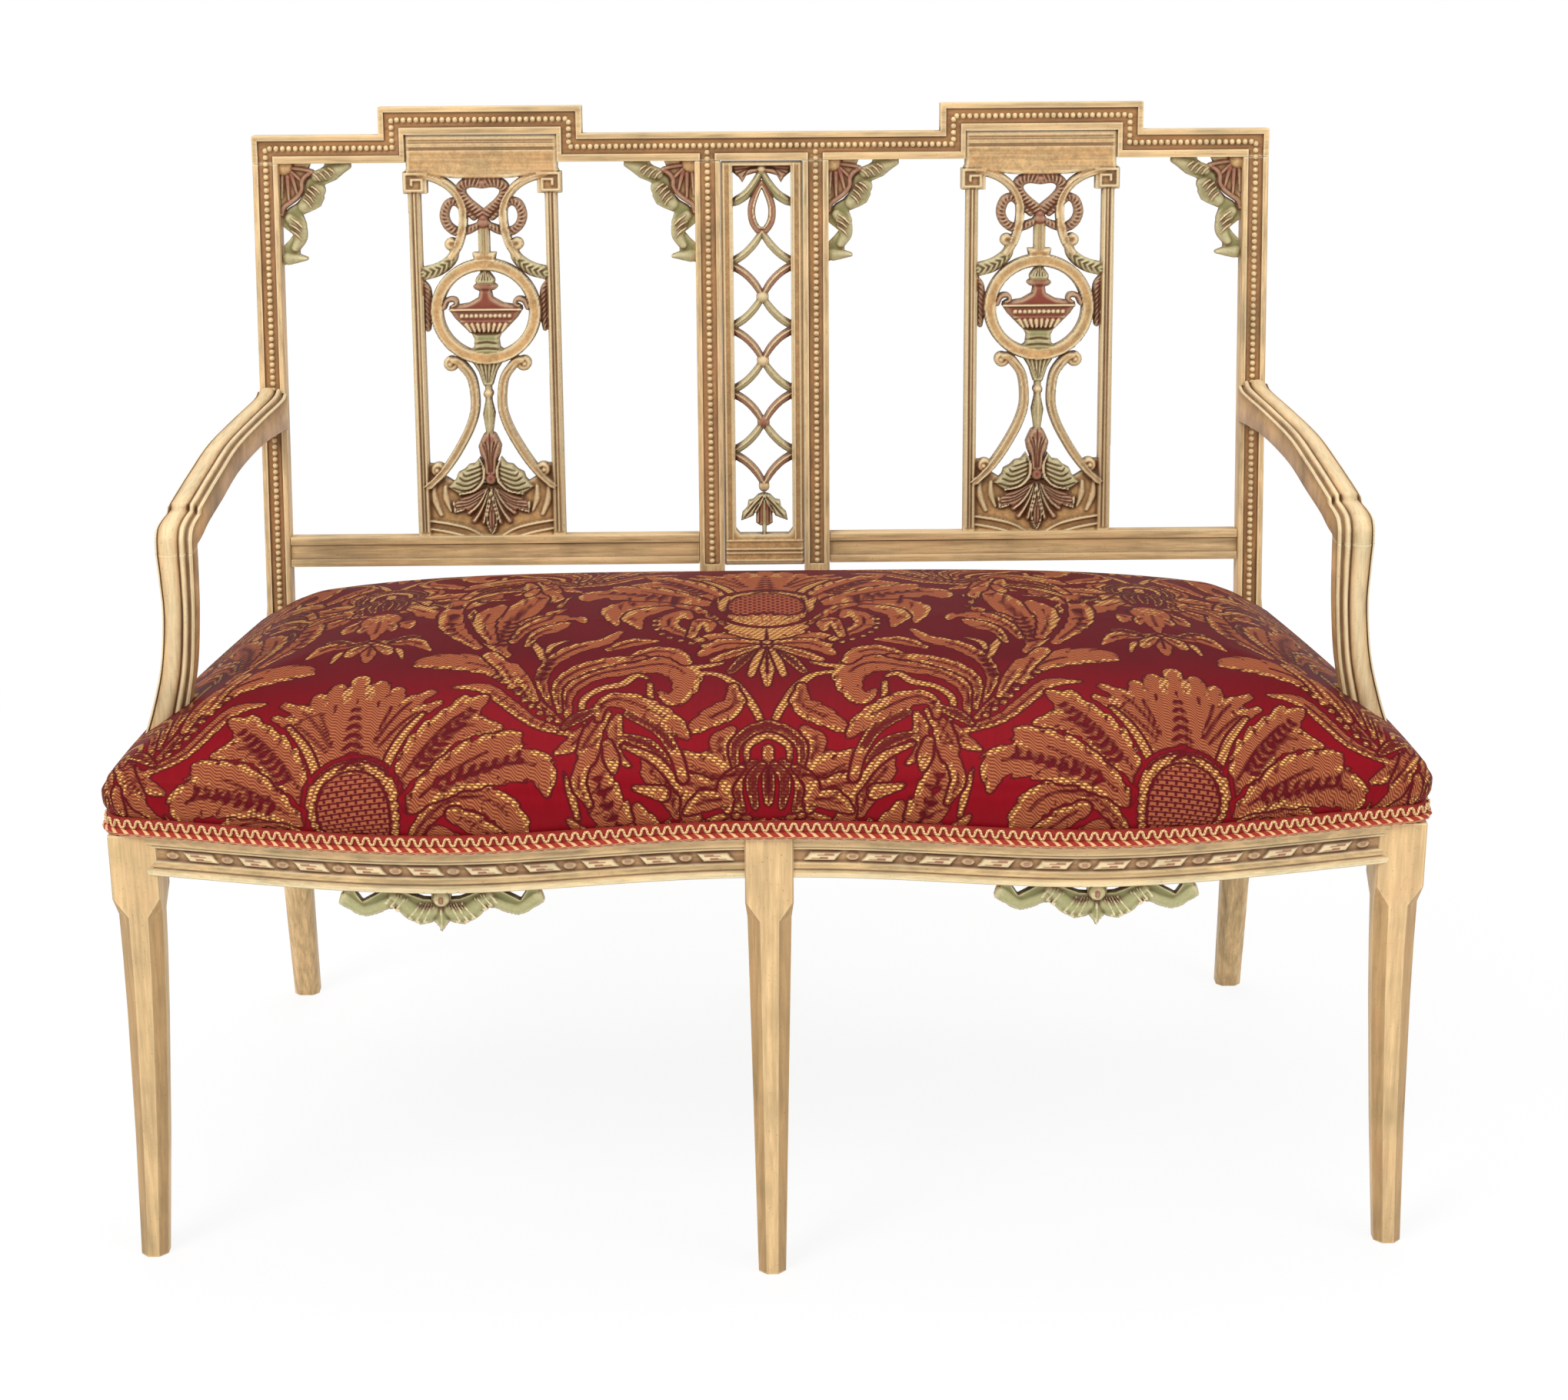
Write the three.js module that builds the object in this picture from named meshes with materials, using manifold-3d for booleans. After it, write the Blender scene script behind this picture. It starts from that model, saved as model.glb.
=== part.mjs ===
// Painted settee with a double chair back: pierced urn splats, a pierced center panel, moulded arms,
// a sprung seat with a serpentine front, and six tapered legs.
// Millimetres, +Z up, the front faces -Y. Left is the viewer's left, -X.
// While it is drawn, y = 0 is the face of the front seat rail at the center line and z = 0 is the floor.
import * as THREE from 'three';
import { mergeVertices } from 'three/addons/utils/BufferGeometryUtils.js';
import Module from 'manifold-3d';

const wasm = await Module();
wasm.setup();

// Clearances
const GAP = 0.3;
const LEG_CLEARANCE = 1;

// Heights, stacked from the floor
const UNDER_RAIL = 368;
const RAIL_HEIGHT = 35.5;
const TACK_HEIGHT = 16.5;
const LOWER_RAIL_LIFT = 86.5;
const LOWER_RAIL_HEIGHT = 30;
const OPENING_HEIGHT = 368;
const CREST_HEIGHT = 27;
const STEP_RISE = 26.5;

// Seat plan
const SEAT_DEPTH = 535.6;
const CORNER_X = 557;
const CORNER_BACK = 26;
const CORNER_RADIUS = 20;
const REAR_X = 502;
const SIDE_CURVE = 1.45;
const BOW_X = 267;
const BOW_OUT = 28.5;
const BOW_LEAN = 1.15;
const CORNER_SLOPE = 0.2;

// Seat rails
const RAIL_THICKNESS = 32;
const TACK_SETBACK = 5.5;
const RAIL_FILLET = 8;
const RAIL_RECESS = 2;
const REAR_RAIL_DEPTH = 44;
const REAR_RAIL_LEDGE = 19;
const BRACE_WIDTH = 28;
const BLOCK_LEG = 70;
const BLOCK_DROP = 4;
const BLOCK_HEIGHT = 26;

// Legs
const LEG_BLOCK = 41;
const LEG_PROUD = 2.5;
const BLOCK_BELOW_RAIL = 22;
const KNEE_DROP = 40;
const KNEE_SIZE = 37.5;
const FOOT_SIZE = 24;
const CHAMFER_SHARE = 0.29;
const LEG_FLARE_SIDE = 13;
const LEG_FLARE_FRONT = 21;
const LEG_FLARE_CURVE = 1.5;
const REAR_LEG_SIZE = 31;
const REAR_FOOT_SIZE = 26;
const REAR_KICK = 57;

// Raked back
const RAKE = THREE.MathUtils.degToRad(5.45);
const MEMBER_WIDTH = 25;
const MEMBER_DEPTH = 25;
const POST_INSET = 5;
const POST_LEAN_IN = 13;
const STILE_X = 53;
const STEP_SHIFT = 5.5;
const STEP_HALF = 99;
const STEP_WALL = 24.5;
const OUTER_FILLET = 5.5;
const CHANNEL_WIDTH = 14.5;
const CHANNEL_DEPTH = 2.5;
const LOWER_RAIL_DEPTH = 20;

// Carved fillings of the back: depth behind the front plane, and their drawn sizes
const SPLAT_HALF = 74;
const SPLAT_FRONT = 4;
const SPLAT_BACK = 19;
const SPLAT_STILE = 12;
const TABLET_DROP = 12;
const RING_HALF_WIDTH = 52.5;
const RING_HALF_HEIGHT = 52.5;
const RING_BAND = 10;
const SCROLL_BAND = 8;
const LATTICE_FRONT = 3;
const LATTICE_BACK = 20;
const LATTICE_OPENING = 57;
const LATTICE_BOTTOM = 31;
const LATTICE_PITCH = 62;
const LATTICE_STRAND = 5.5;
const BRACKET_FRONT = 6;
const BRACKET_BACK = 17;

// Arms
const ARM_RISE = 264;
const ARM_THICKNESS = 27;
const ARM_WIDTH = 30;
const ELBOW_WIDTH = 42;
const ARM_MIDDLE_DROP = 18;
const ELBOW_DROP = 48;
const ARM_IN = 4;
const ELBOW_OUT = 17;
const SUPPORT_Y = 134;
const SUPPORT_DEPTH = 30;
const SUPPORT_WAIST = 28;
const SUPPORT_BASE = 38;

// Seat upholstery
const COVER_THICKNESS = 2;
const COVER_INSET = 2.6;
const COVER_BULGE = 6;
const REAR_BOW = 2;
const CROWN = 128;
const CROWN_SETTLE = 0.62;
const SPRING_TOP = 71;
const SPRING_RADIUS = 36;
const SPRING_WAIST = 25;
const SPRING_WIRE = 1.8;
const SPRING_TURNS = 3.5;
const BURLAP_THICKNESS = 1.2;
const WEB_WIDTH = 50;
const WEB_THICKNESS = 1.5;
const WEB_INSET = 12;
const DUST_THICKNESS = 1;
const DUST_INSET = 20;
const GIMP_THICKNESS = 2.1;

// Apron bows, joints and screws
const BOW_DROP = 38;
const BOW_HALF = 86;
const BOW_SETBACK = 5;
const BOW_DEPTH = 14;
const TENON_THICKNESS = 10;
const TENON_LENGTH = 16;
const TENON_SHOULDER = 6;
const REAR_TENON_LENGTH = 3.5;
const ARM_TENON_WIDTH = 14;
const ARM_TENON_LENGTH = 12;
const FOOT_TENON_WIDTH = 12;
const FOOT_TENON_DEPTH = 18;
const FOOT_TENON_LENGTH = 20;
const SCREW_SINK = 2;
const SCREW_SHANK = 2;
const SCREW_HEAD = 4;
const SCREW_HEAD_HEIGHT = 3;
const BLOCK_SCREW_LENGTH = 40;
const ARM_SCREW_LENGTH = 60;

// Derived heights
const RAIL_TOP = UNDER_RAIL + RAIL_HEIGHT;
const TACK_TOP = RAIL_TOP + TACK_HEIGHT;
const LOWER_RAIL_BOTTOM = RAIL_TOP + LOWER_RAIL_LIFT;
const LOWER_RAIL_TOP = LOWER_RAIL_BOTTOM + LOWER_RAIL_HEIGHT;
const CREST_BOTTOM = LOWER_RAIL_TOP + OPENING_HEIGHT;
const CREST_TOP = CREST_BOTTOM + CREST_HEIGHT;
const ARM_TOP = RAIL_TOP + ARM_RISE;

// Heights above the floor become lengths up the raked back, whose front plane meets the rail top at the seat depth.
const POST_X_FLOOR = REAR_X - POST_INSET;
const POST_X_CREST = POST_X_FLOOR - POST_LEAN_IN;
const BACK_Y = SEAT_DEPTH - RAIL_TOP * Math.tan(RAKE);
const up = (z) => z / Math.cos(RAKE);
const backY = (z) => BACK_Y + z * Math.tan(RAKE);
const postX = (z) => POST_X_FLOOR + ((POST_X_CREST - POST_X_FLOOR) * z) / CREST_TOP;
const STEP_X = (postX(CREST_BOTTOM) + STILE_X) / 2 + STEP_SHIFT;

// Solids: closed meshes joined and cut

const solid = (geometry) => {
  const bare = geometry.index ? geometry.toNonIndexed() : geometry.clone();
  bare.deleteAttribute('normal');
  bare.deleteAttribute('uv');
  const merged = mergeVertices(bare, 1e-3);
  return new wasm.Manifold(
    new wasm.Mesh({
      numProp: 3,
      vertProperties: merged.attributes.position.array,
      triVerts: Uint32Array.from(merged.index.array),
    }),
  );
};

const join = (...solids) => solids.reduce((a, b) => a.add(b));
const cut = (body, ...tools) => tools.reduce((a, b) => a.subtract(b), body);
const moved = (body, matrix) => body.transform(matrix.elements);

const geometryOf = (body) => {
  const mesh = body.getMesh();
  const geometry = new THREE.BufferGeometry();
  geometry.setAttribute('position', new THREE.BufferAttribute(mesh.vertProperties, 3));
  geometry.setIndex(new THREE.BufferAttribute(mesh.triVerts, 1));
  geometry.computeVertexNormals();
  return geometry;
};

// A flat ring of points, split into triangles that turn the same way as the ring.
const capTriangles = (ring) => {
  const normal = new THREE.Vector3();
  ring.forEach((p, i) => normal.add(new THREE.Vector3().crossVectors(p, ring[(i + 1) % ring.length])));
  normal.normalize();
  const across = new THREE.Vector3().subVectors(ring[1], ring[0]).normalize();
  const along = new THREE.Vector3().crossVectors(normal, across);
  const flat = ring.map((p) => new THREE.Vector2(p.dot(across), p.dot(along)));
  return THREE.ShapeUtils.triangulateShape(flat, []);
};

// A closed solid through rings of equally many points, with a flat cap on both ends.
const loft = (rings) => {
  const count = rings[0].length;
  const last = (rings.length - 1) * count;
  const index = [];
  for (let i = 0; i < last; i += count) {
    for (let j = 0; j < count; j++) {
      const k = (j + 1) % count;
      index.push(i + j, i + k, i + count + k);
      index.push(i + j, i + count + k, i + count + j);
    }
  }
  capTriangles(rings[0]).forEach(([a, b, c]) => index.push(c, b, a));
  capTriangles(rings.at(-1)).forEach(([a, b, c]) => index.push(last + a, last + b, last + c));
  const points = rings.flat();
  let volume = 0;
  for (let i = 0; i < index.length; i += 3) {
    const [a, b, c] = [points[index[i]], points[index[i + 1]], points[index[i + 2]]];
    volume += a.dot(new THREE.Vector3().crossVectors(b, c));
  }
  const geometry = new THREE.BufferGeometry().setFromPoints(points);
  geometry.setIndex(volume < 0 ? index.reverse() : index);
  return solid(geometry);
};

// Cutting tools run past the faces that they cut by this much.
const PAST = 5;

const box = (x0, x1, y0, y1, z0, z1) => {
  const geometry = new THREE.BoxGeometry(Math.abs(x1 - x0), Math.abs(y1 - y0), Math.abs(z1 - z0));
  return solid(geometry.translate((x0 + x1) / 2, (y0 + y1) / 2, (z0 + z1) / 2));
};

// A box by its middle and its size, grown on every side.
const boxAt = (x, y, z, w, d, h, grow = 0) =>
  box(x - w / 2 - grow, x + w / 2 + grow, y - d / 2 - grow, y + d / 2 + grow, z - h / 2 - grow, z + h / 2 + grow);

// A shape drawn in x and height, extruded between two depths.
const slab = (shape, front, back, curveSegments = 8) => {
  const geometry = new THREE.ExtrudeGeometry(shape, {
    depth: back - front,
    bevelEnabled: false,
    curveSegments,
  });
  return solid(geometry.rotateX(Math.PI / 2).translate(0, back, 0));
};

// The same with holes cut right through.
const pierced = (points, holes, front, back) =>
  cut(slab(outline(points), front, back), ...holes.map((hole) => slab(outline(hole), front - PAST, back + PAST)));

// A plan drawn in x and y, extruded between two heights.
const plate = (points, bottom, top) => {
  const shape = new THREE.Shape(points.map(([x, y]) => new THREE.Vector2(x, y)));
  const geometry = new THREE.ExtrudeGeometry(shape, { depth: top - bottom, bevelEnabled: false });
  return solid(geometry.translate(0, 0, bottom));
};

const outline = (points) => new THREE.Shape(points.map(([x, z]) => new THREE.Vector2(x, z)));
const mirrored = (points) => points.concat(points.filter(([x]) => x !== 0).reverse().map(([x, z]) => [-x, z]));
const flipped = (points, side) => points.map(([x, z]) => [side * x, z]);

const disc = (x, z, rx, rz = rx) => new THREE.Shape().absellipse(x, z, rx, rz, 0, 2 * Math.PI, false, 0);

const hoop = (x, z, rx, rz, band) => {
  const shape = disc(x, z, rx, rz);
  shape.holes.push(disc(x, z, rx - band, rz - band));
  return shape;
};

// A strip of one width, or of a width that runs from one value to another, along a smooth line.
const strip = (points, width, endWidth = width, steps = 2 * (points.length - 1)) => {
  const line = new THREE.SplineCurve(points.map(([x, z]) => new THREE.Vector2(x, z)));
  const sides = [[], []];
  for (let i = 0; i <= steps; i++) {
    const t = i / steps;
    const p = line.getPoint(t);
    const across = line.getTangent(t).rotateAround(new THREE.Vector2(), Math.PI / 2);
    const half = THREE.MathUtils.lerp(width, endWidth, t) / 2;
    sides[0].push(p.clone().addScaledVector(across, half));
    sides[1].unshift(p.clone().addScaledVector(across, -half));
  }
  return new THREE.Shape(sides.flat());
};

// Scene: a root group, and a group for the flat back that is leaned back as one

const settee = new THREE.Group();
const back = new THREE.Group();
back.position.y = BACK_Y;
back.rotation.x = -RAKE;
back.updateMatrix();
settee.add(back);

const PAINT = [0xcdb88c, 0.5, 0];
const FABRIC = [0x7a2026, 0.8, 0];
const LINEN = [0xa8926a, 0.95, 0];
const STEEL = [0x9a9a98, 0.4, 0.9];
const RAW_WOOD = [0xb08a5a, 0.75, 0];
const BRAID = [0xb8733f, 0.85, 0];

const addPiece = (name, body, [color, roughness, metalness], parent = settee) => {
  const material = new THREE.MeshStandardMaterial({ color, roughness, metalness });
  const mesh = new THREE.Mesh(geometryOf(body), material);
  mesh.name = name;
  parent.add(mesh);
};

const SIDES = [
  ['left', -1],
  ['right', 1],
];

// Seat plan curves: the face of the front rail by x, and of the side rail by y

const faceY = (x) => {
  const a = Math.abs(x);
  if (a < BOW_X) return -BOW_OUT * THREE.MathUtils.smoothstep((a / BOW_X) ** BOW_LEAN, 0, 1);
  const run = CORNER_X - BOW_X;
  const t = (a - BOW_X) / run;
  return (BOW_OUT + CORNER_BACK) * t * t * (3 - 2 * t) - BOW_OUT + (t ** 3 - t ** 2) * CORNER_SLOPE * run;
};

const sideX = (y) => {
  const t = THREE.MathUtils.clamp((y - CORNER_BACK) / (SEAT_DEPTH - CORNER_BACK), 0, 1);
  return CORNER_X - (CORNER_X - REAR_X) * t ** SIDE_CURVE;
};

const range = (from, to, steps) => Array.from({ length: steps + 1 }, (_, i) => from + ((to - from) * i) / steps);

// The front seat rail runs between the center leg and a corner leg.
const CORNER_LEG_X = CORNER_X - LEG_BLOCK / 2;
const CORNER_LEG_Y = faceY(CORNER_LEG_X) - LEG_PROUD + LEG_BLOCK / 2;
const RAIL_START = LEG_BLOCK / 2 + GAP;
const RAIL_END = CORNER_LEG_X - LEG_BLOCK / 2 - GAP;
const SIDE_START = CORNER_LEG_Y + LEG_BLOCK / 2 + GAP;
const SIDE_END = backY(UNDER_RAIL) - GAP;
const REAR_RAIL_FRONT = SEAT_DEPTH - REAR_RAIL_LEDGE;
const REAR_RIM = SEAT_DEPTH - COVER_INSET;

// Upper corners of the seat rail's section: inward distance and height, clockwise from the bottom of the face.
const railSection = [
  [0, UNDER_RAIL],
  [0, UNDER_RAIL + RAIL_FILLET],
  [RAIL_RECESS, UNDER_RAIL + RAIL_FILLET + RAIL_RECESS],
  [RAIL_RECESS, RAIL_TOP - RAIL_FILLET - RAIL_RECESS],
  [0, RAIL_TOP - RAIL_FILLET],
  [0, RAIL_TOP],
  [TACK_SETBACK, RAIL_TOP],
  [TACK_SETBACK, TACK_TOP],
  [RAIL_THICKNESS, TACK_TOP],
  [RAIL_THICKNESS, UNDER_RAIL],
];

const frontStations = range(RAIL_START, RAIL_END, 10);

const frontRail = (side) =>
  loft(frontStations.map((x) => railSection.map(([a, z]) => new THREE.Vector3(side * x, faceY(x) + a, z))));

const sideRail = (side) =>
  loft(
    range(SIDE_START, SIDE_END, 7).map((y) =>
      railSection.map(([a, z]) => new THREE.Vector3(side * (sideX(y) - a), y, z)),
    ),
  );

// Legs: rings with chamfered corners, seen from above

const chamfered = (x, y, z, w, d, chamfer) => {
  const [a, b] = [w / 2, d / 2];
  const corners = [
    [a, b - chamfer],
    [a - chamfer, b],
    [chamfer - a, b],
    [-a, b - chamfer],
    [-a, chamfer - b],
    [chamfer - a, -b],
    [a - chamfer, -b],
    [a, chamfer - b],
  ];
  return corners.map(([u, v]) => new THREE.Vector3(x + u, y + v, z));
};

const BLOCK_CHAMFER = 1.2;
const BLOCK_BOTTOM = UNDER_RAIL - BLOCK_BELOW_RAIL;
const KNEE = UNDER_RAIL - KNEE_DROP;

const frontLeg = (x, y, flareX, flareY) => {
  const rings = [0, 0.18, 0.36, 0.54, 0.72, 0.88, 1].map((t) => {
    const away = (1 - t) ** LEG_FLARE_CURVE;
    const size = THREE.MathUtils.lerp(FOOT_SIZE, KNEE_SIZE, t);
    return chamfered(x + flareX * away, y + flareY * away, KNEE * t, size, size, size * CHAMFER_SHARE);
  });
  rings.push(chamfered(x, y, BLOCK_BOTTOM, LEG_BLOCK, LEG_BLOCK, BLOCK_CHAMFER));
  rings.push(chamfered(x, y, RAIL_TOP, LEG_BLOCK, LEG_BLOCK, BLOCK_CHAMFER));
  return loft(rings);
};

// Above the rail's moulded face each front leg is set back like the rails, so that cover and braid pass over it.
const centerLegTop = box(
  -LEG_BLOCK / 2,
  LEG_BLOCK / 2,
  TACK_SETBACK,
  LEG_BLOCK - LEG_PROUD,
  RAIL_TOP - TENON_SHOULDER,
  TACK_TOP,
);

const cornerLegTop = (side) => {
  const inner = CORNER_LEG_X - LEG_BLOCK / 2;
  const rear = CORNER_LEG_Y + LEG_BLOCK / 2;
  const outer = sideX(rear) - TACK_SETBACK;
  const front = faceY(CORNER_LEG_X) + TACK_SETBACK;
  const radius = CORNER_RADIUS - TACK_SETBACK;
  const arc = range(-Math.PI / 2, 0, 4).map((a) => [
    outer - radius + radius * Math.cos(a),
    front + radius + radius * Math.sin(a),
  ]);
  const points = [[inner, rear], [inner, front], ...arc, [outer, rear]];
  return plate(flipped(points, side), RAIL_TOP - TENON_SHOULDER, TACK_TOP);
};

// Rear legs run up into the back: level rings below the seat, rings square to the rake above it.
const raked = (ring, z) =>
  ring.map((p) => new THREE.Vector3(p.x, p.y, up(z)).applyMatrix4(back.matrix));

const REAR_CHAMFER = 6;

const rearLegRings = (x, top, bend) =>
  [0, 0.2, 0.4, 0.6, 0.8, 1].map((t) => {
    const z = top * t;
    const size = THREE.MathUtils.lerp(REAR_FOOT_SIZE, REAR_LEG_SIZE, Math.min(1, 1.4 * t));
    const kick = REAR_KICK * (1 - t) ** LEG_FLARE_CURVE;
    return chamfered(x(z), backY(top) + kick + size / 2, z, size, size, bend(t));
  });

const backPost = (side) => {
  const rings = rearLegRings(
    (z) => side * postX(z),
    UNDER_RAIL,
    (t) => (t < 0.9 ? REAR_CHAMFER : BLOCK_CHAMFER),
  );
  const x = (z) => side * postX(z);
  rings.push(
    raked(chamfered(x(TACK_TOP), REAR_LEG_SIZE / 2, 0, REAR_LEG_SIZE, REAR_LEG_SIZE, BLOCK_CHAMFER), TACK_TOP),
  );
  const member = (z) => raked(chamfered(x(z), MEMBER_DEPTH / 2, 0, MEMBER_WIDTH, MEMBER_DEPTH, BLOCK_CHAMFER), z);
  rings.push(member(TACK_TOP + REAR_LEG_SIZE));
  rings.push(member(CREST_BOTTOM - GAP));
  return loft(rings);
};

const rearLegCenter = loft(
  rearLegRings(
    () => 0,
    UNDER_RAIL - GAP,
    (t) => (t < 0.9 ? REAR_CHAMFER : BLOCK_CHAMFER),
  ),
);

// Bead channel: a shallow groove between an outer and an inner fillet

const channelFrom = OUTER_FILLET;
const channelTo = OUTER_FILLET + CHANNEL_WIDTH;

const postChannel = (side) => {
  const edge = (z, a) => side * (postX(z) + MEMBER_WIDTH / 2 - a);
  const top = CREST_BOTTOM + PAST;
  const points = [
    [edge(LOWER_RAIL_BOTTOM, channelFrom), up(LOWER_RAIL_BOTTOM)],
    [edge(top, channelFrom), up(top)],
    [edge(top, channelTo), up(top)],
    [edge(LOWER_RAIL_BOTTOM, channelTo), up(LOWER_RAIL_BOTTOM)],
  ];
  return moved(slab(outline(points), -PAST, CHANNEL_DEPTH), back.matrix);
};

// Crest rail with its two raised steps, over the posts and the center stiles

const CREST_HALF = postX(CREST_BOTTOM) + MEMBER_WIDTH / 2;

// The stepped upper line at a distance inside the outer edge, from the center line outwards.
const steppedLine = (inside) => {
  const low = up(CREST_TOP) - inside;
  const high = up(CREST_TOP + STEP_RISE) - inside;
  const inner = STEP_X - STEP_HALF + inside;
  const outer = STEP_X + STEP_HALF - inside;
  return [
    [0, low],
    [inner, low],
    [inner, high],
    [outer, high],
    [outer, low],
  ];
};

const crestOutline = () => {
  const bottom = up(CREST_BOTTOM);
  const opening = STEP_HALF - STEP_WALL;
  const ceiling = up(CREST_TOP + STEP_RISE) - CREST_HEIGHT;
  const under = [
    [STEP_X + opening, bottom],
    [STEP_X + opening, ceiling],
    [STEP_X - opening, ceiling],
    [STEP_X - opening, bottom],
  ];
  const half = [...steppedLine(0), [CREST_HALF, up(CREST_TOP)], [CREST_HALF, bottom], ...under];
  return mirrored(half);
};

const crestChannel = () => {
  const upper = [...steppedLine(channelFrom), [CREST_HALF - channelFrom, up(CREST_TOP) - channelFrom]];
  const lower = [...steppedLine(channelTo), [CREST_HALF - channelFrom, up(CREST_TOP) - channelTo]];
  const line = (half) => flipped(half, -1).reverse().concat(half.slice(1));
  return slab(outline([...line(upper), ...line(lower).reverse()]), -PAST, CHANNEL_DEPTH);
};

// Carved splat, drawn on its own center line: x from the middle, height above the lower rail

const SPLAT_DRAWN = 368;
const splatScale = OPENING_HEIGHT / SPLAT_DRAWN;
const RING_Z = 224;

const splat = (centerX) => {
  const at = (h) => up(LOWER_RAIL_TOP + h * splatScale);
  const place = (points) => points.map(([x, h]) => [centerX + x, at(h)]);
  const both = (points, depths, width, endWidth) =>
    [-1, 1].map((side) => slab(strip(place(flipped(points, side)), width, endWidth), ...depths));
  const filled = (points, depths) => slab(outline(place(points)), ...depths);
  const round = (x, h, r, depths, rz = r) => slab(disc(centerX + x, at(h), r, rz * splatScale), ...depths, 5);

  const plain = [SPLAT_FRONT, SPLAT_BACK];
  const leaf = [SPLAT_FRONT + 1.6, SPLAT_BACK - 2];

  const tabletHalf = STEP_HALF - STEP_WALL - GAP;
  const tabletTop = up(CREST_TOP + STEP_RISE) - CREST_HEIGHT - GAP;
  const tabletBottom = up(CREST_BOTTOM - TABLET_DROP);
  const tablet = slab(
    outline([
      [centerX - tabletHalf, tabletTop],
      [centerX - tabletHalf, tabletBottom + 8],
      [centerX, tabletBottom],
      [centerX + tabletHalf, tabletBottom + 8],
      [centerX + tabletHalf, tabletTop],
    ]),
    SPLAT_FRONT - 1,
    SPLAT_BACK + 2,
  );

  const stiles = [-1, 1].map((side) =>
    filled(
      flipped(
        [
          [SPLAT_HALF, GAP],
          [SPLAT_HALF - 1, 352],
          [SPLAT_HALF - 1 - SPLAT_STILE, 352],
          [SPLAT_HALF - SPLAT_STILE, GAP],
        ],
        side,
      ),
      plain,
    ),
  );
  const keys = [-1, 1].map((side) =>
    filled(
      flipped(
        [
          [SPLAT_HALF + 1, 340],
          [SPLAT_HALF + 1, 362],
          [53, 362],
          [53, 340],
        ],
        side,
      ),
      plain,
    ),
  );
  const scrolls = both(
    [
      [60, 360],
      [44, 356],
      [32, 346],
      [24, 334],
      [20, 320],
      [20, 304],
      [25, 288],
      [35, 271],
    ],
    plain,
    SCROLL_BAND + 1,
    SCROLL_BAND - 1,
  );

  const bowLoop = both(
    [
      [0, 353],
      [14, 352],
      [22, 344],
      [19, 333],
      [9, 322],
      [0, 312],
    ],
    leaf,
    6.5,
  );
  const sideLoops = both(
    [
      [3, 311],
      [18, 307],
      [32, 305],
      [42, 314],
      [41, 328],
      [33, 334],
      [26, 326],
    ],
    leaf,
    7,
    8,
  );
  const stem = filled(
    mirrored([
      [0, 310],
      [4.5, 308],
      [4.5, 286],
      [13, 278],
      [13, 272],
      [0, 272],
    ]),
    plain,
  );
  const curls = [-1, 1].map((side) => round(side * 30, 291, 6.5, leaf));
  const sprays = both(
    [
      [30, 287],
      [36, 274],
      [48, 265],
      [64, 262],
    ],
    leaf,
    9,
    13,
  );

  const ring = slab(
    hoop(centerX, at(RING_Z), RING_HALF_WIDTH, RING_HALF_HEIGHT * splatScale, RING_BAND),
    SPLAT_FRONT - 0.7,
    SPLAT_BACK + 1,
    9,
  );
  const urn = filled(
    mirrored([
      [0, 271],
      [5, 266],
      [8.5, 255],
      [12, 252],
      [11, 247],
      [5, 243],
      [9, 236],
      [24, 231.5],
      [44, 231],
      [42, 226],
      [33, 217],
      [18, 206],
      [15, 201],
      [11, 197],
      [12, 191],
      [22, 187],
      [28, 181],
      [0, 177],
    ]),
    leaf,
  );
  const handles = [-1, 1].map((side) => round(side * 33, 235, 6.5, plain));

  const volutes = [-1, 1].map((side) => round(side * 35, 176, 6.5, plain));
  const lowerScrolls = both(
    [
      [31, 172],
      [20, 166],
      [13.5, 148],
      [14.5, 128],
      [21, 107],
      [31, 87],
      [45, 66],
      [60, 54],
    ],
    plain,
    SCROLL_BAND + 1,
  );
  const husk = filled(
    mirrored([
      [0, 175],
      [14, 174],
      [6, 160],
      [4, 151],
      [5.5, 146],
      [3, 141],
      [6.5, 130],
      [5, 108],
      [12, 96],
      [14, 84],
      [10, 72],
      [0, 70],
    ]),
    leaf,
  );
  const wings = [-1, 1].map((side) =>
    filled(
      flipped(
        [
          [6, 84],
          [14, 82],
          [26, 80],
          [38, 68],
          [46, 54],
          [30, 46],
          [6, 48],
        ],
        side,
      ),
      plain,
    ),
  );
  const base = filled(
    [
      [SPLAT_HALF - 2, GAP],
      [SPLAT_HALF - 2, 74],
      [50, 74],
      [44, 60],
      [20, 50],
      [-20, 50],
      [-44, 60],
      [-50, 74],
      [2 - SPLAT_HALF, 74],
      [2 - SPLAT_HALF, GAP],
    ],
    [SPLAT_FRONT + 3, SPLAT_BACK - 1.5],
  );
  const palmette = filled(
    mirrored([
      [0, 66],
      [9, 60],
      [18, 52],
      [33, 44],
      [37, 32],
      [28, 27],
      [20, 28],
      [16, 16],
      [8, 18],
      [0, 4],
    ]),
    leaf,
  );
  return join(
    tablet,
    ...stiles,
    ...keys,
    ...scrolls,
    ...bowLoop,
    ...sideLoops,
    stem,
    ...curls,
    ...sprays,
    ring,
    urn,
    ...handles,
    ...volutes,
    ...lowerScrolls,
    husk,
    ...wings,
    base,
    palmette,
  );
};

// Pierced center panel: a long opening with a swag, a drop and a chain of diamonds, height above the lower rail

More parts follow.
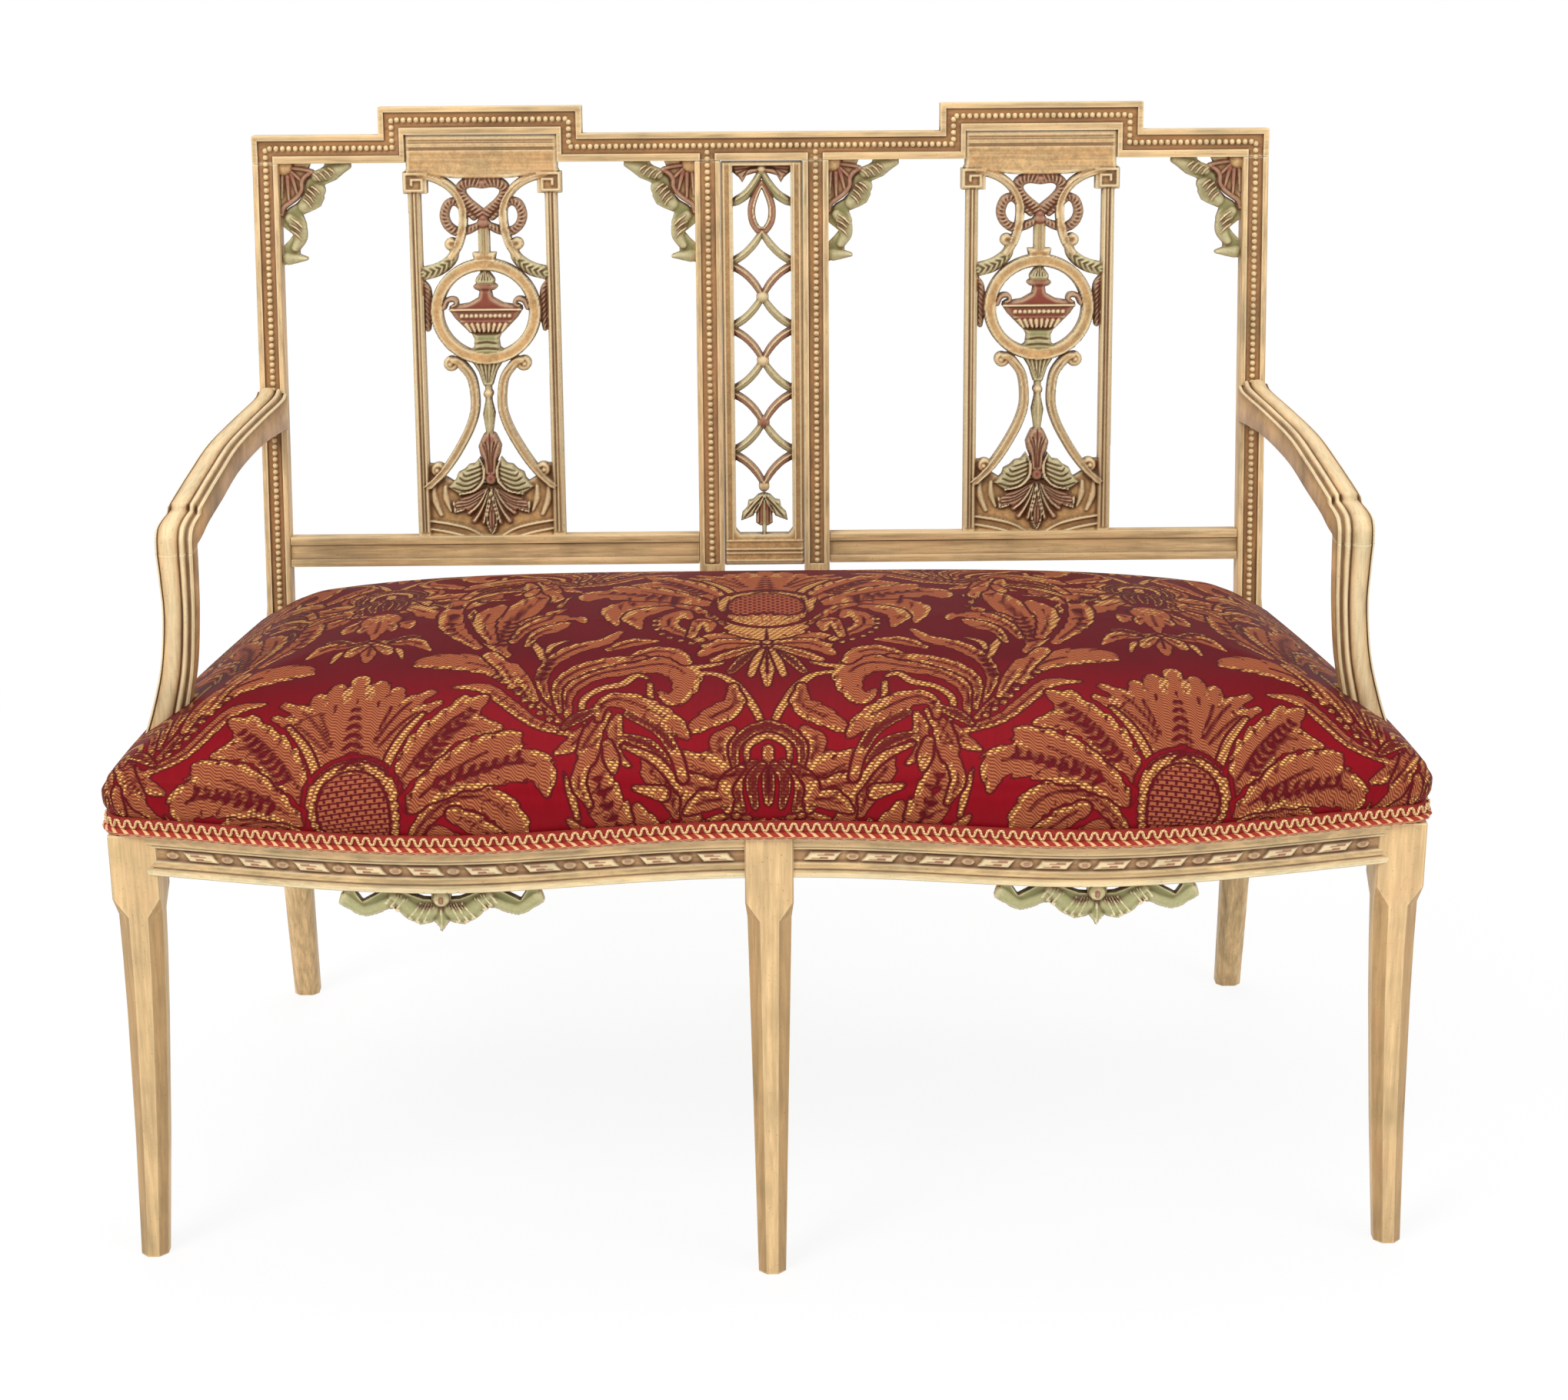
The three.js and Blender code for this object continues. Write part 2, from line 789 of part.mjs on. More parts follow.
const latticePanel = () => {
  const at = (h) => up(LOWER_RAIL_TOP + h * splatScale);
  const half = STILE_X - MEMBER_WIDTH / 2 - GAP;
  const open = LATTICE_OPENING / 2;
  const place = (points) => points.map(([x, h]) => [x, at(h)]);
  const floorLine = LATTICE_BOTTOM - LOWER_RAIL_HEIGHT;
  const board = [
    [-half, up(LOWER_RAIL_BOTTOM)],
    [half, up(LOWER_RAIL_BOTTOM)],
    [half, up(CREST_BOTTOM) - GAP],
    [-half, up(CREST_BOTTOM) - GAP],
  ];
  const opening = mirrored([
    [open - 5, at(floorLine)],
    [open, at(floorLine + 5)],
    [open, at(363)],
  ]);
  const carved = [LATTICE_FRONT + 2, LATTICE_BACK - 4];
  const pieces = [pierced(board, [opening], LATTICE_FRONT, LATTICE_BACK)];
  const line = (points, width) =>
    [-1, 1].forEach((side) => pieces.push(slab(strip(place(flipped(points, side)), width), ...carved)));
  const chainTop = 298;
  const sideSag = 0.42;
  [0, 1, 2, 3].forEach((i) => {
    const top = chainTop - i * LATTICE_PITCH;
    const middle = top - LATTICE_PITCH / 2;
    const foot = top - LATTICE_PITCH;
    const reach = open + 1.5;
    line(
      [
        [0, top + 1],
        [reach * sideSag, middle + (top - middle) * 0.46],
        [reach, middle],
      ],
      LATTICE_STRAND,
    );
    line(
      [
        [reach, middle],
        [reach * sideSag, middle - (middle - foot) * 0.46],
        [0, foot - 1],
      ],
      LATTICE_STRAND,
    );
  });
  [1, 2, 3].forEach((i) => pieces.push(slab(disc(0, at(chainTop - i * LATTICE_PITCH), 5, 5 * splatScale), ...carved, 5)));
  pieces.push(slab(hoop(0, at(322), 14, 24 * splatScale, 6.5), ...carved, 5));
  line(
    [
      [0, 356],
      [8, 343],
      [18, 334],
      [open + 1.5, 329],
    ],
    7,
  );
  const swag = mirrored([
    [0, 366],
    [open + 2, 366],
    [open + 2, 358],
    [20, 353],
    [11, 351],
    [6, 356],
    [5, 346],
    [0, 342],
  ]);
  const drop = mirrored([
    [0, 54],
    [5, 50],
    [4.5, 42],
    [9, 34],
    [16, 26],
    [24, 13],
    [11, 16],
    [9, 8],
    [4, 3],
    [0, -2],
  ]);
  pieces.push(slab(outline(place(swag)), ...carved));
  pieces.push(slab(outline(place(drop)), ...carved));
  return join(...pieces);
};

// Carved corner bracket, drawn from its corner: distance from the upright and below the crest

const cornerBracket = (x, side) => {
  const place = (points) => points.map(([u, v]) => [x + side * u, up(CREST_BOTTOM) - v]);
  const edge = [
    [GAP, GAP],
    [70, GAP],
    [62, 10],
    [54, 15.5],
    [46, 18],
    [44, 27],
    [41, 38],
    [33, 43.5],
    [24.5, 46],
    [25.5, 58],
    [24, 70],
    [17.5, 84],
    [24, 91],
    [17.5, 94],
    [9, 95],
    [GAP, 99],
  ];
  const sideHole = [
    [5, 57],
    [12, 65],
    [5, 76],
  ];
  const topHole = [
    [35, 4],
    [47, 3.5],
    [40, 9],
  ];
  return pierced(place(edge), [place(sideHole), place(topHole)], BRACKET_FRONT, BRACKET_BACK);
};

// Arms: a moulded section carried from the post to the elbow

const armSection = [
  [-0.4, 0],
  [0.4, 0],
  [0.5, 0.22],
  [0.5, 0.66],
  [0.38, 0.84],
  [0.24, 0.78],
  [0.14, 0.9],
  [-0.08, 1],
  [-0.32, 0.96],
  [-0.5, 0.7],
  [-0.5, 0.25],
];

const POST_REACH = 14;
const ELBOW_Y = SUPPORT_Y;
const ARM_END = SUPPORT_Y - SUPPORT_DEPTH / 2 - 4;
const ELBOW_BOTTOM = ARM_TOP - ELBOW_DROP;

const armRing = (side, x, y, bottom, top, width) =>
  armSection.map(([u, v]) => new THREE.Vector3(side * (x - u * width), y, THREE.MathUtils.lerp(bottom, top, v)));

const arm = (side) => {
  const rearZ = ARM_TOP - ARM_MIDDLE_DROP;
  const rearX = postX(rearZ);
  const rearY = backY(rearZ);
  const elbowX = rearX + ELBOW_OUT;
  const run = rearY - ELBOW_Y;
  const rear = armRing(side, rearX, 0, ARM_TOP - 39, ARM_TOP + 4, ARM_WIDTH).map(
    (p) => new THREE.Vector3(p.x, backY(p.z) - GAP, p.z),
  );
  const bottom = ARM_TOP - ARM_THICKNESS;
  return loft([
    rear,
    armRing(side, rearX, rearY - POST_REACH * 2, ARM_TOP - 34, ARM_TOP + 1, ARM_WIDTH),
    armRing(side, rearX + ARM_IN * 0.5, rearY - run * 0.25, bottom - 2, ARM_TOP - 1, ARM_WIDTH),
    armRing(side, rearX + ARM_IN, rearY - run * 0.48, bottom - 4, ARM_TOP - 3, ARM_WIDTH),
    armRing(side, rearX + ARM_IN, rearY - run * 0.7, bottom - 8, ARM_TOP - 6, ARM_WIDTH + 1),
    armRing(side, rearX + ARM_IN + 2, rearY - run * 0.86, bottom - 12, ARM_TOP - 9, ARM_WIDTH + 3),
    armRing(side, elbowX - 7, ELBOW_Y + 24, ELBOW_BOTTOM + 3, ARM_TOP - 13, ELBOW_WIDTH - 4),
    armRing(side, elbowX, ELBOW_Y, ELBOW_BOTTOM, ARM_TOP - 19, ELBOW_WIDTH),
    armRing(side, elbowX + 1, ARM_END, ELBOW_BOTTOM, ARM_TOP - 29, ELBOW_WIDTH - 5),
  ]);
};

// Supports: a three-ridged front face, carried up from the side rail to the elbow

const supportSection = [
  [-0.5, 0.5],
  [-0.5, -0.1],
  [-0.4, -0.42],
  [-0.18, -0.5],
  [0.04, -0.4],
  [0.14, -0.46],
  [0.26, -0.36],
  [0.34, -0.22],
  [0.5, -0.16],
  [0.5, 0.5],
];

const supportRing = (side, x, y, z, width, depth) =>
  supportSection.map(([u, v]) => new THREE.Vector3(side * (x - u * width), y + v * depth, z));

const SUPPORT_X = sideX(SUPPORT_Y) - SUPPORT_BASE / 2;

const SUPPORT_LOW = TACK_TOP + GAP;
const SUPPORT_HIGH = ELBOW_BOTTOM - GAP;

// Stations up the support: share of its height, share of its lean, forward shift, width and depth.
const supportStations = [
  [0, 0, 0, SUPPORT_BASE, SUPPORT_DEPTH],
  [0.13, 0.16, -1, SUPPORT_BASE - 2, SUPPORT_DEPTH],
  [0.3, 0.52, -3, SUPPORT_BASE - 6, SUPPORT_DEPTH - 1],
  [0.5, 0.86, -4, SUPPORT_WAIST + 1, SUPPORT_DEPTH - 2],
  [0.72, 1.02, -3, SUPPORT_WAIST, SUPPORT_DEPTH - 1],
  [0.88, 1.02, -1, SUPPORT_WAIST + 2, SUPPORT_DEPTH],
  [1, 1, 0, SUPPORT_WAIST + 4, SUPPORT_DEPTH],
].map(([rise, lean, forward, width, depth]) => ({
  x: THREE.MathUtils.lerp(SUPPORT_X, postX(ARM_TOP) + ELBOW_OUT, lean),
  y: SUPPORT_Y + forward,
  z: THREE.MathUtils.lerp(SUPPORT_LOW, SUPPORT_HIGH, rise),
  width,
  depth,
}));

const armSupport = (side) => loft(supportStations.map((s) => supportRing(side, s.x, s.y, s.z, s.width, s.depth)));

// Apron bow: a carved ribbon bow under the front rail, drawn from its middle and down from the rail

const apronBow = (centerX) => {
  const wide = BOW_HALF / 86;
  const deep = BOW_DROP / 38;
  const place = (points) => points.map(([x, v]) => [centerX + x * wide, UNDER_RAIL - GAP - v * deep]);
  const edge = mirrored([
    [0, 38],
    [7, 28],
    [13, 32],
    [19, 32.5],
    [28, 27],
    [36, 18.5],
    [44, 18],
    [54, 22.5],
    [64, 25],
    [78, 18],
    [86, 13],
    [82, 7],
    [79, 0],
  ]);
  const loop = [
    [70, 4],
    [51, 4],
    [64, 11.5],
  ];
  const eye = [
    [31, 4],
    [9, 4],
    [8, 10],
    [20, 9],
  ];
  const holes = [-1, 1].flatMap((side) => [place(flipped(loop, side)), place(flipped(eye, side))]);
  const front = faceY(centerX) + BOW_SETBACK;
  return pierced(place(edge), holes, front, front + BOW_DEPTH);
};

// Seat outline: the rail's face, a round corner, the side and a straight rear edge, right half then mirrored

const seatOutline = () => {
  const cornerStart = CORNER_X - CORNER_RADIUS;
  const cornerY = faceY(cornerStart) + CORNER_RADIUS;
  const front = [0, ...frontStations.filter((x) => x < cornerStart - CORNER_RADIUS / 2)];
  const corner = range(-Math.PI / 2, 0, 3).map((a) => [
    cornerStart + CORNER_RADIUS * Math.cos(a),
    cornerY + CORNER_RADIUS * Math.sin(a),
  ]);
  const side = range(cornerY, REAR_RIM - CORNER_RADIUS / 2, 5).slice(1);
  const half = [
    ...front.map((x) => [x, faceY(x)]),
    ...corner,
    ...side.map((y) => [sideX(y), y]),
    ...[0.985, 0.66, 0.33, 0].map((t) => [t * sideX(REAR_RIM), SEAT_DEPTH - REAR_BOW * t * t]),
  ];
  return mirrored(half).map(([x, y]) => new THREE.Vector2(x, y));
};

const rim = seatOutline();
const SPINE_HALF = CORNER_X * 0.54;
const SPINE_Y = SEAT_DEPTH * 0.46;

const inwardAt = (i) => {
  const before = rim[(i + rim.length - 1) % rim.length];
  const after = rim[(i + 1) % rim.length];
  return new THREE.Vector2(before.y - after.y, after.x - before.x).normalize();
};

// One level of the seat: the outline moved in by a distance, then drawn towards the seat's middle line by a share.
// The rear edge never swells past the cover's own inset, so it stays clear of the back.
const seatRing = (inset, z, share = 0, rearInset = COVER_INSET) =>
  rim.map((p, i) => {
    const own = p.y > SEAT_DEPTH - CORNER_RADIUS ? Math.max(inset, rearInset) : inset;
    const q = p.clone().addScaledVector(inwardAt(i), own);
    const goal = new THREE.Vector2(THREE.MathUtils.clamp(q.x, -SPINE_HALF, SPINE_HALF), SPINE_Y);
    q.lerp(goal, share);
    return new THREE.Vector3(q.x, q.y, z);
  });

// The crown sinks towards the ends of the seat, most at the back.
const settled = (ring) =>
  ring.map(({ x, y, z }) => {
    const end = Math.abs(x / CORNER_X) ** 4;
    const rearward = 0.35 + 0.65 * Math.max(0, y / SEAT_DEPTH) ** 2;
    return new THREE.Vector3(x, y, z - Math.max(0, z - TACK_TOP) * CROWN_SETTLE * end * rearward);
  });

// The cover's rise: inset, share of the tack strip's height, share of the crown above it, share drawn in.
const coverRise = [
  [COVER_INSET, 0, 0, 0],
  [COVER_INSET, 1, 0, 0],
  [-COVER_BULGE * 0.8, 1, 0.09, 0],
  [-COVER_BULGE, 1, 0.2, 0],
  [0, 1, 0.32, 0],
  [0, 1, 0.43, 0.04],
  [0, 1, 0.55, 0.11],
  [0, 1, 0.71, 0.22],
  [0, 1, 0.87, 0.4],
  [0, 1, 0.96, 0.64],
  [0, 1, 1, 0.88],
];

const COVER_RIM = RAIL_TOP + 0.7;
const riseHeight = ([, strip, crown]) => strip * TACK_HEIGHT + crown * (CROWN - TACK_HEIGHT);

// The rise moved inwards and down by a thickness, as the surface under it lies.
const riseInside = (thickness) =>
  coverRise.map((row, i) => {
    const before = coverRise[Math.max(0, i - 1)];
    const after = coverRise[Math.min(coverRise.length - 1, i + 1)];
    const run = after[0] - before[0] + (after[3] - before[3]) * (SPINE_Y + BOW_OUT);
    const climb = riseHeight(after) - riseHeight(before);
    const length = Math.hypot(run, climb);
    const down = i === 0 ? 0 : (thickness * run) / length;
    const inset = row[0] + (thickness * climb) / length;
    const z = COVER_RIM + riseHeight(row) - down;
    return settled(seatRing(inset, z, row[3], COVER_INSET + thickness));
  });

const seatCover = () => loft([...riseInside(COVER_THICKNESS).reverse(), ...riseInside(0)]);

// Cloth over the springs: up from the rails' top to a level middle.
const burlapRise = [
  [9, TACK_TOP + GAP, 0],
  [0, TACK_TOP + 0.55 * SPRING_TOP, 0.16],
  [0, RAIL_TOP + SPRING_TOP, 0.34],
];

const burlap = () => {
  const under = burlapRise.map(([inset, z, share], i) =>
    i === 0 ? seatRing(inset + 2 * BURLAP_THICKNESS, z) : seatRing(inset, z - BURLAP_THICKNESS, share),
  );
  const over = burlapRise.map(([inset, z, share]) => seatRing(inset, z, share));
  return loft([...under.reverse(), ...over]);
};

const PADDING_CLEARANCE = COVER_THICKNESS + 3.5;
const PADDING_LIFT = 1.4;

const seatPadding = () => {
  const outer = riseInside(PADDING_CLEARANCE).filter((ring, i) => i > 1 && i % 2 === 0);
  const rimRing = seatRing(COVER_INSET + PADDING_CLEARANCE + 0.5, TACK_TOP + GAP);
  const inner = burlapRise.map(([inset, z, share], i) =>
    seatRing(inset - PADDING_LIFT, i === 0 ? z : z + PADDING_LIFT, share),
  );
  return loft([...inner.reverse(), rimRing, ...outer]);
};

// The braid covers the cover's lower edge on the front and the sides, from post to post.
const gimpBraid = () => {
  const count = rim.length;
  const half = Math.floor(count / 2);
  const rear = half - 4;
  const order = range(count - rear, count + rear, 2 * rear).map((i) => Math.round(i) % count);
  const [outer, inner] = [0, GIMP_THICKNESS];
  const [low, high] = [RAIL_TOP + GAP, TACK_TOP - GAP];
  const at = (i, inset, z) => {
    const q = rim[i].clone().addScaledVector(inwardAt(i), inset);
    return new THREE.Vector3(q.x, q.y, z);
  };
  return loft(order.map((i) => [at(i, outer, low), at(i, outer, high), at(i, inner, high), at(i, inner, low)]));
};

// Springs, webbing and dust cover

class HourglassCurve extends THREE.Curve {
  constructor(x, y, low, high) {
    super();
    Object.assign(this, { x, y, low, high });
  }
  getPoint(t, target = new THREE.Vector3()) {
    const radius = THREE.MathUtils.lerp(SPRING_RADIUS, SPRING_WAIST, Math.sin(Math.PI * t));
    const turn = 2 * Math.PI * SPRING_TURNS * t;
    return target.set(
      this.x + radius * Math.cos(turn),
      this.y + radius * Math.sin(turn),
      THREE.MathUtils.lerp(this.low, this.high, t),
    );
  }
}

const WEB_TOP = UNDER_RAIL - GAP;
const SPRING_X = [0.29, 0.66];
const SPRING_Y = [0.3, 0.7];

const seatSpring = (x, y) => {
  const low = WEB_TOP + GAP + SPRING_WIRE;
  const high = RAIL_TOP + SPRING_TOP - BURLAP_THICKNESS - GAP - SPRING_WIRE;
  const wire = new THREE.Shape(
    range(0, 2 * Math.PI, 4)
      .slice(0, 4)
      .map((a) => new THREE.Vector2(SPRING_WIRE * Math.cos(a), SPRING_WIRE * Math.sin(a))),
  );
  return solid(
    new THREE.ExtrudeGeometry(wire, {
      steps: Math.round(SPRING_TURNS * 10),
      extrudePath: new HourglassCurve(x, y, low, high),
    }),
  );
};

const springPlaces = SIDES.flatMap(([, side]) =>
  SPRING_X.flatMap((u) => SPRING_Y.map((v) => [side * u * CORNER_X, v * SEAT_DEPTH])),
);

const seatWebbing = () => {
  const [low, high] = [WEB_TOP - WEB_THICKNESS, WEB_TOP];
  const rearEnd = REAR_RAIL_FRONT + WEB_INSET;
  const along = springPlaces
    .filter((_, i) => i % 2 === 0)
    .map(([x]) => box(x - WEB_WIDTH / 2, x + WEB_WIDTH / 2, faceY(x) + WEB_INSET, rearEnd, low, high));
  const across = SPRING_Y.map((v) => {
    const y = v * SEAT_DEPTH;
    const reach = sideX(y + WEB_WIDTH / 2) - WEB_INSET;
    return box(-reach, reach, y - WEB_WIDTH / 2, y + WEB_WIDTH / 2, low, high);
  });
  return join(...along, ...across);
};

const dustCover = () => {
  const top = WEB_TOP - WEB_THICKNESS - GAP;
  const rear = SEAT_DEPTH - DUST_INSET;
  const points = mirrored([
    ...[0, ...frontStations].map((x) => [x, faceY(x) + DUST_INSET]),
    ...range(SIDE_START, rear, 5).map((y) => [sideX(y) - DUST_INSET, y]),
    [0, rear + REAR_BOW],
  ]);
  const legRoom = LEG_BLOCK + 2 * LEG_CLEARANCE;
  const columns = [
    boxAt(0, LEG_BLOCK / 2 - LEG_PROUD, top, legRoom, legRoom, 20),
    ...SIDES.map(([, side]) => boxAt(side * CORNER_LEG_X, CORNER_LEG_Y, top, legRoom, legRoom, 20)),
  ];
  return cut(plate(points, top - DUST_THICKNESS, top), ...columns);
};

// Screws: a countersunk head, a plain shank and a point, along their axis from the head

const screwAlong = (start, direction, length, grow = 0) => {
  const shank = SCREW_SHANK + grow;
  const head = SCREW_HEAD + grow;
  const profile = [
    [0, -grow],
    [head, -grow],
    [head, SCREW_HEAD_HEIGHT + grow],
    [shank, SCREW_HEAD_HEIGHT + grow],
    [shank, length - 2 * SCREW_SHANK + grow],
    [0, length + grow],
  ];
  const geometry = new THREE.LatheGeometry(
    profile.map(([r, y]) => new THREE.Vector2(r, y)),
    8,
  );
  const turn = new THREE.Quaternion().setFromUnitVectors(new THREE.Vector3(0, 1, 0), direction);
  const matrix = new THREE.Matrix4().compose(start, turn, new THREE.Vector3(1, 1, 1));
  const body = solid(geometry.applyMatrix4(matrix));
  return body.volume() < 0 ? solid(geometry.clone().setIndex([...geometry.index.array].reverse())) : body;
};

// The way in for a sunk screw: a round bore behind its head.
const screwBore = (head, direction, length) => {
  const geometry = new THREE.CylinderGeometry(SCREW_HEAD + GAP, SCREW_HEAD + GAP, length, 8);
  geometry.translate(0, SCREW_HEAD_HEIGHT / 2 - length / 2, 0);
  const turn = new THREE.Quaternion().setFromUnitVectors(new THREE.Vector3(0, 1, 0), direction);
  return solid(geometry.applyMatrix4(new THREE.Matrix4().compose(head, turn, new THREE.Vector3(1, 1, 1))));
};

// Assembly of the seat frame

const BLOCK_TOP = RAIL_TOP - BLOCK_DROP;
const BLOCK_LOW = BLOCK_TOP - BLOCK_HEIGHT;
const frame = {};

const tenonIntoX = (from, to, y, z, grow = 0) =>
  box(
    Math.min(from, to) - grow,
    Math.max(from, to) + grow,
    y - TENON_THICKNESS / 2 - grow,
    y + TENON_THICKNESS / 2 + grow,
    z - RAIL_HEIGHT / 2 + TENON_SHOULDER - grow,
    z + RAIL_HEIGHT / 2 - TENON_SHOULDER + grow,
  );

const tenonIntoY = (from, to, x, z, grow = 0) =>
  box(
    x - TENON_THICKNESS / 2 - grow,
    x + TENON_THICKNESS / 2 + grow,
    Math.min(from, to) - grow,
    Math.max(from, to) + grow,
    z - RAIL_HEIGHT / 2 + TENON_SHOULDER - grow,
    z + RAIL_HEIGHT / 2 - TENON_SHOULDER + grow,
  );

const RAIL_MIDDLE = UNDER_RAIL + RAIL_HEIGHT / 2;
const ROOT = 2;

frame.front_leg_center = join(
  frontLeg(0, LEG_BLOCK / 2 - LEG_PROUD, 0, -LEG_FLARE_FRONT),
  centerLegTop,
);
frame.rear_rail = box(
  REAR_LEG_SIZE / 2 - postX(UNDER_RAIL) + GAP + 0.5,
  postX(UNDER_RAIL) - REAR_LEG_SIZE / 2 - GAP - 0.5,
  REAR_RAIL_FRONT,
  REAR_RAIL_FRONT + REAR_RAIL_DEPTH,
  UNDER_RAIL,
  RAIL_TOP,
);
frame.rear_leg_center = rearLegCenter;
frame.seat_brace_center = box(
  -BRACE_WIDTH / 2,
  BRACE_WIDTH / 2,
  LEG_BLOCK - LEG_PROUD + GAP,
  REAR_RAIL_FRONT - GAP,
  UNDER_RAIL + TENON_SHOULDER,
  RAIL_TOP,
);
// The rear center leg is pegged up into the rear rail.
const pegZ = UNDER_RAIL;
const pegY = backY(UNDER_RAIL) + REAR_LEG_SIZE / 2;
const peg = (grow) => boxAt(0, pegY, pegZ + TENON_LENGTH / 2 - ROOT, 14, 14, TENON_LENGTH, grow);
frame.rear_leg_center = join(frame.rear_leg_center, peg(0));
frame.rear_rail = cut(frame.rear_rail, peg(GAP));

for (const [name, side] of SIDES) {
  const leg = join(frontLeg(side * CORNER_LEG_X, CORNER_LEG_Y, side * LEG_FLARE_SIDE, 0), cornerLegTop(side));
  let front = frontRail(side);
  let sideways = sideRail(side);
  let post = cut(backPost(side), postChannel(side));

  // Front rail tenons into the center leg and the corner leg
  const inner = (grow) =>
    tenonIntoX(side * (RAIL_START + ROOT), side * (RAIL_START - TENON_LENGTH / 2), RAIL_THICKNESS / 2, RAIL_MIDDLE, grow);
  const outerY = faceY(RAIL_END) + RAIL_THICKNESS / 2;
  const outer = (grow) =>
    tenonIntoX(side * (RAIL_END - ROOT), side * (RAIL_END + TENON_LENGTH), outerY, RAIL_MIDDLE, grow);
  front = join(front, inner(0), outer(0));
  frame.front_leg_center = cut(frame.front_leg_center, inner(GAP));

  // Side rail tenons into the corner leg and the post
  const frontTenon = (grow) =>
    tenonIntoY(
      SIDE_START + ROOT,
      SIDE_START - TENON_LENGTH / 2,
      side * (sideX(SIDE_START) - RAIL_THICKNESS / 2),
      RAIL_MIDDLE,
      grow,
    );
  const rearTenon = (grow) =>
    tenonIntoY(
      SIDE_END - ROOT,
      SIDE_END + TENON_LENGTH,
      side * (sideX(SIDE_END) - RAIL_THICKNESS / 2),
      RAIL_MIDDLE,
      grow,
    );
  const postRoom = moved(box(side * (postX(RAIL_TOP) - RAIL_THICKNESS), side * CORNER_X, -GAP, MEMBER_DEPTH + REAR_KICK, 0, ARM_TOP), back.matrix);
  // The tack strip stops short of the cover's rear edge, and the rear rail lets the side rail's end in.
  const stripEnd = box(
    side * (REAR_X - RAIL_THICKNESS - PAST),
    side * (REAR_X + PAST),
    SEAT_DEPTH - 0.75 * CORNER_RADIUS,
    SEAT_DEPTH,
    RAIL_TOP,
    TACK_TOP + PAST,
  );
  sideways = join(cut(sideways, postRoom, stripEnd), frontTenon(0), rearTenon(0));
  const railEndRoom = box(
    side * (sideX(SIDE_END) - RAIL_THICKNESS - GAP),
    side * REAR_X,
    REAR_RAIL_FRONT - PAST,
    SIDE_END + GAP,
    UNDER_RAIL - PAST,
    RAIL_TOP + PAST,
  );
  frame.rear_rail = cut(frame.rear_rail, railEndRoom);
  post = cut(post, rearTenon(GAP));
  frame[`front_leg_${name}`] = cut(leg, outer(GAP), frontTenon(GAP));

  // Rear rail tenon into the post, short of the side rail's
  const railEnd = postX(UNDER_RAIL) - REAR_LEG_SIZE / 2;
  const rearY = REAR_RAIL_FRONT + REAR_RAIL_DEPTH - TENON_THICKNESS;
  const railTenon = (grow) => tenonIntoX(side * (railEnd - ROOT), side * (railEnd + REAR_TENON_LENGTH), rearY, RAIL_MIDDLE, grow);
  frame.rear_rail = join(frame.rear_rail, railTenon(0));
  post = cut(post, railTenon(GAP));

  // Glue blocks in the corners, cut to the faces they lie on, with a screw into each rail
  const cornerX = RAIL_END;
  const frontPoints = range(sideX(SIDE_START) - RAIL_THICKNESS - GAP, cornerX - BLOCK_LEG + LEG_BLOCK / 2, 2).map((x) => [
    side * x,
    faceY(x) + RAIL_THICKNESS + GAP,
  ]);
  const blockRear = CORNER_LEG_Y + BLOCK_LEG;
  const sidePoints = range(blockRear, SIDE_START, 2).map((y) => [
    side * (sideX(y) - RAIL_THICKNESS - GAP),
    y,
  ]);
  const legRoom = boxAt(side * CORNER_LEG_X, CORNER_LEG_Y, RAIL_MIDDLE, LEG_BLOCK, LEG_BLOCK, RAIL_HEIGHT, GAP);
  let frontBlock = cut(plate([...frontPoints, ...sidePoints], BLOCK_LOW, BLOCK_TOP), legRoom);
  const wallX = (y) => side * (sideX(y) - RAIL_THICKNESS - GAP);
  const rearFront = REAR_RAIL_FRONT - GAP;
  const rearSide = sideX(rearFront) - RAIL_THICKNESS - GAP;
  let rearBlock = plate(
    [
      [wallX(rearFront), rearFront],
      [side * (rearSide - BLOCK_LEG), rearFront],
      [wallX(rearFront - BLOCK_LEG), rearFront - BLOCK_LEG],
    ],
    BLOCK_LOW,
    BLOCK_TOP,
  );

  const blockMiddle = (BLOCK_LOW + BLOCK_TOP) / 2;
  const intoFront = new THREE.Vector3(0, -1, 0);
  const intoSide = new THREE.Vector3(side, 0, 0);
  const intoRear = new THREE.Vector3(0, 1, 0);
  const sink = BLOCK_SCREW_LENGTH - RAIL_THICKNESS / 2;
  const screwX = side * (cornerX - BLOCK_LEG * 0.32);
  const screwY = CORNER_LEG_Y + BLOCK_LEG * 0.72;
  const rearScrewX = side * (rearSide - BLOCK_LEG * 0.62);
  const rearScrewY = rearFront - BLOCK_LEG * 0.62;
  const innerFront = faceY(Math.abs(screwX)) + RAIL_THICKNESS;
  const innerSide = (y) => side * (sideX(y) - RAIL_THICKNESS - sink);
  const screws = {
    [`block_screw_front_${name}_1`]: [new THREE.Vector3(screwX, innerFront + sink, blockMiddle), intoFront],
    [`block_screw_front_${name}_2`]: [new THREE.Vector3(innerSide(screwY), screwY, blockMiddle), intoSide],
    [`block_screw_rear_${name}_1`]: [new THREE.Vector3(rearScrewX, rearFront - sink, blockMiddle), intoRear],
    [`block_screw_rear_${name}_2`]: [new THREE.Vector3(innerSide(rearScrewY), rearScrewY, blockMiddle), intoSide],
  };
  for (const [screwName, [start, direction]] of Object.entries(screws)) {
    frame[screwName] = screwAlong(start, direction, BLOCK_SCREW_LENGTH);
    const room = screwAlong(start, direction, BLOCK_SCREW_LENGTH, GAP);
    const bore = screwBore(start, direction, BLOCK_LEG);
    front = cut(front, room);
    sideways = cut(sideways, room);
    frame.rear_rail = cut(frame.rear_rail, room);
    frontBlock = cut(frontBlock, room, bore);
    rearBlock = cut(rearBlock, room, bore);
  }

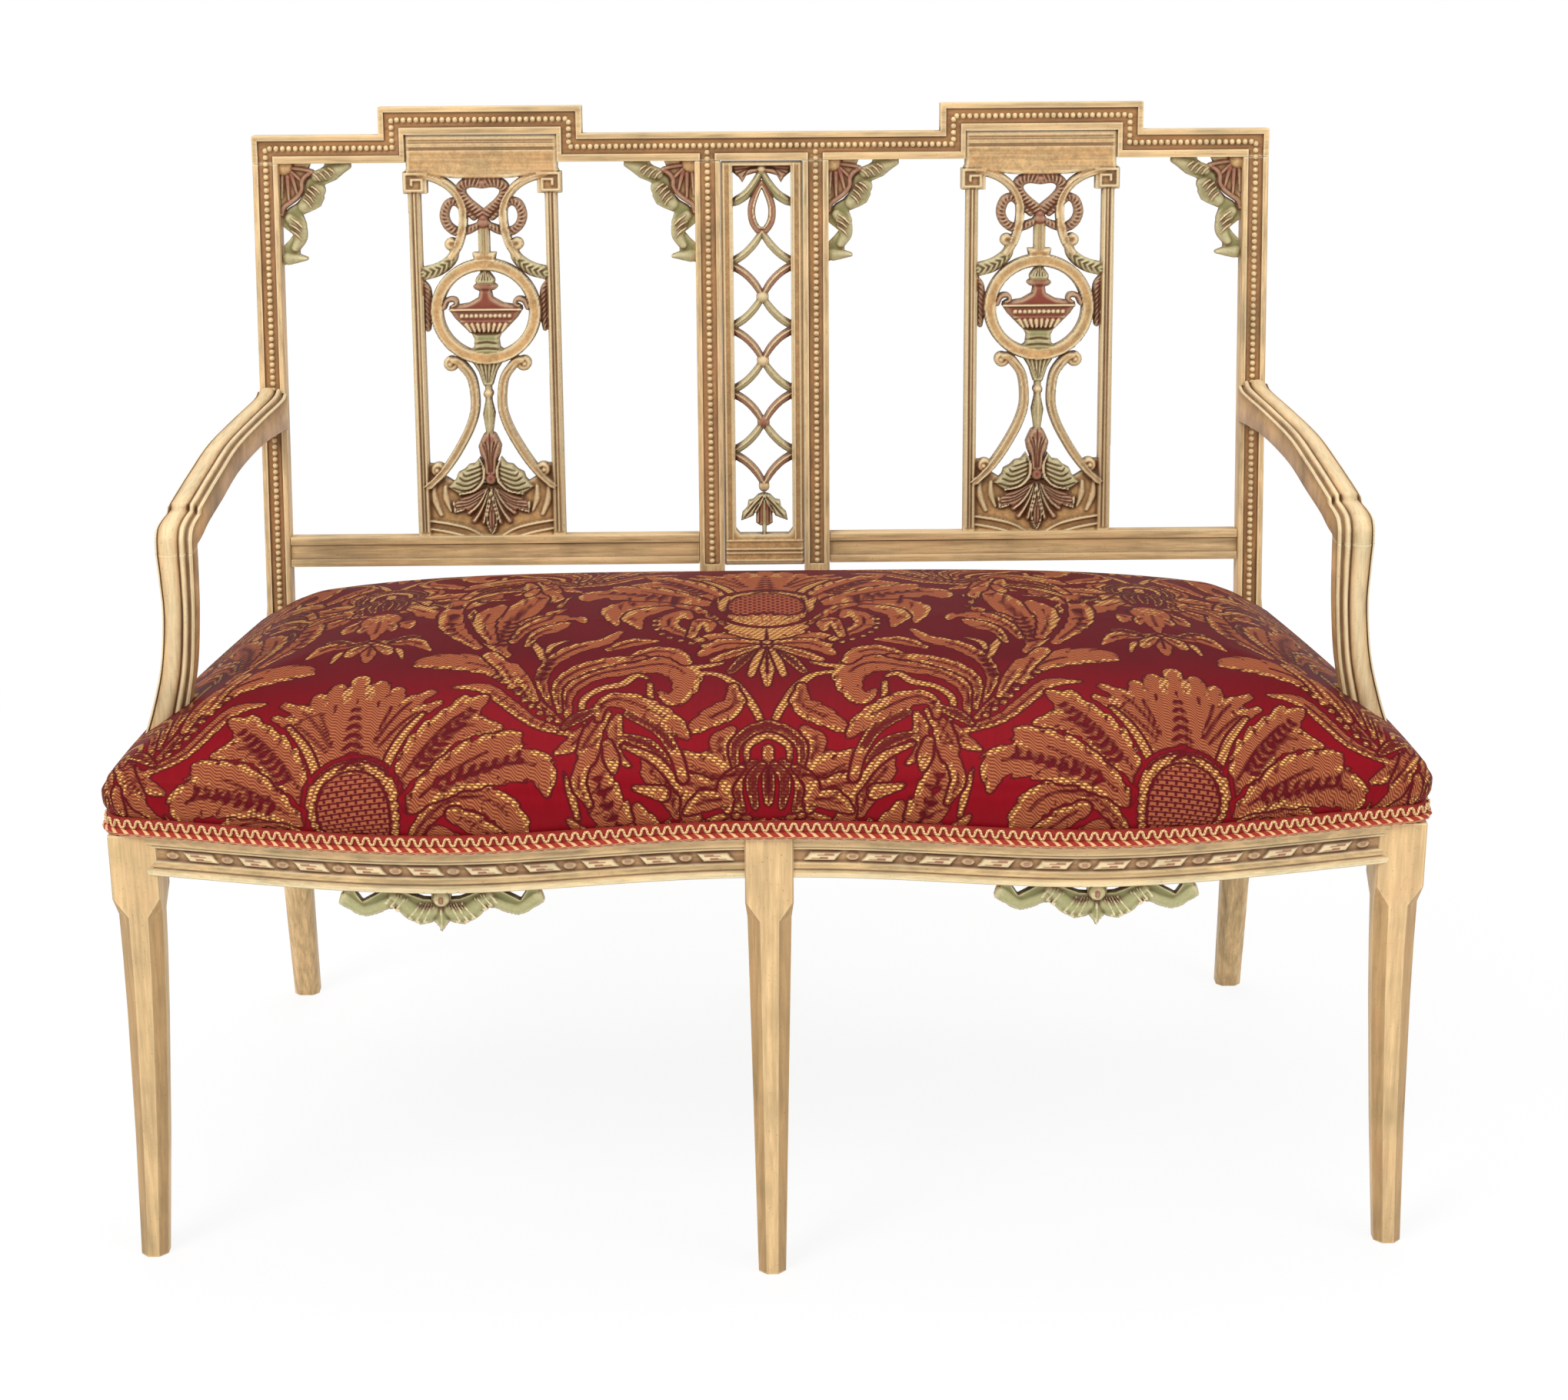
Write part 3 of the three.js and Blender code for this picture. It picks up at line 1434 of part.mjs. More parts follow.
  // Arm, support and the screw from behind the post
  let armBody = arm(side);
  let support = armSupport(side);
  const headX = side * (postX(ARM_TOP) + ELBOW_OUT);
  const headTenon = (grow) => boxAt(
      headX,
      SUPPORT_Y,
      ELBOW_BOTTOM + ARM_TENON_LENGTH / 3,
      ARM_TENON_WIDTH,
      ARM_TENON_WIDTH,
      (4 / 3) * ARM_TENON_LENGTH,
      grow,
    );
  const footTenon = (grow) =>
    boxAt(
      side * (sideX(SUPPORT_Y) - RAIL_THICKNESS / 2 - TACK_SETBACK / 2),
      SUPPORT_Y,
      TACK_TOP - 0.4 * FOOT_TENON_LENGTH,
      FOOT_TENON_WIDTH,
      FOOT_TENON_DEPTH,
      1.2 * FOOT_TENON_LENGTH,
      grow,
    );
  support = join(support, headTenon(0), footTenon(0));
  armBody = cut(armBody, headTenon(GAP));
  sideways = cut(sideways, footTenon(GAP));

  const screwZ = ARM_TOP - ARM_MIDDLE_DROP;
  const forward = new THREE.Vector3(0, -1, 0);
  const screwStart = new THREE.Vector3(side * postX(screwZ), backY(screwZ) + MEMBER_DEPTH - SCREW_SINK, screwZ);
  frame[`arm_screw_${name}`] = screwAlong(screwStart, forward, ARM_SCREW_LENGTH);
  const screwRoom = screwAlong(screwStart, forward, ARM_SCREW_LENGTH, GAP);
  armBody = cut(armBody, screwRoom);
  post = cut(post, screwRoom);

  frame[`front_rail_${name}`] = front;
  frame[`side_rail_${name}`] = sideways;
  frame[`back_post_${name}`] = post;
  frame[`corner_block_front_${name}`] = frontBlock;
  frame[`corner_block_rear_${name}`] = rearBlock;
  frame[`arm_${name}`] = armBody;
  frame[`arm_support_${name}`] = support;
  addPiece(`apron_bow_${name}`, apronBow(side * STEP_X), PAINT);
}

// Assembly of the back, in its own leaned group

const openBack = new THREE.Matrix4().copy(back.matrix).invert();
const backPieces = {};
const backFrom = up(LOWER_RAIL_BOTTOM);
const crestFrom = up(CREST_BOTTOM);

// The crest has a peg into every post and center stile.
const CREST_PEG = 14;
const crestPeg = (x, grow) =>
  boxAt(x, MEMBER_DEPTH / 2 + ROOT, crestFrom - CREST_PEG / 2 + ROOT, CREST_PEG, TENON_THICKNESS, CREST_PEG, grow);
const pegPlaces = SIDES.flatMap(([, side]) => [side * postX(CREST_BOTTOM), side * STILE_X]);
backPieces.crest_rail = join(
  cut(slab(outline(crestOutline()), 0, MEMBER_DEPTH), crestChannel()),
  ...pegPlaces.map((x) => crestPeg(x, 0)),
);

// Center stiles stand on the rear seat rail, where a level foot is cut to meet it.
const centerStile = (side) => {
  const [inner, outer] = [STILE_X - MEMBER_WIDTH / 2, STILE_X + MEMBER_WIDTH / 2];
  const body = box(side * inner, side * outer, 0, MEMBER_DEPTH, up(RAIL_TOP) - 60, crestFrom - GAP);
  const channel = box(
    side * (outer - channelFrom),
    side * (outer - channelTo),
    -PAST,
    CHANNEL_DEPTH,
    backFrom,
    crestFrom + PAST,
  );
  const under = moved(box(-CORNER_X, CORNER_X, 0, 2 * SEAT_DEPTH, 0, RAIL_TOP + GAP), openBack);
  return cut(body, channel, under, crestPeg(side * STILE_X, GAP));
};

const lowerBackRail = (side) => {
  const post = (z) => side * (postX(z) - MEMBER_WIDTH / 2 - GAP);
  const stile = side * (STILE_X + MEMBER_WIDTH / 2 + GAP);
  const top = LOWER_RAIL_TOP;
  const bottom = LOWER_RAIL_BOTTOM;
  const bar = slab(
    outline([
      [stile, up(bottom)],
      [post(bottom), up(bottom)],
      [post(top), up(top)],
      [stile, up(top)],
    ]),
    (MEMBER_DEPTH - LOWER_RAIL_DEPTH) / 2,
    (MEMBER_DEPTH + LOWER_RAIL_DEPTH) / 2,
  );
  const panel = box(
    stile,
    side * postX(bottom),
    -PAST,
    (MEMBER_DEPTH - LOWER_RAIL_DEPTH) / 2 + RAIL_RECESS,
    up(bottom + RAIL_FILLET),
    up(top - RAIL_FILLET),
  );
  return cut(bar, panel);
};

const lowerTenon = (x, side, grow) =>
  boxAt(
    x + side * (TENON_SHOULDER / 2 - ROOT),
    MEMBER_DEPTH / 2 + ROOT,
    up((LOWER_RAIL_BOTTOM + LOWER_RAIL_TOP) / 2),
    TENON_SHOULDER + 2 * ROOT,
    TENON_THICKNESS,
    LOWER_RAIL_HEIGHT - 2 * TENON_SHOULDER,
    grow,
  );

for (const [name, side] of SIDES) {
  const postEdge = side * (postX((LOWER_RAIL_BOTTOM + LOWER_RAIL_TOP) / 2) - MEMBER_WIDTH / 2);
  const stileEdge = side * (STILE_X + MEMBER_WIDTH / 2);
  const tenons = (grow) => [lowerTenon(postEdge, side, grow), lowerTenon(stileEdge, -side, grow)];
  const inPost = [...tenons(GAP), crestPeg(side * postX(CREST_BOTTOM), GAP)];
  frame[`back_post_${name}`] = cut(frame[`back_post_${name}`], ...inPost.map((tool) => moved(tool, back.matrix)));
  backPieces[`center_stile_${name}`] = cut(centerStile(side), ...tenons(GAP));
  backPieces[`lower_back_rail_${name}`] = join(lowerBackRail(side), ...tenons(0));
  backPieces[`splat_${name}`] = splat(side * STEP_X);
  const postInner = postX(CREST_BOTTOM) - MEMBER_WIDTH / 2;
  const stileOuter = STILE_X + MEMBER_WIDTH / 2;
  backPieces[`corner_bracket_outer_${name}`] = cornerBracket(side * postInner, -side);
  backPieces[`corner_bracket_inner_${name}`] = cornerBracket(side * stileOuter, side);
}
backPieces.lattice_panel = latticePanel();

// Upholstery, notched round the arm supports

const NOTCH_EASE = 1.5;

const coverNotch = (side) => {
  const beyond = CORNER_X + 60;
  return loft(
    supportStations.map(({ x, y, z, width, depth }, i) => {
      const inner = x - width / 2 - NOTCH_EASE;
      const [front, rear] = [y - depth / 2 - NOTCH_EASE, y + depth / 2 + NOTCH_EASE];
      const level = i === 0 ? z - GAP / 2 : z;
      return [
        [inner, front],
        [beyond, front],
        [beyond, rear],
        [inner, rear],
      ].map(([u, v]) => new THREE.Vector3(side * u, v, level));
    }),
  );
};
const notches = SIDES.map(([, side]) => coverNotch(side));

for (const [name, body] of Object.entries(frame)) {
  const raw = /block_front|block_rear|brace/.test(name) && !name.includes('screw');
  addPiece(name, body, name.includes('screw') ? STEEL : raw ? RAW_WOOD : PAINT);
}
for (const [name, body] of Object.entries(backPieces)) addPiece(name, body, PAINT, back);

addPiece('seat_cover', cut(seatCover(), ...notches), FABRIC);
addPiece('seat_padding', cut(seatPadding(), ...notches), LINEN);
addPiece('seat_burlap', cut(burlap(), ...notches), LINEN);
addPiece('gimp_braid', gimpBraid(), BRAID);
addPiece('seat_webbing', seatWebbing(), LINEN);
addPiece('dust_cover', dustCover(), LINEN);
springPlaces.forEach(([x, y], i) => addPiece(`seat_spring_${i + 1}`, seatSpring(x, y), STEEL));

// The finished settee stands on the floor with its middle over the origin.
settee.updateMatrixWorld(true);
const bounds = new THREE.Box3().setFromObject(settee);
settee.position.y = -(bounds.min.y + bounds.max.y) / 2;

export default settee;
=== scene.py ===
"""A carved and painted settee with a double chair back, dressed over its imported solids.

Lengths are drawn in millimetres, in the settee's drawing frame: x to the viewer's right, y to the back from
the face of the front seat rail at the center line, z up from the floor. The record's frame is the same, moved
along y.
"""

import math
from contextlib import contextmanager

import bmesh
import bpy
import numpy as np
from mathutils import Matrix, Vector


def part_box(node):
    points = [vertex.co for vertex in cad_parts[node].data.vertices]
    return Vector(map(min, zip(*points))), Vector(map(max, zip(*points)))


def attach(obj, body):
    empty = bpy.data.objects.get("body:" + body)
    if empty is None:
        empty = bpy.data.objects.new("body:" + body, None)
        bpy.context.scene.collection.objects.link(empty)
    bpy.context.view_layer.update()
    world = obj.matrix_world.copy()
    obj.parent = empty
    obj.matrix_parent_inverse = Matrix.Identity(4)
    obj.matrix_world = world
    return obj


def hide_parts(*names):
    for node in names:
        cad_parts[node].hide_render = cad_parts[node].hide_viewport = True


bl_info = {
    "name": "Double chair back settee",
    "version": (1, 0, 0),
    "blender": (4, 5, 0),
    "location": "View3D > Sidebar > Settee",
    "description": "Carved, painted and upholstered pieces of a double chair back settee",
    "category": "Object",
}

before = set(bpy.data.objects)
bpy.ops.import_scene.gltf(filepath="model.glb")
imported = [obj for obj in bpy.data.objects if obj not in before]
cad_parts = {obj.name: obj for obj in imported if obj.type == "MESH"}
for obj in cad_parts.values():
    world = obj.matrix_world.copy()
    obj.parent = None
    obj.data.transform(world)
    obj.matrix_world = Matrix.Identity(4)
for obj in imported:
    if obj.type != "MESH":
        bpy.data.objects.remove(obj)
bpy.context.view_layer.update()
MM = 0.001

# Faces that turn by more than this meet in a sharp edge
SHARP = math.radians(32)

# Drawing frame to record frame, along y
DRAWN_Y = -290.357

# Seat plan
SEAT_DEPTH, CORNER_X, CORNER_BACK, CORNER_RADIUS, REAR_X = 535.6, 557.0, 26.0, 20.0, 502.0
SIDE_CURVE, BOW_X, BOW_OUT, BOW_LEAN, CORNER_SLOPE = 1.45, 267.0, 28.5, 1.15, 0.2
UNDER_RAIL, RAIL_TOP, TACK_TOP, RAIL_THICKNESS = 368.0, 403.5, 420.0, 32.0

# Raked back
RAKE = math.radians(5.45)
CREST_BOTTOM, CREST_TOP, STEP_TOP = 888.0, 915.0, 941.5
MEMBER = 25.0
POST_FLOOR, POST_CREST = 497.0, 484.0
STILE_X, STEP_X, STEP_HALF, STEP_WALL = 53.0, 274.0, 99.0, 24.5
CHANNEL_FROM, CHANNEL_TO, CHANNEL_DEPTH = 5.5, 20.0, 2.5
BACK_Y = SEAT_DEPTH - RAIL_TOP * math.tan(RAKE)

# Arms
ARM_TOP = RAIL_TOP + 264.0
SUPPORT_Y, SUPPORT_DEPTH = 134.0, 30.0
ELBOW_BOTTOM = ARM_TOP - 48.0


def up(z):
    """Height above the floor as a length up the raked back."""
    return z / math.cos(RAKE)


def back_y(z):
    """Front plane of the back at a height above the floor."""
    return BACK_Y + z * math.tan(RAKE)


def post_x(z):
    """Middle of a post at a height. The posts lean in a little as they rise."""
    return POST_FLOOR + (POST_CREST - POST_FLOOR) * z / CREST_TOP


def on_back(points):
    """Points (x, depth behind the back's front plane, length up it) in the drawing frame."""
    p = np.asarray(points, float)
    c, s = math.cos(RAKE), math.sin(RAKE)
    return np.stack([p[..., 0], BACK_Y + p[..., 2] * s + p[..., 1] * c, p[..., 2] * c - p[..., 1] * s], -1)


def face_y(x):
    """Face of the front seat rail."""
    a = np.abs(np.asarray(x, float))
    s = np.clip((a / BOW_X) ** BOW_LEAN, 0, 1)
    run = CORNER_X - BOW_X
    t = (a - BOW_X) / run
    outer = (BOW_OUT + CORNER_BACK) * t * t * (3 - 2 * t) - BOW_OUT + (t**3 - t**2) * CORNER_SLOPE * run
    return np.where(a < BOW_X, -BOW_OUT * s * s * (3 - 2 * s), outer)


def side_x(y):
    """Face of a side seat rail."""
    t = np.clip((np.asarray(y, float) - CORNER_BACK) / (SEAT_DEPTH - CORNER_BACK), 0, 1)
    return CORNER_X - (CORNER_X - REAR_X) * t**SIDE_CURVE


# Curves and tables


def spline(points, steps=8, closed=False):
    """A smooth line through the points, with so many steps between each two."""
    p = np.asarray(points, float)
    if closed:
        q = np.vstack([p[-1:], p, p[:2]])
    else:
        q = np.vstack([2 * p[:1] - p[1:2], p, 2 * p[-1:] - p[-2:-1]])
    t = np.linspace(0, 1, steps, endpoint=False)[:, None]
    parts = []
    for a, b, c, d in zip(q[:-3], q[1:-2], q[2:-1], q[3:]):
        curve = (2 * a - 5 * b + 4 * c - d) * t**2 + (3 * b - a - 3 * c + d) * t**3
        parts.append(0.5 * (2 * b + (c - a) * t + curve))
    if not closed:
        parts.append(p[-1:])
    return np.vstack(parts)


def eased(keys, rows, at):
    """Rows of a table at other keys, smooth and with no overshoot."""
    keys, rows = np.asarray(keys, float), np.asarray(rows, float)
    gap = np.diff(keys)[:, None]
    slope = np.diff(rows, axis=0) / gap
    same = slope[:-1] * slope[1:] > 0
    mean = np.where(same, 2 * slope[:-1] * slope[1:] / np.where(same, slope[:-1] + slope[1:], 1), 0)
    m = np.vstack([slope[:1], mean, slope[-1:]])
    i = np.clip(np.searchsorted(keys, at, side="right") - 1, 0, len(keys) - 2)
    t = ((np.asarray(at) - keys[i]) / gap[i, 0])[:, None]
    h = gap[i]
    return (
        (2 * t**3 - 3 * t**2 + 1) * rows[i]
        + (t**3 - 2 * t**2 + t) * h * m[i]
        + (3 * t**2 - 2 * t**3) * rows[i + 1]
        + (t**3 - t**2) * h * m[i + 1]
    )


def evenly(line, count, closed=False):
    """So many points at even distances along a line."""
    p = np.asarray(line, float)
    if closed:
        p = np.vstack([p, p[:1]])
    s = np.r_[0, np.cumsum(np.linalg.norm(np.diff(p, axis=0), axis=1))]
    at = np.linspace(0, s[-1], count, endpoint=not closed)
    return np.stack([np.interp(at, s, p[:, k]) for k in range(p.shape[1])], -1)


# Meshes


def piece(name, points, faces, finish, tints=None, smooth=True, drawn=True):
    """A mesh object in the record's frame. faces is a list of index arrays, with a column for each corner."""
    p = np.asarray(points, float).reshape(-1, 3).copy()
    if drawn:
        p[:, 1] += DRAWN_Y
        p *= MM
    faces = [np.asarray(f, np.int32) for f in faces if len(f)]
    mesh = bpy.data.meshes.new(name)
    mesh.vertices.add(len(p))
    mesh.vertices.foreach_set("co", p.astype(np.float32).ravel())
    total = sum(len(f) for f in faces)
    sizes = np.concatenate([np.full(len(f), f.shape[1], np.int32) for f in faces])
    loops = np.concatenate([f.ravel() for f in faces])
    mesh.loops.add(len(loops))
    mesh.loops.foreach_set("vertex_index", loops)
    mesh.polygons.add(total)
    mesh.polygons.foreach_set("loop_start", np.r_[0, np.cumsum(sizes)[:-1]].astype(np.int32))
    mesh.polygons.foreach_set("use_smooth", np.full(total, smooth))
    mesh.update(calc_edges=True)
    mesh.validate()
    for key, values in (tints or {}).items():
        tint(mesh, key, values)
    mesh.materials.append(finish)
    return placed(name, mesh)


def tint(mesh, key, values):
    """Holds a mark at every point of a mesh, for its finish to read."""
    values = np.asarray(values, np.float32)
    attribute = mesh.attributes.new(key, "FLOAT" if values.ndim == 1 else "FLOAT_VECTOR", "POINT")
    attribute.data.foreach_set("value" if values.ndim == 1 else "vector", values.ravel())


def grid_faces(rows, columns):
    """Quads between rings of points."""
    i, j = np.meshgrid(np.arange(rows - 1), np.arange(columns), indexing="ij")
    k = (j + 1) % columns
    a = i * columns
    return np.stack([a + j, a + k, a + columns + k, a + columns + j], -1).reshape(-1, 4)


@contextmanager
def edited(mesh):
    """A mesh opened for editing, and written back at the end."""
    bm = bmesh.new()
    bm.from_mesh(mesh)
    yield bm
    bm.to_mesh(mesh)
    bm.free()


def outward(obj, close=False):
    """Turns a mesh's faces outwards. close first joins points that lie together and fills what is open."""
    with edited(obj.data) as bm:
        if close:
            bmesh.ops.remove_doubles(bm, verts=bm.verts, dist=0.05 * MM)
            bmesh.ops.holes_fill(bm, edges=[e for e in bm.edges if e.is_boundary], sides=0)
        bmesh.ops.recalc_face_normals(bm, faces=bm.faces)
    return obj


def loft(name, rings, finish, tints=None):
    """A closed skin through rings of equally many points, closed at both ends by a fan."""
    r = np.asarray(rings, float)
    rows, columns = r.shape[:2]
    p = np.vstack([r.reshape(-1, 3), r[0].mean(0), r[-1].mean(0)])
    j = np.arange(columns)
    k = (j + 1) % columns
    first, last = rows * columns, rows * columns + 1
    end = (rows - 1) * columns
    caps = np.vstack([
        np.stack([k, j, np.full(columns, first)], -1),
        np.stack([j + end, k + end, np.full(columns, last)], -1),
    ])
    full = {}
    for key, values in (tints or {}).items():
        v = np.broadcast_to(np.asarray(values, float), (rows, columns)).ravel()
        full[key] = np.r_[v, v[:columns].mean(), v[-columns:].mean()]
    return outward(piece(name, p, [grid_faces(rows, columns), caps], finish, full))


def settled(obj, node=None):
    """Hangs a finished piece on the root body and hides the imported solid it stands for."""
    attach(obj, "root")
    if node:
        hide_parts(node)
    return obj


def applied(obj):
    """The object with its modifiers made part of its mesh."""
    graph = bpy.context.evaluated_depsgraph_get()
    whole = obj.evaluated_get(graph)
    made = bpy.data.meshes.new_from_object(whole, preserve_all_data_layers=True, depsgraph=graph)
    obj.modifiers.clear()
    obj.data = made
    return obj


def placed(name, mesh):
    """A new object in the scene."""
    obj = bpy.data.objects.new(name, mesh)
    bpy.context.scene.collection.objects.link(obj)
    return obj


def merged_copy(node, name):
    """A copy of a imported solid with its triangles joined, its flat faces whole and its faces outwards."""
    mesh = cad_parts[node].data.copy()
    mesh.name = name
    with edited(mesh) as bm:
        bmesh.ops.remove_doubles(bm, verts=bm.verts, dist=2e-6)
        bmesh.ops.dissolve_limit(bm, angle_limit=math.radians(0.5), verts=bm.verts, edges=bm.edges)
        bmesh.ops.recalc_face_normals(bm, faces=bm.faces)
    return placed(name, mesh)


def eased_copy(node, name, finish, width=1.0, segments=2, angle=28):
    """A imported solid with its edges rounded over."""
    obj = merged_copy(node, name)
    bevel = obj.modifiers.new("Edges", "BEVEL")
    bevel.width = width * MM
    bevel.segments = segments
    bevel.limit_method = "ANGLE"
    bevel.angle_limit = math.radians(angle)
    bevel.harden_normals = False
    bevel.use_clamp_overlap = True
    applied(obj)
    obj.data.materials.clear()
    obj.data.materials.append(finish)
    for p in obj.data.polygons:
        p.use_smooth = True
    with_sharp(obj)
    return obj


def with_sharp(obj):
    """Sharp edges where the faces turn by more than an angle."""
    with edited(obj.data) as bm:
        for e in bm.edges:
            e.smooth = len(e.link_faces) == 2 and e.calc_face_angle(0) < SHARP


# Carving: wood drawn on a fine grid, with its edge, its height, its glazes, and its pale and dark marks of
# wear and glaze that also hold painted highlight and painted shade

# Steps between two drawn points of a smooth line, and how nearly a strip is cut to a full half circle
CURVE_STEPS, ROUNDING = 6, 0.96


def mirrored(points, side):
    """Points drawn on the right, as they are or, for a side of -1, as their mirror images."""
    return [(side * x, z) for x, z in points]


def whole(points):
    """A closed outline from its right half. Points on the axis aren't doubled."""
    return points + [(-x, z) for x, z in points[::-1] if x]


class Carving:
    """A carved relief. inside is the distance to the edge of the wood, height the rise over the back face."""

    def __init__(self, x0, x1, z0, z1, step):
        nx, nz = int((x1 - x0) / step) + 2, int((z1 - z0) / step) + 2
        self.step, self.x0, self.z0 = step, x0, z0
        self.x, self.z = np.meshgrid(x0 + np.arange(nx) * step, z0 + np.arange(nz) * step)
        self.inside = np.full(self.x.shape, -step * 2.0)
        self.height = np.zeros(self.x.shape)
        self.tones = {key: np.zeros(self.x.shape) for key in ("red", "green", "light", "dark")}

    def window(self, points, reach):
        """The part of the grid about some points."""
        p = np.asarray(points, float)
        corners = np.stack([p.min(0) - reach, p.max(0) + reach + 2 * self.step])
        cells = np.clip((corners - (self.x0, self.z0)) / self.step, 0, self.x.shape[::-1]).astype(int)
        return np.s_[cells[0, 1] : cells[1, 1], cells[0, 0] : cells[1, 0]]

    def lay(self, part, d, height, glaze=None, light=0.0, dark=0.0):
        """Adds a shape of signed distance d. Where it is the highest it takes the glaze."""
        if not d.size:
            return
        self.inside[part] = np.maximum(self.inside[part], d)
        higher = (d > 0) & (height > self.height[part])
        self.height[part] = np.where(higher, height, self.height[part])
        for key, value in {"red": 0.0, "green": 0.0, "light": light, "dark": dark}.items():
            layer = self.tones[key]
            layer[part] = np.where(higher, 1.0 if glaze == key else value, layer[part])

    def hole(self, points):
        """Cuts an outline out of the wood."""
        part = self.window(points, 3)
        d = polygon_distance(self.x[part], self.z[part], points)
        self.inside[part] = np.minimum(self.inside[part], -d)

    def both(self, method, points, *rest, veins=(), **more):
        """The same stroke, shape or hole on the left and on the right."""
        for side in (-1, 1):
            if veins:
                more["veins"] = [(mirrored(line, side), *sizes) for line, *sizes in veins]
            getattr(self, method)(mirrored(points, side), *rest, **more)

    def stroke(self, points, width, base, rise, glaze=None, ribs=None, flat=0.0, smooth=True, worn=0.0):
        """A rounded strip along a line. width is one number or one per point; ribs is (pitch, depth, slant).

        Ribs of a positive slant all lean one way, and those of a negative slant are arrowheads. worn rubs the
        middle pale, as wear and painted highlight, or below 0 leaves it dark.
        """
        p = spline(points, CURVE_STEPS) if smooth and len(points) > 2 else np.asarray(points, float)
        w = np.broadcast_to(np.asarray(width, float), (len(points),))
        w = np.interp(np.linspace(0, 1, len(p)), np.linspace(0, 1, len(points)), w) / 2
        part = self.window(p, w.max() + 1)
        x, z = self.x[part], self.z[part]
        if not x.size:
            return
        best, radius, along, offset = nearest(x, z, p, w)
        d = radius - best
        q = np.clip(best / np.maximum(radius, 0.3), 0, 1)
        q = np.clip((q - flat) / (1 - flat), 0, 1)
        height = base + rise * np.sqrt(1 - q * q * ROUNDING)
        light, dark = max(worn, 0.0) * (1 - q), max(-worn, 0.0) * (1 - q)
        if ribs:
            pitch, depth, slant = ribs
            lean = offset * np.sign(p[:, 0].mean()) if slant > 0 else np.abs(offset)
            groove = 0.5 - 0.5 * np.cos(2 * np.pi * (along + slant * lean) / pitch)
            height = height - depth * groove * (1 - 0.6 * q)
            # Rib tops pale and grooves dark: wear and glaze, with painted highlight and painted shade
            light, dark = np.clip(0.55 - 1.8 * groove, 0, 1), np.clip(1.8 * groove - 0.6, 0, 1)
        self.lay(part, d, height, glaze, light, dark)

    def shape(self, points, base, rise, edge=3.0, glaze=None, smooth=False, veins=()):
        """A cushioned shape inside an outline. Each vein sunk into it is (line, width, depth)."""
        p = spline(points, CURVE_STEPS, closed=True) if smooth else np.asarray(points, float)
        part = self.window(p, 2)
        x, z = self.x[part], self.z[part]
        if not x.size:
            return
        d = polygon_distance(x, z, p)
        q = np.clip(d / edge, 0, 1)
        height = base + rise * np.sqrt(1 - (1 - q) ** 2)
        light = dark = np.zeros(x.shape)
        for line, width, depth in veins:
            v = line_distance(x, z, spline(line, 5) if len(line) > 2 else np.asarray(line, float))
            # Each vein is dark and its lips pale: glaze and wear, with painted shade and painted highlight
            height = height - depth * np.exp(-((v / width) ** 2))
            dark = np.maximum(dark, np.exp(-((v / width) ** 2)))
            light = np.maximum(light, np.exp(-(((v - 2.1 * width) / width) ** 2)) * 0.7)
        self.lay(part, d, height, glaze, light, dark)

    def round(self, x, z, rx, rz, base, rise, glaze=None, hollow=0.0):
        """A round boss, dished in its middle if it has a hollow."""
        part = self.window([(x - rx, z - rz), (x + rx, z + rz)], 1)
        q = np.hypot((self.x[part] - x) / rx, (self.z[part] - z) / rz)
        d = (1 - q) * min(rx, rz)
        height = base + rise * np.sqrt(np.clip(1 - q * q, 0, 1)) - hollow * np.exp(-((q / 0.45) ** 2))
        self.lay(part, d, height, glaze)

    def band(self, x, z, rx, rz, width, base, rise, flat=0.0):
        """A ring of one width, rounded across."""
        part = self.window([(x - rx, z - rz), (x + rx, z + rz)], 1)
        angle = np.arctan2((self.z[part] - z) / rz, (self.x[part] - x) / rx)
        edge = np.hypot(rx * np.cos(angle), rz * np.sin(angle))
        from_edge = edge - np.hypot(self.x[part] - x, self.z[part] - z)
        d = np.minimum(from_edge, width - from_edge)
        q = np.clip((1 - d / (width / 2) - flat) / (1 - flat), 0, 1)
        self.lay(part, d, base + rise * np.sqrt(1 - q * q * ROUNDING))

    def brushed(self, x_half, z_range, count, seed):
        """Long soft brush marks that run across."""
        rng = np.random.default_rng(seed)
        for k in range(count):
            ranges = ((-x_half, x_half), z_range, (14, 50), (0.7, 1.6))
            x, z, long, thick = (rng.uniform(*between) for between in ranges)
            mark = np.exp(-(((self.x - x) / long) ** 2) - ((self.z - z) / thick) ** 2)
            layer = self.tones["light" if k % 2 else "dark"]
            np.maximum(layer, rng.uniform(0.25, 0.6) * mark * (np.abs(self.x) < x_half), out=layer)


def nearest(x, z, p, r=None):
    """Distance to a line of some radius, with the radius, the run and the side at the nearest place on it."""
    r = np.zeros(len(p)) if r is None else r
    best, radius, along, offset = (np.full(x.shape, value) for value in (1e9, 1.0, 0.0, 0.0))
    run = 0.0
    for a, b, ra, rb in zip(p[:-1], p[1:], r[:-1], r[1:]):
        d = b - a
        length = math.hypot(*d) + 1e-9
        t = np.clip(((x - a[0]) * d[0] + (z - a[1]) * d[1]) / length**2, 0, 1)
        ex, ez = x - a[0] - t * d[0], z - a[1] - t * d[1]
        distance, here = np.hypot(ex, ez), ra + (rb - ra) * t
        near = distance - here < best - radius
        best, radius = np.where(near, distance, best), np.where(near, here, radius)
        along = np.where(near, run + t * length, along)
        offset = np.where(near, (d[0] * ez - d[1] * ex) / length, offset)
        run += length
    return best, radius, along, offset


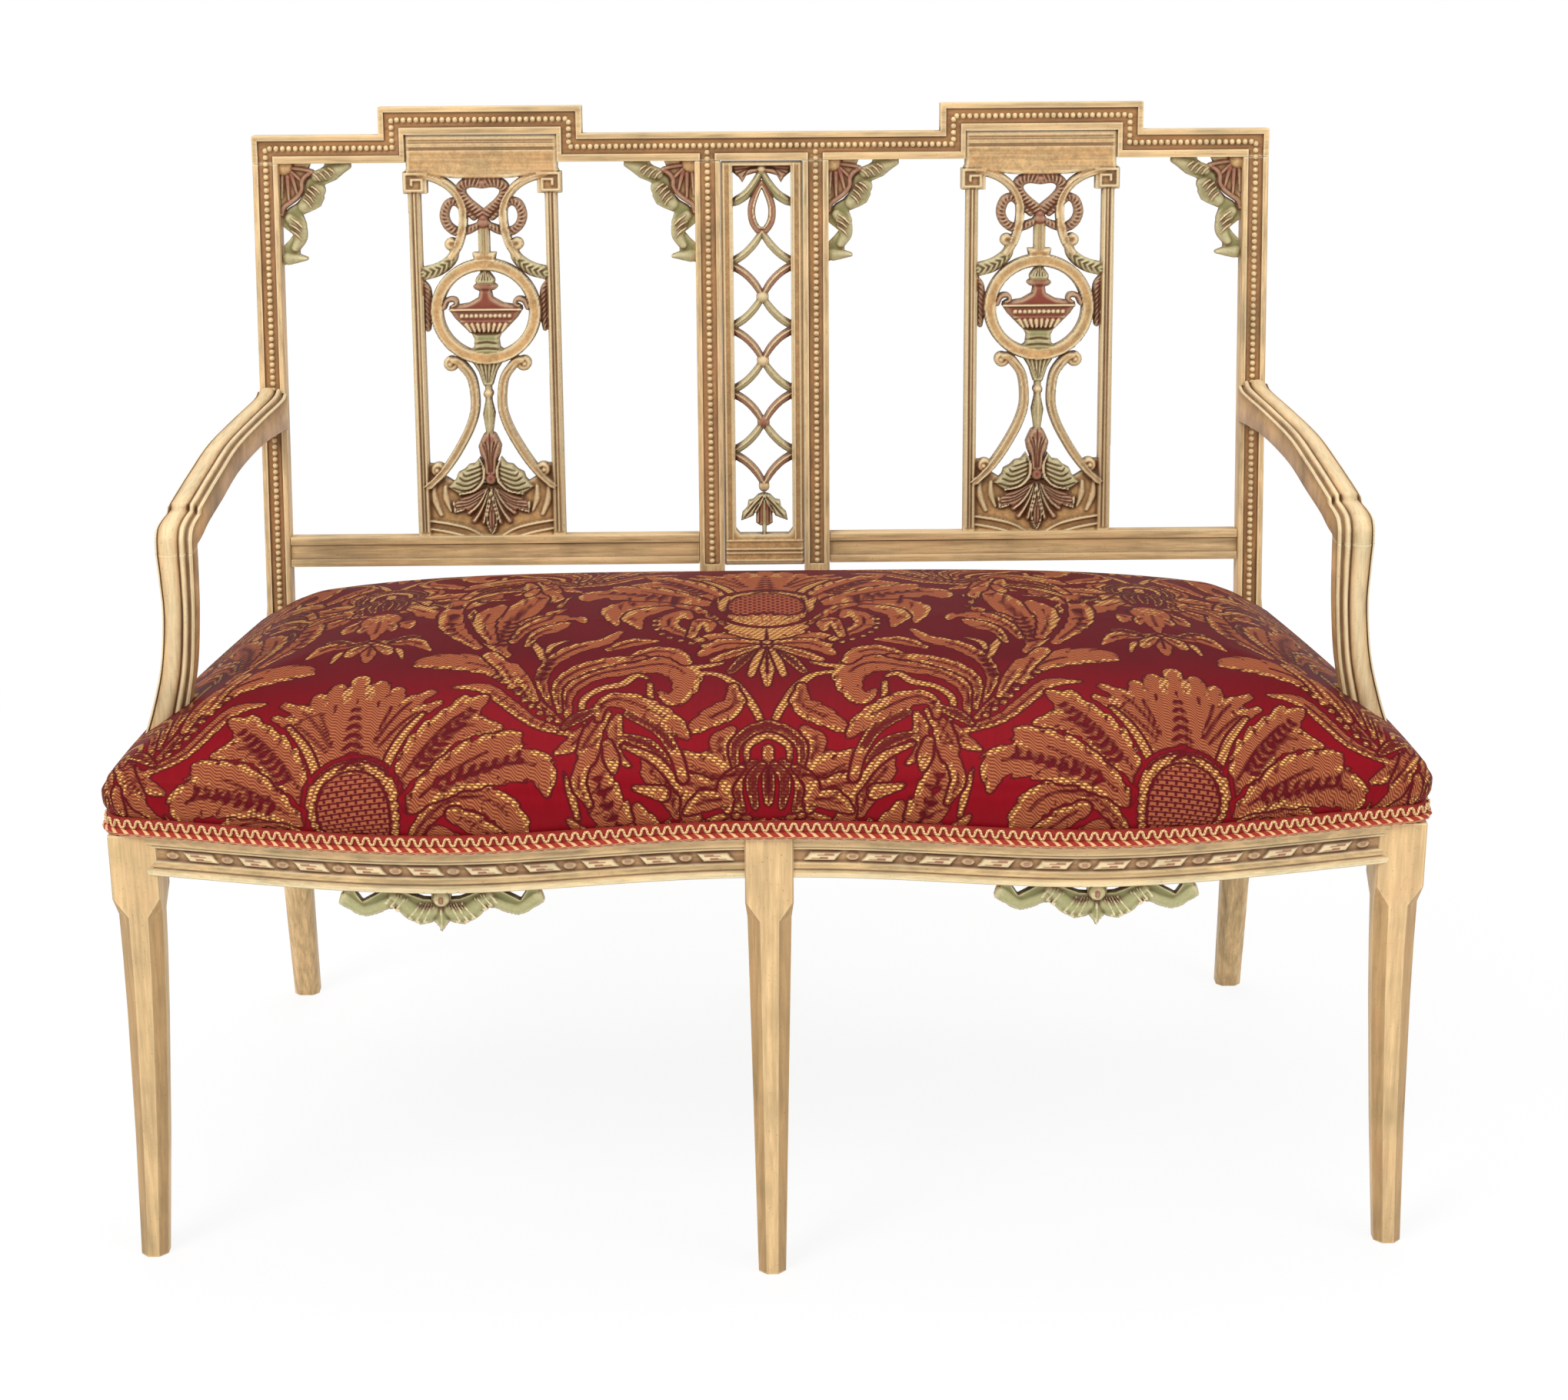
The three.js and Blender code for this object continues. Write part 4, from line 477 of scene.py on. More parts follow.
def polygon_distance(x, z, points):
    """Signed distance to a closed outline, positive inside."""
    p = np.asarray(points, float)
    best, inside = np.full(x.shape, 1e9), np.zeros(x.shape, bool)
    for a, b in zip(p, np.roll(p, -1, 0)):
        d = b - a
        t = np.clip(((x - a[0]) * d[0] + (z - a[1]) * d[1]) / (d @ d + 1e-12), 0, 1)
        best = np.minimum(best, np.hypot(x - a[0] - t * d[0], z - a[1] - t * d[1]))
        crosses = (a[1] > z) != (b[1] > z)
        inside ^= crosses & (x < (b[0] - a[0]) * (z - a[1]) / (b[1] - a[1] + 1e-12) + a[0])
    return np.where(inside, best, -best)


def line_distance(x, z, p):
    """Distance to a thin line."""
    return nearest(x, z, p)[0]


def blurred(field, radius):
    """A soft average over a square window, done twice."""
    out = field
    n = max(1, int(radius))
    for _ in range(2):
        for axis in (0, 1):
            padded = np.pad(out, [(n, n) if a == axis else (0, 0) for a in (0, 1)], mode="edge")
            total = np.cumsum(np.insert(padded, 0, 0, axis=axis), axis=axis)
            size = out.shape[axis]
            wide = 2 * n + 1
            high, low = (np.take(total, range(first, first + size), axis) for first in (wide, 0))
            out = (high - low) / wide
    return out


# Corner and edge points of a grid cell that each case of filled corners joins up
CELL_CASES = {
    1: [(0, 4, 7)], 2: [(4, 1, 5)], 3: [(0, 1, 5, 7)], 4: [(5, 2, 6)], 5: [(0, 4, 7), (5, 2, 6)],
    6: [(4, 1, 2, 6)], 7: [(0, 1, 2, 6, 7)], 8: [(7, 6, 3)], 9: [(0, 4, 6, 3)], 10: [(4, 1, 5), (7, 6, 3)],
    11: [(0, 1, 5, 6, 3)], 12: [(7, 5, 2, 3)], 13: [(0, 4, 5, 2, 3)], 14: [(4, 1, 2, 3, 7)],
    15: [(0, 1, 2, 3)],
}


def carved(name, work, place, finish, back):
    """The closed mesh of a Carving. place turns (x, depth, height up) points into the drawing frame."""
    wood = work.inside
    rows, columns = wood.shape
    flat = wood > 0
    # Lower than its surroundings, the wood holds the glaze and takes painted shade; higher, it is worn pale
    # and takes a painted highlight
    low = blurred(work.height, 2.2 / work.step) - work.height
    glaze = np.clip(low * 0.9 + work.tones["dark"] * 0.9, 0, 1)
    pale = np.clip(-low * 0.8 + work.tones["light"] * 0.8, 0, 1)
    i, j = np.meshgrid(np.arange(rows - 1), np.arange(columns - 1), indexing="ij")
    code = flat[:-1, :-1] * 1 + flat[:-1, 1:] * 2 + flat[1:, 1:] * 4 + flat[1:, :-1] * 8
    corners = rows * columns
    across = rows * (columns - 1)
    ids = np.stack([
        i * columns + j, i * columns + j + 1, (i + 1) * columns + j + 1, (i + 1) * columns + j,
        corners + i * (columns - 1) + j, corners + across + i * columns + j + 1,
        corners + (i + 1) * (columns - 1) + j, corners + across + i * columns + j,
    ], -1)
    tris, walls = [], []
    for case, loops in CELL_CASES.items():
        here = ids[code == case]
        if not len(here):
            continue
        for loop in loops:
            for a, b in zip(loop[1:-1], loop[2:]):
                tris.append(here[:, [loop[0], a, b]])
            for a, b in zip(loop, loop[1:] + loop[:1]):
                if a > 3 and b > 3:
                    walls.append(here[:, [a, b]])
    tris, walls = np.vstack(tris), np.vstack(walls)

    def spread(field):
        """A field at the grid's corners, and between each two where the wood's edge crosses."""
        f = [field.ravel()]
        for one, two, a, b in (
            (field[:, :-1], field[:, 1:], wood[:, :-1], wood[:, 1:]),
            (field[:-1], field[1:], wood[:-1], wood[1:]),
        ):
            t = np.clip(a / np.where(np.abs(a - b) < 1e-9, 1, a - b), 0.02, 0.98)
            f.append((one + (two - one) * t).ravel())
        return np.concatenate(f)

    def from_wood(field):
        """The same places, but the crossings take the value of the corner that is wood."""
        f = [field.ravel()]
        for one, two, a in ((field[:, :-1], field[:, 1:], wood[:, :-1]), (field[:-1], field[1:], wood[:-1])):
            f.append(np.where(a > 0, one, two).ravel())
        return np.concatenate(f)

    used, tri = np.unique(tris, return_inverse=True)
    tri = tri.reshape(-1, 3)
    wall = np.searchsorted(used, walls)
    x, z = spread(work.x)[used], spread(work.z)[used]
    h = from_wood(work.height)[used]
    n = len(used)
    front = place(np.stack([x, back - h, z], -1))
    rear = place(np.stack([x, np.full(n, back), z], -1))
    sides = np.stack([wall[:, 1], wall[:, 0], wall[:, 0] + n, wall[:, 1] + n], -1)
    fields = {"glaze": glaze, "pale": pale, "red": work.tones["red"], "green": work.tones["green"]}
    tints = {key: np.r_[from_wood(field)[used], np.zeros(n)] for key, field in fields.items()}
    # The sawn edge and the back are darker
    tints["glaze"][np.unique(wall)] += 0.25
    tints["glaze"][n:] = 0.45
    tints["glaze"] = np.minimum(tints["glaze"], 1)
    faces = [np.vstack([tri, tri[:, ::-1] + n]), sides]
    return outward(piece(name, np.vstack([front, rear]), faces, finish, tints))


# Finishes


def rgb(red, green, blue):
    """A screen colour, 0 to 255, as the shader's linear one."""
    return tuple(
        ((c / 255 + 0.055) / 1.055) ** 2.4 if c > 10 else c / 3294.6 for c in (red, green, blue)
    ) + (1.0,)


def toned(colour, share):
    """A colour made darker or lighter."""
    return tuple(min(1.0, c * share) for c in colour[:3]) + (1.0,)


def method(operation, swapped=False):
    """A method of Value that puts itself and another term through one operation."""

    def put(self, other):
        terms = (other, self) if swapped else (self, other)
        return self.sum(operation, *terms)

    return put


class Value:
    """A socket of a finish that takes part in sums."""

    def __init__(self, finish, socket):
        self.finish, self.socket = finish, socket

    def sum(self, operation, *terms):
        return self.finish.node("ShaderNodeMath", dict(enumerate(terms)), operation=operation)

    __add__ = __radd__ = method("ADD")
    __sub__, __rsub__ = method("SUBTRACT"), method("SUBTRACT", swapped=True)
    __mul__ = __rmul__ = method("MULTIPLY")
    __truediv__ = method("DIVIDE")
    least, most = method("MINIMUM"), method("MAXIMUM")

    def floor(self):
        return self.sum("FLOOR", self)

    def above(self, edge, soft):
        """0 below the edge, 1 above it, with a soft step between."""
        values = {0: self, 1: edge - soft, 2: edge + soft, 3: 0.0, 4: 1.0}
        return self.finish.node("ShaderNodeMapRange", values, interpolation_type="SMOOTHSTEP")

    def wave(self, period):
        """A wave from 0 to 1, one each period."""
        return self.sum("SINE", self * (math.tau / period)) * 0.5 + 0.5


class Finish:
    """A material and the nodes it is made of."""

    def __init__(self, name):
        self.material = bpy.data.materials.new(name)
        self.material.use_nodes = True
        self.tree = self.material.node_tree
        self.tree.nodes.clear()
        self.place = self.node("ShaderNodeTexCoord", out="Object")

    def node(self, kind, values=None, out=0, **settings):
        """Adds a node, its settings by name, its inputs by name or number. Returns the output asked for."""
        made = self.tree.nodes.new(kind)
        for key, value in settings.items():
            setattr(made, key, value)
        for key, value in (values or {}).items():
            if isinstance(value, Value):
                self.tree.links.new(value.socket, made.inputs[key])
            else:
                made.inputs[key].default_value = value
        return None if out is None else Value(self, made.outputs[out])

    def mix(self, a, b, share):
        return self.node("ShaderNodeMix", {0: share, 6: a, 7: b}, out=2, data_type="RGBA", clamp_factor=True)

    def mark(self, key, out="Fac"):
        return self.node("ShaderNodeAttribute", out=out, attribute_name=key)

    def noise(self, size, detail=3.0, place=None, stretch=(1, 1, 1), rough=0.55):
        """Cloudy noise with features about so many millimetres across."""
        at = self.node("ShaderNodeVectorMath", {0: place or self.place, 1: stretch}, operation="MULTIPLY")
        scale = 1 / (size * (MM if place is None else 1))
        return self.node(
            "ShaderNodeTexNoise", {"Vector": at, "Scale": scale, "Detail": detail, "Roughness": rough}
        )

    def split(self, vector):
        return [self.node("ShaderNodeSeparateXYZ", {0: vector}, out=k) for k in (0, 1, 2)]

    def openness(self, reach, **settings):
        """0 in a narrow hollow, 1 in the open, seen over so many millimetres of the piece itself."""
        values = {"Distance": reach * MM}
        return self.node("ShaderNodeAmbientOcclusion", values, "AO", samples=6, only_local=True, **settings)

    def bump(self, height, distance):
        return self.node("ShaderNodeBump", {"Height": height, "Distance": distance * MM, "Strength": 1.0})

    def surface(self, colour, roughness, normal=None, metallic=0.0, **constants):
        values = {"Base Color": colour, "Roughness": roughness, "Metallic": metallic}
        values.update({key.replace("_", " "): value for key, value in constants.items()})
        if normal is not None:
            values["Normal"] = normal
        shader = self.node("ShaderNodeBsdfPrincipled", values)
        self.node("ShaderNodeOutputMaterial", {0: shader}, out=None)
        return self.material


# The brown is the glaze's colour and also that of the painted shade in hollows; the bone is worn gesso's
# colour and also that of the painted highlights on ridges
UMBER = rgb(92, 54, 26)
BONE = rgb(238, 222, 180)
OLD_RED = rgb(134, 62, 46)
OLD_GREEN = rgb(132, 134, 84)


def painted(name, ground, along=(1, 1, 1), glaze_and_shade_share=1.0, calm=0.0):
    """Old paint over gesso, brushed along the wood, glazed dark in the hollows and worn pale on ridges, with
    painted shade in the hollows and painted highlights on the ridges as well.
    """
    f = Finish(name)
    glaze, pale, red, green = (f.mark(key) for key in ("glaze", "pale", "red", "green"))
    # Ambient occlusion over a few millimetres: narrow hollows get painted shade, convex edges get painted
    # highlights
    hollow, ridge = 1 - f.openness(8), 1 - f.openness(2.4, inside=True)
    brushed, hairs = f.noise(7, 4, stretch=along, rough=0.66), f.noise(2.4, 3, stretch=along, rough=0.6)
    clouds, blots, grit = f.noise(60, 3), f.noise(14, 4, rough=0.65), f.noise(2.0, 3)
    tone = (brushed * 0.55 + hairs * 0.3 + clouds * 0.35 - 0.1) * (1 - calm * 0.4) + calm * 0.21
    colour = f.mix(toned(ground, 0.48), toned(ground, 0.94), tone.above(0.42, 0.13))
    colour = f.mix(colour, toned(ground, 1.42), tone.above(0.57, 0.1) * 0.8)
    colour = f.mix(colour, OLD_RED, clouds.above(0.62, 0.1) * hairs * 0.3)
    colour = f.mix(colour, OLD_GREEN, clouds.above(0.36, 0.1) * -0.25 * blots + 0.12)
    colour = f.mix(colour, OLD_RED, (red * (blots * 0.5 + 0.75)).least(1.0))
    colour = f.mix(colour, OLD_GREEN, (green * (blots * 0.4 + 0.75)).least(1.0))
    # Ridges and pale marks: worn paint and painted highlight
    wear_and_highlight = (ridge.above(0.2, 0.12) * 0.75 + pale * 0.6) * (hairs * 0.9 + 0.45) * (1 - red * 0.5 - green * 0.2)
    colour = f.mix(colour, BONE, wear_and_highlight.least(0.88))
    # Hollows and glaze marks: brown glaze and painted shade
    glaze_and_shade = ((hollow * 2.1 + glaze * 0.6) * (blots * 0.7 + 0.6)).least(0.92)
    colour = f.mix(colour, UMBER, glaze_and_shade * glaze_and_shade_share)
    colour = f.mix(colour, toned(UMBER, 0.8), grit.above(0.68, 0.04) * 0.35)
    roughness = 0.58 - brushed * 0.2
    normal = f.bump(grit * 0.3 + hairs + blots * 0.5, 0.3)
    return f.surface(colour, roughness, normal, Specular_IOR_Level=0.3, Coat_Weight=0.04, Coat_Roughness=0.3)


def bare_wood(name, ground):
    """Plain old wood with its grain along x."""
    f = Finish(name)
    long = f.noise(120, 4, stretch=(1, 14, 14), rough=0.6)
    fine = f.noise(30, 3, stretch=(3, 42, 42))
    colour = f.mix(toned(ground, 0.66), toned(ground, 1.12), long)
    colour = f.mix(colour, toned(ground, 0.5), fine.above(0.62, 0.05) * 0.5)
    return f.surface(colour, 0.72 - long * 0.14, f.bump(fine, 0.2))


def woven(name, ground, pitch, twill=False):
    """A plain woven cloth, laid flat."""
    f = Finish(name)
    x, y, z = f.split(f.place)
    warp, weft = (x / MM + z / MM).wave(pitch), (y / MM + z / MM).wave(pitch)
    thread = warp.most(weft) if twill else warp * weft
    slub = f.noise(9, 3, stretch=(1, 5, 1))
    colour = f.mix(toned(ground, 0.72), toned(ground, 1.08), thread * 0.6 + slub * 0.4)
    return f.surface(colour, 0.9, f.bump(thread + slub * 0.5, 0.4), Sheen_Weight=0.15)


def stuffing(name):
    """Curled hair."""
    f = Finish(name)
    hair = f.noise(14, 5, stretch=(1, 4, 2), rough=0.7)
    colour = f.mix(rgb(92, 70, 48), rgb(176, 148, 108), hair)
    return f.surface(colour, 0.95, f.bump(hair, 2.0))


def old_steel(name):
    """Dull steel with rusty stains."""
    f = Finish(name)
    stain = f.noise(9, 4)
    colour = f.mix(rgb(120, 116, 110), rgb(92, 66, 46), stain.above(0.56, 0.1))
    return f.surface(colour, 0.34 + stain * 0.3, f.bump(stain, 0.05), metallic=0.9)


def damask(name):
    """Satin with a figure in tan and gold thread, its ground painted brighter towards the front roll and
    darker over the top as a painted sheen. The cloth's marks hold the figure's edge and its lines.
    """
    f = Finish(name)
    low, middle, high = (f.mark(key) for key in ("leaf_a", "leaf_b", "leaf_c"))
    gap = 1.5
    figure = low.least((middle + gap) * -1.0).most(middle)
    figure = figure.least((high + gap) * -1.0).most(high)
    figure = figure.least(f.mark("sunk") * -1.0)
    gold, scale = f.mark("gold"), f.mark("scales").above(0.0, 0.3)
    cloth = f.mark("cloth", out="Vector")
    u, v, _ = f.split(cloth)
    on = figure.above(0.1, 0.35)
    near = figure.above(-1.0, 1.1) - on
    line = 1 - figure.above(1.0, 0.6)
    slub = f.noise(3.4, 2, place=cloth, stretch=(1, 0.16, 1))
    drift = f.noise(90, 2, place=cloth)
    fleck = f.noise(4.0, 3, place=cloth, rough=0.7)
    rib = (v + slub * 1.2).wave(1.3)
    # Painted sheen: the ground is brighter where the cloth turns over the front and darker over the top
    satin_with_painted_sheen = f.mix(rgb(134, 5, 21), rgb(88, 8, 19), v.above(70, 70) * (drift * 0.4 + 0.75))
    satin_with_painted_sheen = f.mix(satin_with_painted_sheen, rgb(70, 6, 15), slub * 0.4)
    twill = (u * 0.8 + v + u.wave(10.0) * 2.2).wave(3.4)
    tan = f.mix(rgb(88, 28, 22), rgb(182, 106, 68), twill * 0.85 + slub * 0.2)
    tan = f.mix(tan, rgb(112, 50, 30), drift * 0.4)
    row = (v / 2.8).floor()
    dash = (u + row * 2.3 + v * 0.5).wave(5.4) * v.wave(2.8)
    hatch = (dash + fleck * 0.7).above(0.68, 0.14)
    thread = f.mix(rgb(134, 74, 42), rgb(230, 186, 108), hatch)
    body = f.mix(tan, thread, (gold + fleck * 0.8 - 0.4).above(0.34, 0.12) * 0.92)
    tiles = (u + (v / 4.6).floor() * 4.2).wave(8.4).above(0.22, 0.2) * v.wave(4.6).above(0.25, 0.2)
    body = f.mix(body, f.mix(rgb(84, 18, 22), rgb(156, 84, 56), tiles), scale)
    colour = f.mix(satin_with_painted_sheen, rgb(60, 8, 16), near * 0.85)
    colour = f.mix(colour, f.mix(body, rgb(80, 18, 20), line * 0.75), on)
    height = on * 0.55 + twill * on * 0.12 + hatch * gold * on * 0.25 + rib * (1 - on) * 0.05
    roughness = 0.56 + on * 0.14 - gold * on * 0.12
    return f.surface(
        colour, roughness, f.bump(height, 0.7), Specular_IOR_Level=0.07, Sheen_Weight=0.02,
        Sheen_Roughness=0.4
    )


def corded(name, light, dark, share=0.5):
    """Twisted silk cord. Strands cross it on the slant, a share of them light. The turn mark counts them."""
    f = Finish(name)
    turn = f.mark("turn")
    strand = turn.wave(1.0)
    thread = f.noise(1.1, 2)
    colour = f.mix(dark, light, (strand + thread * 0.3 - 0.15).above(1 - share, 0.16))
    return f.surface(
        colour, 0.55, f.bump(strand + thread * 0.3, 0.5), Specular_IOR_Level=0.15, Sheen_Weight=0.05
    )


def floor_finish(name):
    """Pale floor that turns plain white away from the settee, so that no horizon shows."""
    f = Finish(name)
    rays = ("Is Camera Ray", "Is Glossy Ray", "Is Transmission Ray")
    paths = [f.node("ShaderNodeLightPath", out=key) for key in rays]
    grain = f.noise(400, 2)
    colour = f.mix(rgb(250, 250, 250), rgb(253, 253, 253), grain)
    shader = f.node(
        "ShaderNodeBsdfPrincipled", {"Base Color": colour, "Roughness": 0.95, "Specular IOR Level": 0.0}
    )
    seen = paths[0].most(paths[1]).most(paths[2])
    far = f.node("ShaderNodeVectorMath", {0: f.place}, out="Value", operation="LENGTH").above(1.3, 0.5)
    glow = f.node("ShaderNodeEmission", {"Color": (1, 1, 1, 1), "Strength": 1.0})
    both = f.node("ShaderNodeMixShader", {0: seen * (far * 0.12 + 0.88), 1: shader, 2: glow})
    f.node("ShaderNodeOutputMaterial", {0: both}, out=None)
    return f.material


# The seat's damask, woven flat and read off where the cloth lies

REPEAT_HALF, REPEAT_DROP = 347.0, 312.0
PALMETTE_TOP, FLOWER_AT = 412.0, -33.0

# Each stroke: its layer, then (across, up, width) at points along it. The palmette's are measured from its
# top, the flower's from its middle.
PALMETTE = [
    (0, (0, -60, 46), (0, -112, 44)), (0, (0, -105, 30), (0, -60, 24), (0, -8, 15)),
    (0, (8, -100, 26), (18, -50, 20), (18, -18, 14)), (0, (12, -95, 26), (28, -60, 18), (34, -30, 13)),
    (0, (16, -92, 24), (42, -52, 16), (64, -33, 7)), (0, (20, -95, 22), (46, -66, 16), (70, -49, 7)),
    (1, (27, -119, 8), (40, -88, 8), (58, -62, 5)),
    (2, (42, -126, 14), (64, -92, 30), (90, -62, 24), (108, -43, 9)),
    (2, (60, -98, 20), (92, -76, 24), (122, -77, 8)), (2, (78, -80, 14), (88, -52, 14), (92, -42, 8)),
    (1, (55, -141, 14), (90, -114, 34), (122, -95, 28), (138, -84, 9)),
    (1, (80, -127, 20), (130, -110, 32), (158, -112, 24), (164, -131, 7)),
    (
        0, (33, -205, 6), (46, -186, 8), (66, -152, 12), (92, -138, 16), (120, -140, 22), (138, -162, 22),
        (133, -198, 5)
    ),
    (2, (89, -150, 12), (106, -160, 18), (119, -178, 20), (112, -208, 5)),
    (1, (58, -237, 8), (85, -205, 15), (84, -178, 17), (73, -168, 15), (69, -182, 9)),
    (2, (66, -229, 9), (63, -208, 11), (59, -190, 13), (50, -198, 13), (51, -215, 8)),
    (0, (12, -236, 18), (40, -234, 26), (52, -240, 16)), (1, (6, -246, 10), (38, -246, 20), (57, -268, 8)),
    (2, (9, -252, 8), (30, -266, 13), (46, -278, 9)), (1, (7, -256, 6), (20, -276, 11), (31, -298, 8)),
    (2, (4, -258, 5), (10, -282, 8), (14, -304, 7)), (0, (0, -260, 8), (0, -291, 14), (0, -318, 7)),
]
SHELL = [(3, -170), (14, -175), (24, -183), (31, -194), (33, -207), (29, -219), (20, -226)]
PEARLS = [
    (98, -178), (99, -189), (99, -200), (97, -211), (92, -222), (85, -231), (75, -238), (66, -244),
    (55, -249), (43, -251),
]
FLOWER = [
    (0, (0, 24, 6), (0, 8, 9), (0, -8, 6)), (1, (5, 25, 5), (14, 10, 8), (11, -12, 5)),
    (0, (12, 27, 5), (27, 10, 9), (22, -16, 5)), (2, (22, 22, 5), (36, 6, 10), (34, -16, 6)),
    (1, (27, 22, 5), (28, 42, 8), (16, 58, 9), (0, 64, 10)),
    (2, (18, 30, 4), (17, 42, 5), (9, 50, 6), (0, 54, 5)), (0, (0, 30, 8), (0, 40, 8)),
    (0, (34, 26, 6), (42, 46, 14), (30, 60, 8)), (0, (32, 8, 18), (52, 16, 34), (74, 30, 14)),
    (1, (42, 2, 14), (64, 6, 18), (78, 12, 7)), (2, (36, -6, 12), (54, -8, 16), (68, -18, 7)),
    (0, (30, -20, 12), (44, -34, 20), (50, -44, 12)), (1, (16, -40, 10), (24, -58, 17), (28, -72, 9)),
    (2, (0, -44, 34), (0, -70, 20), (0, -98, 5)), (2, (0, -56, 14), (13, -66, 10), (14, -78, 6)),
    (0, (4, -102, 3), (20, -112, 9), (38, -112, 16), (54, -134, 4)),
    (0, (14, -110, 6), (30, -100, 10), (40, -98, 5)), (1, (0, -110, 8), (0, -132, 13), (0, -150, 7)),
    (2, (5, -114, 7), (13, -124, 12), (17, -134, 9)), (1, (16, -126, 6), (26, -130, 6), (31, -148, 3)),
]
BUDS = [(0, -34), (9, -28), (18, -24), (27, -22), (5, -42), (14, -36), (0, -50)]

# The scrolling leaves between them, in the cloth's own millimetres
SCROLL = [
    (0, (-162, 15, 6), (-196, 27, 11), (-221, 52, 13), (-240, 71, 13), (-266, 73, 4)),
    (1, (-175, 29, 6), (-206, 65, 12), (-231, 100, 22), (-258, 117, 32), (-287, 121, 26), (-301, 114, 8)),
    (2, (-215, 75, 8), (-226, 106, 14), (-239, 130, 15)), (2, (-196, 55, 7), (-208, 84, 12), (-219, 108, 12)),
    (0, (-183, 48, 4), (-192, 81, 11), (-187, 112, 14), (-167, 142, 18), (-142, 158, 15), (-129, 180, 7)),
    (1, (-137, 140, 8), (-118, 155, 17), (-96, 158, 6)),
    (2, (-175, 40, 5), (-178, 75, 10), (-160, 102, 17), (-132, 118, 15), (-106, 124, 6)),
    (
        0, (-167, 29, 6), (-168, 65, 12), (-147, 92, 16), (-118, 104, 24), (-90, 112, 32), (-72, 98, 30),
        (-70, 75, 22), (-80, 58, 14), (-91, 68, 7)
    ),
    (1, (-120, 120, 12), (-98, 136, 18), (-80, 132, 18), (-70, 116, 12)),
    (1, (-154, 29, 4), (-156, 54, 6), (-142, 71, 6), (-123, 79, 7), (-112, 92, 6), (-102, 88, 4)),
    (2, (-142, 33, 6), (-139, 52, 12), (-123, 58, 20), (-102, 48, 23), (-80, 33, 18), (-68, 18, 7)),
    (1, (-100, 79, 5), (-98, 54, 6), (-88, 38, 6)),
    (0, (-129, 29, 6), (-148, 22, 13), (-164, 4, 13), (-176, -5, 5)),
    (1, (-142, 16, 8), (-150, -8, 14), (-160, -26, 5)), (2, (-134, 8, 8), (-130, -8, 12), (-128, -20, 5)),
    (0, (-125, 17, 6), (-100, 9, 11), (-84, -8, 7)), (1, (-121, 6, 4), (-92, -8, 8), (-70, -38, 4)),
    (0, (-60, 97, 5), (-42, 94, 6), (-27, 79, 8), (-13, 54, 7), (-6, 36, 6)),
    (1, (-29, 76, 9), (-29, 54, 20), (-44, 42, 22), (-63, 27, 12)),
    (0, (-64, 106, 5), (-50, 109, 6), (-38, 114, 4)),
    (
        0, (-232, 146, 12), (-231, 194, 28), (-223, 238, 34), (-208, 276, 30), (-204, 298, 24),
        (-216, 310, 14), (-231, 299, 5)
    ),
    (2, (-240, 160, 10), (-251, 203, 20), (-249, 238, 24), (-237, 264, 8)),
    (1, (-252, 196, 8), (-260, 214, 7)), (1, (-216, 206, 10), (-197, 226, 17), (-181, 247, 5)),
    (1, (-198, 262, 6), (-190, 280, 12), (-196, 296, 6)),
    (2, (-222, 160, 8), (-212, 194, 14), (-190, 217, 22), (-170, 221, 18), (-162, 205, 5)),
    (1, (-209, 150, 6), (-203, 176, 12), (-189, 192, 20), (-178, 203, 10)),
    (0, (-194, 121, 5), (-199, 142, 7), (-206, 160, 5)), (0, (-190, 136, 5), (-187, 150, 6), (-174, 161, 3)),
    (0, (-189, 247, 4), (-184, 268, 6), (-178, 289, 2)),
    (0, (-271, 256, 8), (-262, 281, 20), (-250, 294, 18), (-245, 314, 4)),
    (1, (-258, 276, 12), (-236, 279, 5)),
    (1, (-252, 148, 9), (-277, 194, 22), (-284, 238, 22), (-280, 270, 12)),
    (2, (-276, 290, 8), (-270, 312, 9), (-256, 336, 10), (-230, 352, 8)),
    (0, (-266, 218, 5), (-264, 236, 9), (-263, 250, 4)), (0, (-220, 312, 9), (-219, 332, 12), (-222, 350, 6)),
    (1, (-190, 308, 5), (-201, 332, 15), (-212, 353, 7)),
    (2, (-176, 334, 4), (-188, 346, 10), (-202, 356, 6)),
    (0, (-226, 130, 10), (-236, 148, 12), (-244, 158, 8)),
]
PODS = [(-183, 31), (-191, 38), (-199, 46), (-205, 54), (-211, 63), (-218, 72), (-224, 80), (-231, 89)]

# Dark leaflets: the ends of the line they stand on, their pitch, their length at either end, and their home
SPRIGS = [
    ((0, -50), (0, -104), 9, 4, 15, "palmette"), ((58, -112), (98, -60), 9, 10, 5, "palmette"),
    ((74, -128), (140, -104), 9, 10, 5, "palmette"), ((-232, 152), (-224, 226), 10, 9, 9, ""),
    ((-224, 226), (-206, 284), 12, 9, 5, ""), ((-194, 84), (-186, 120), 8, 5, 4, ""),
    ((-280, 180), (-282, 236), 13, 5, 5, ""),
]

# What a field holds far outside every leaf
OUTSIDE = -9.0


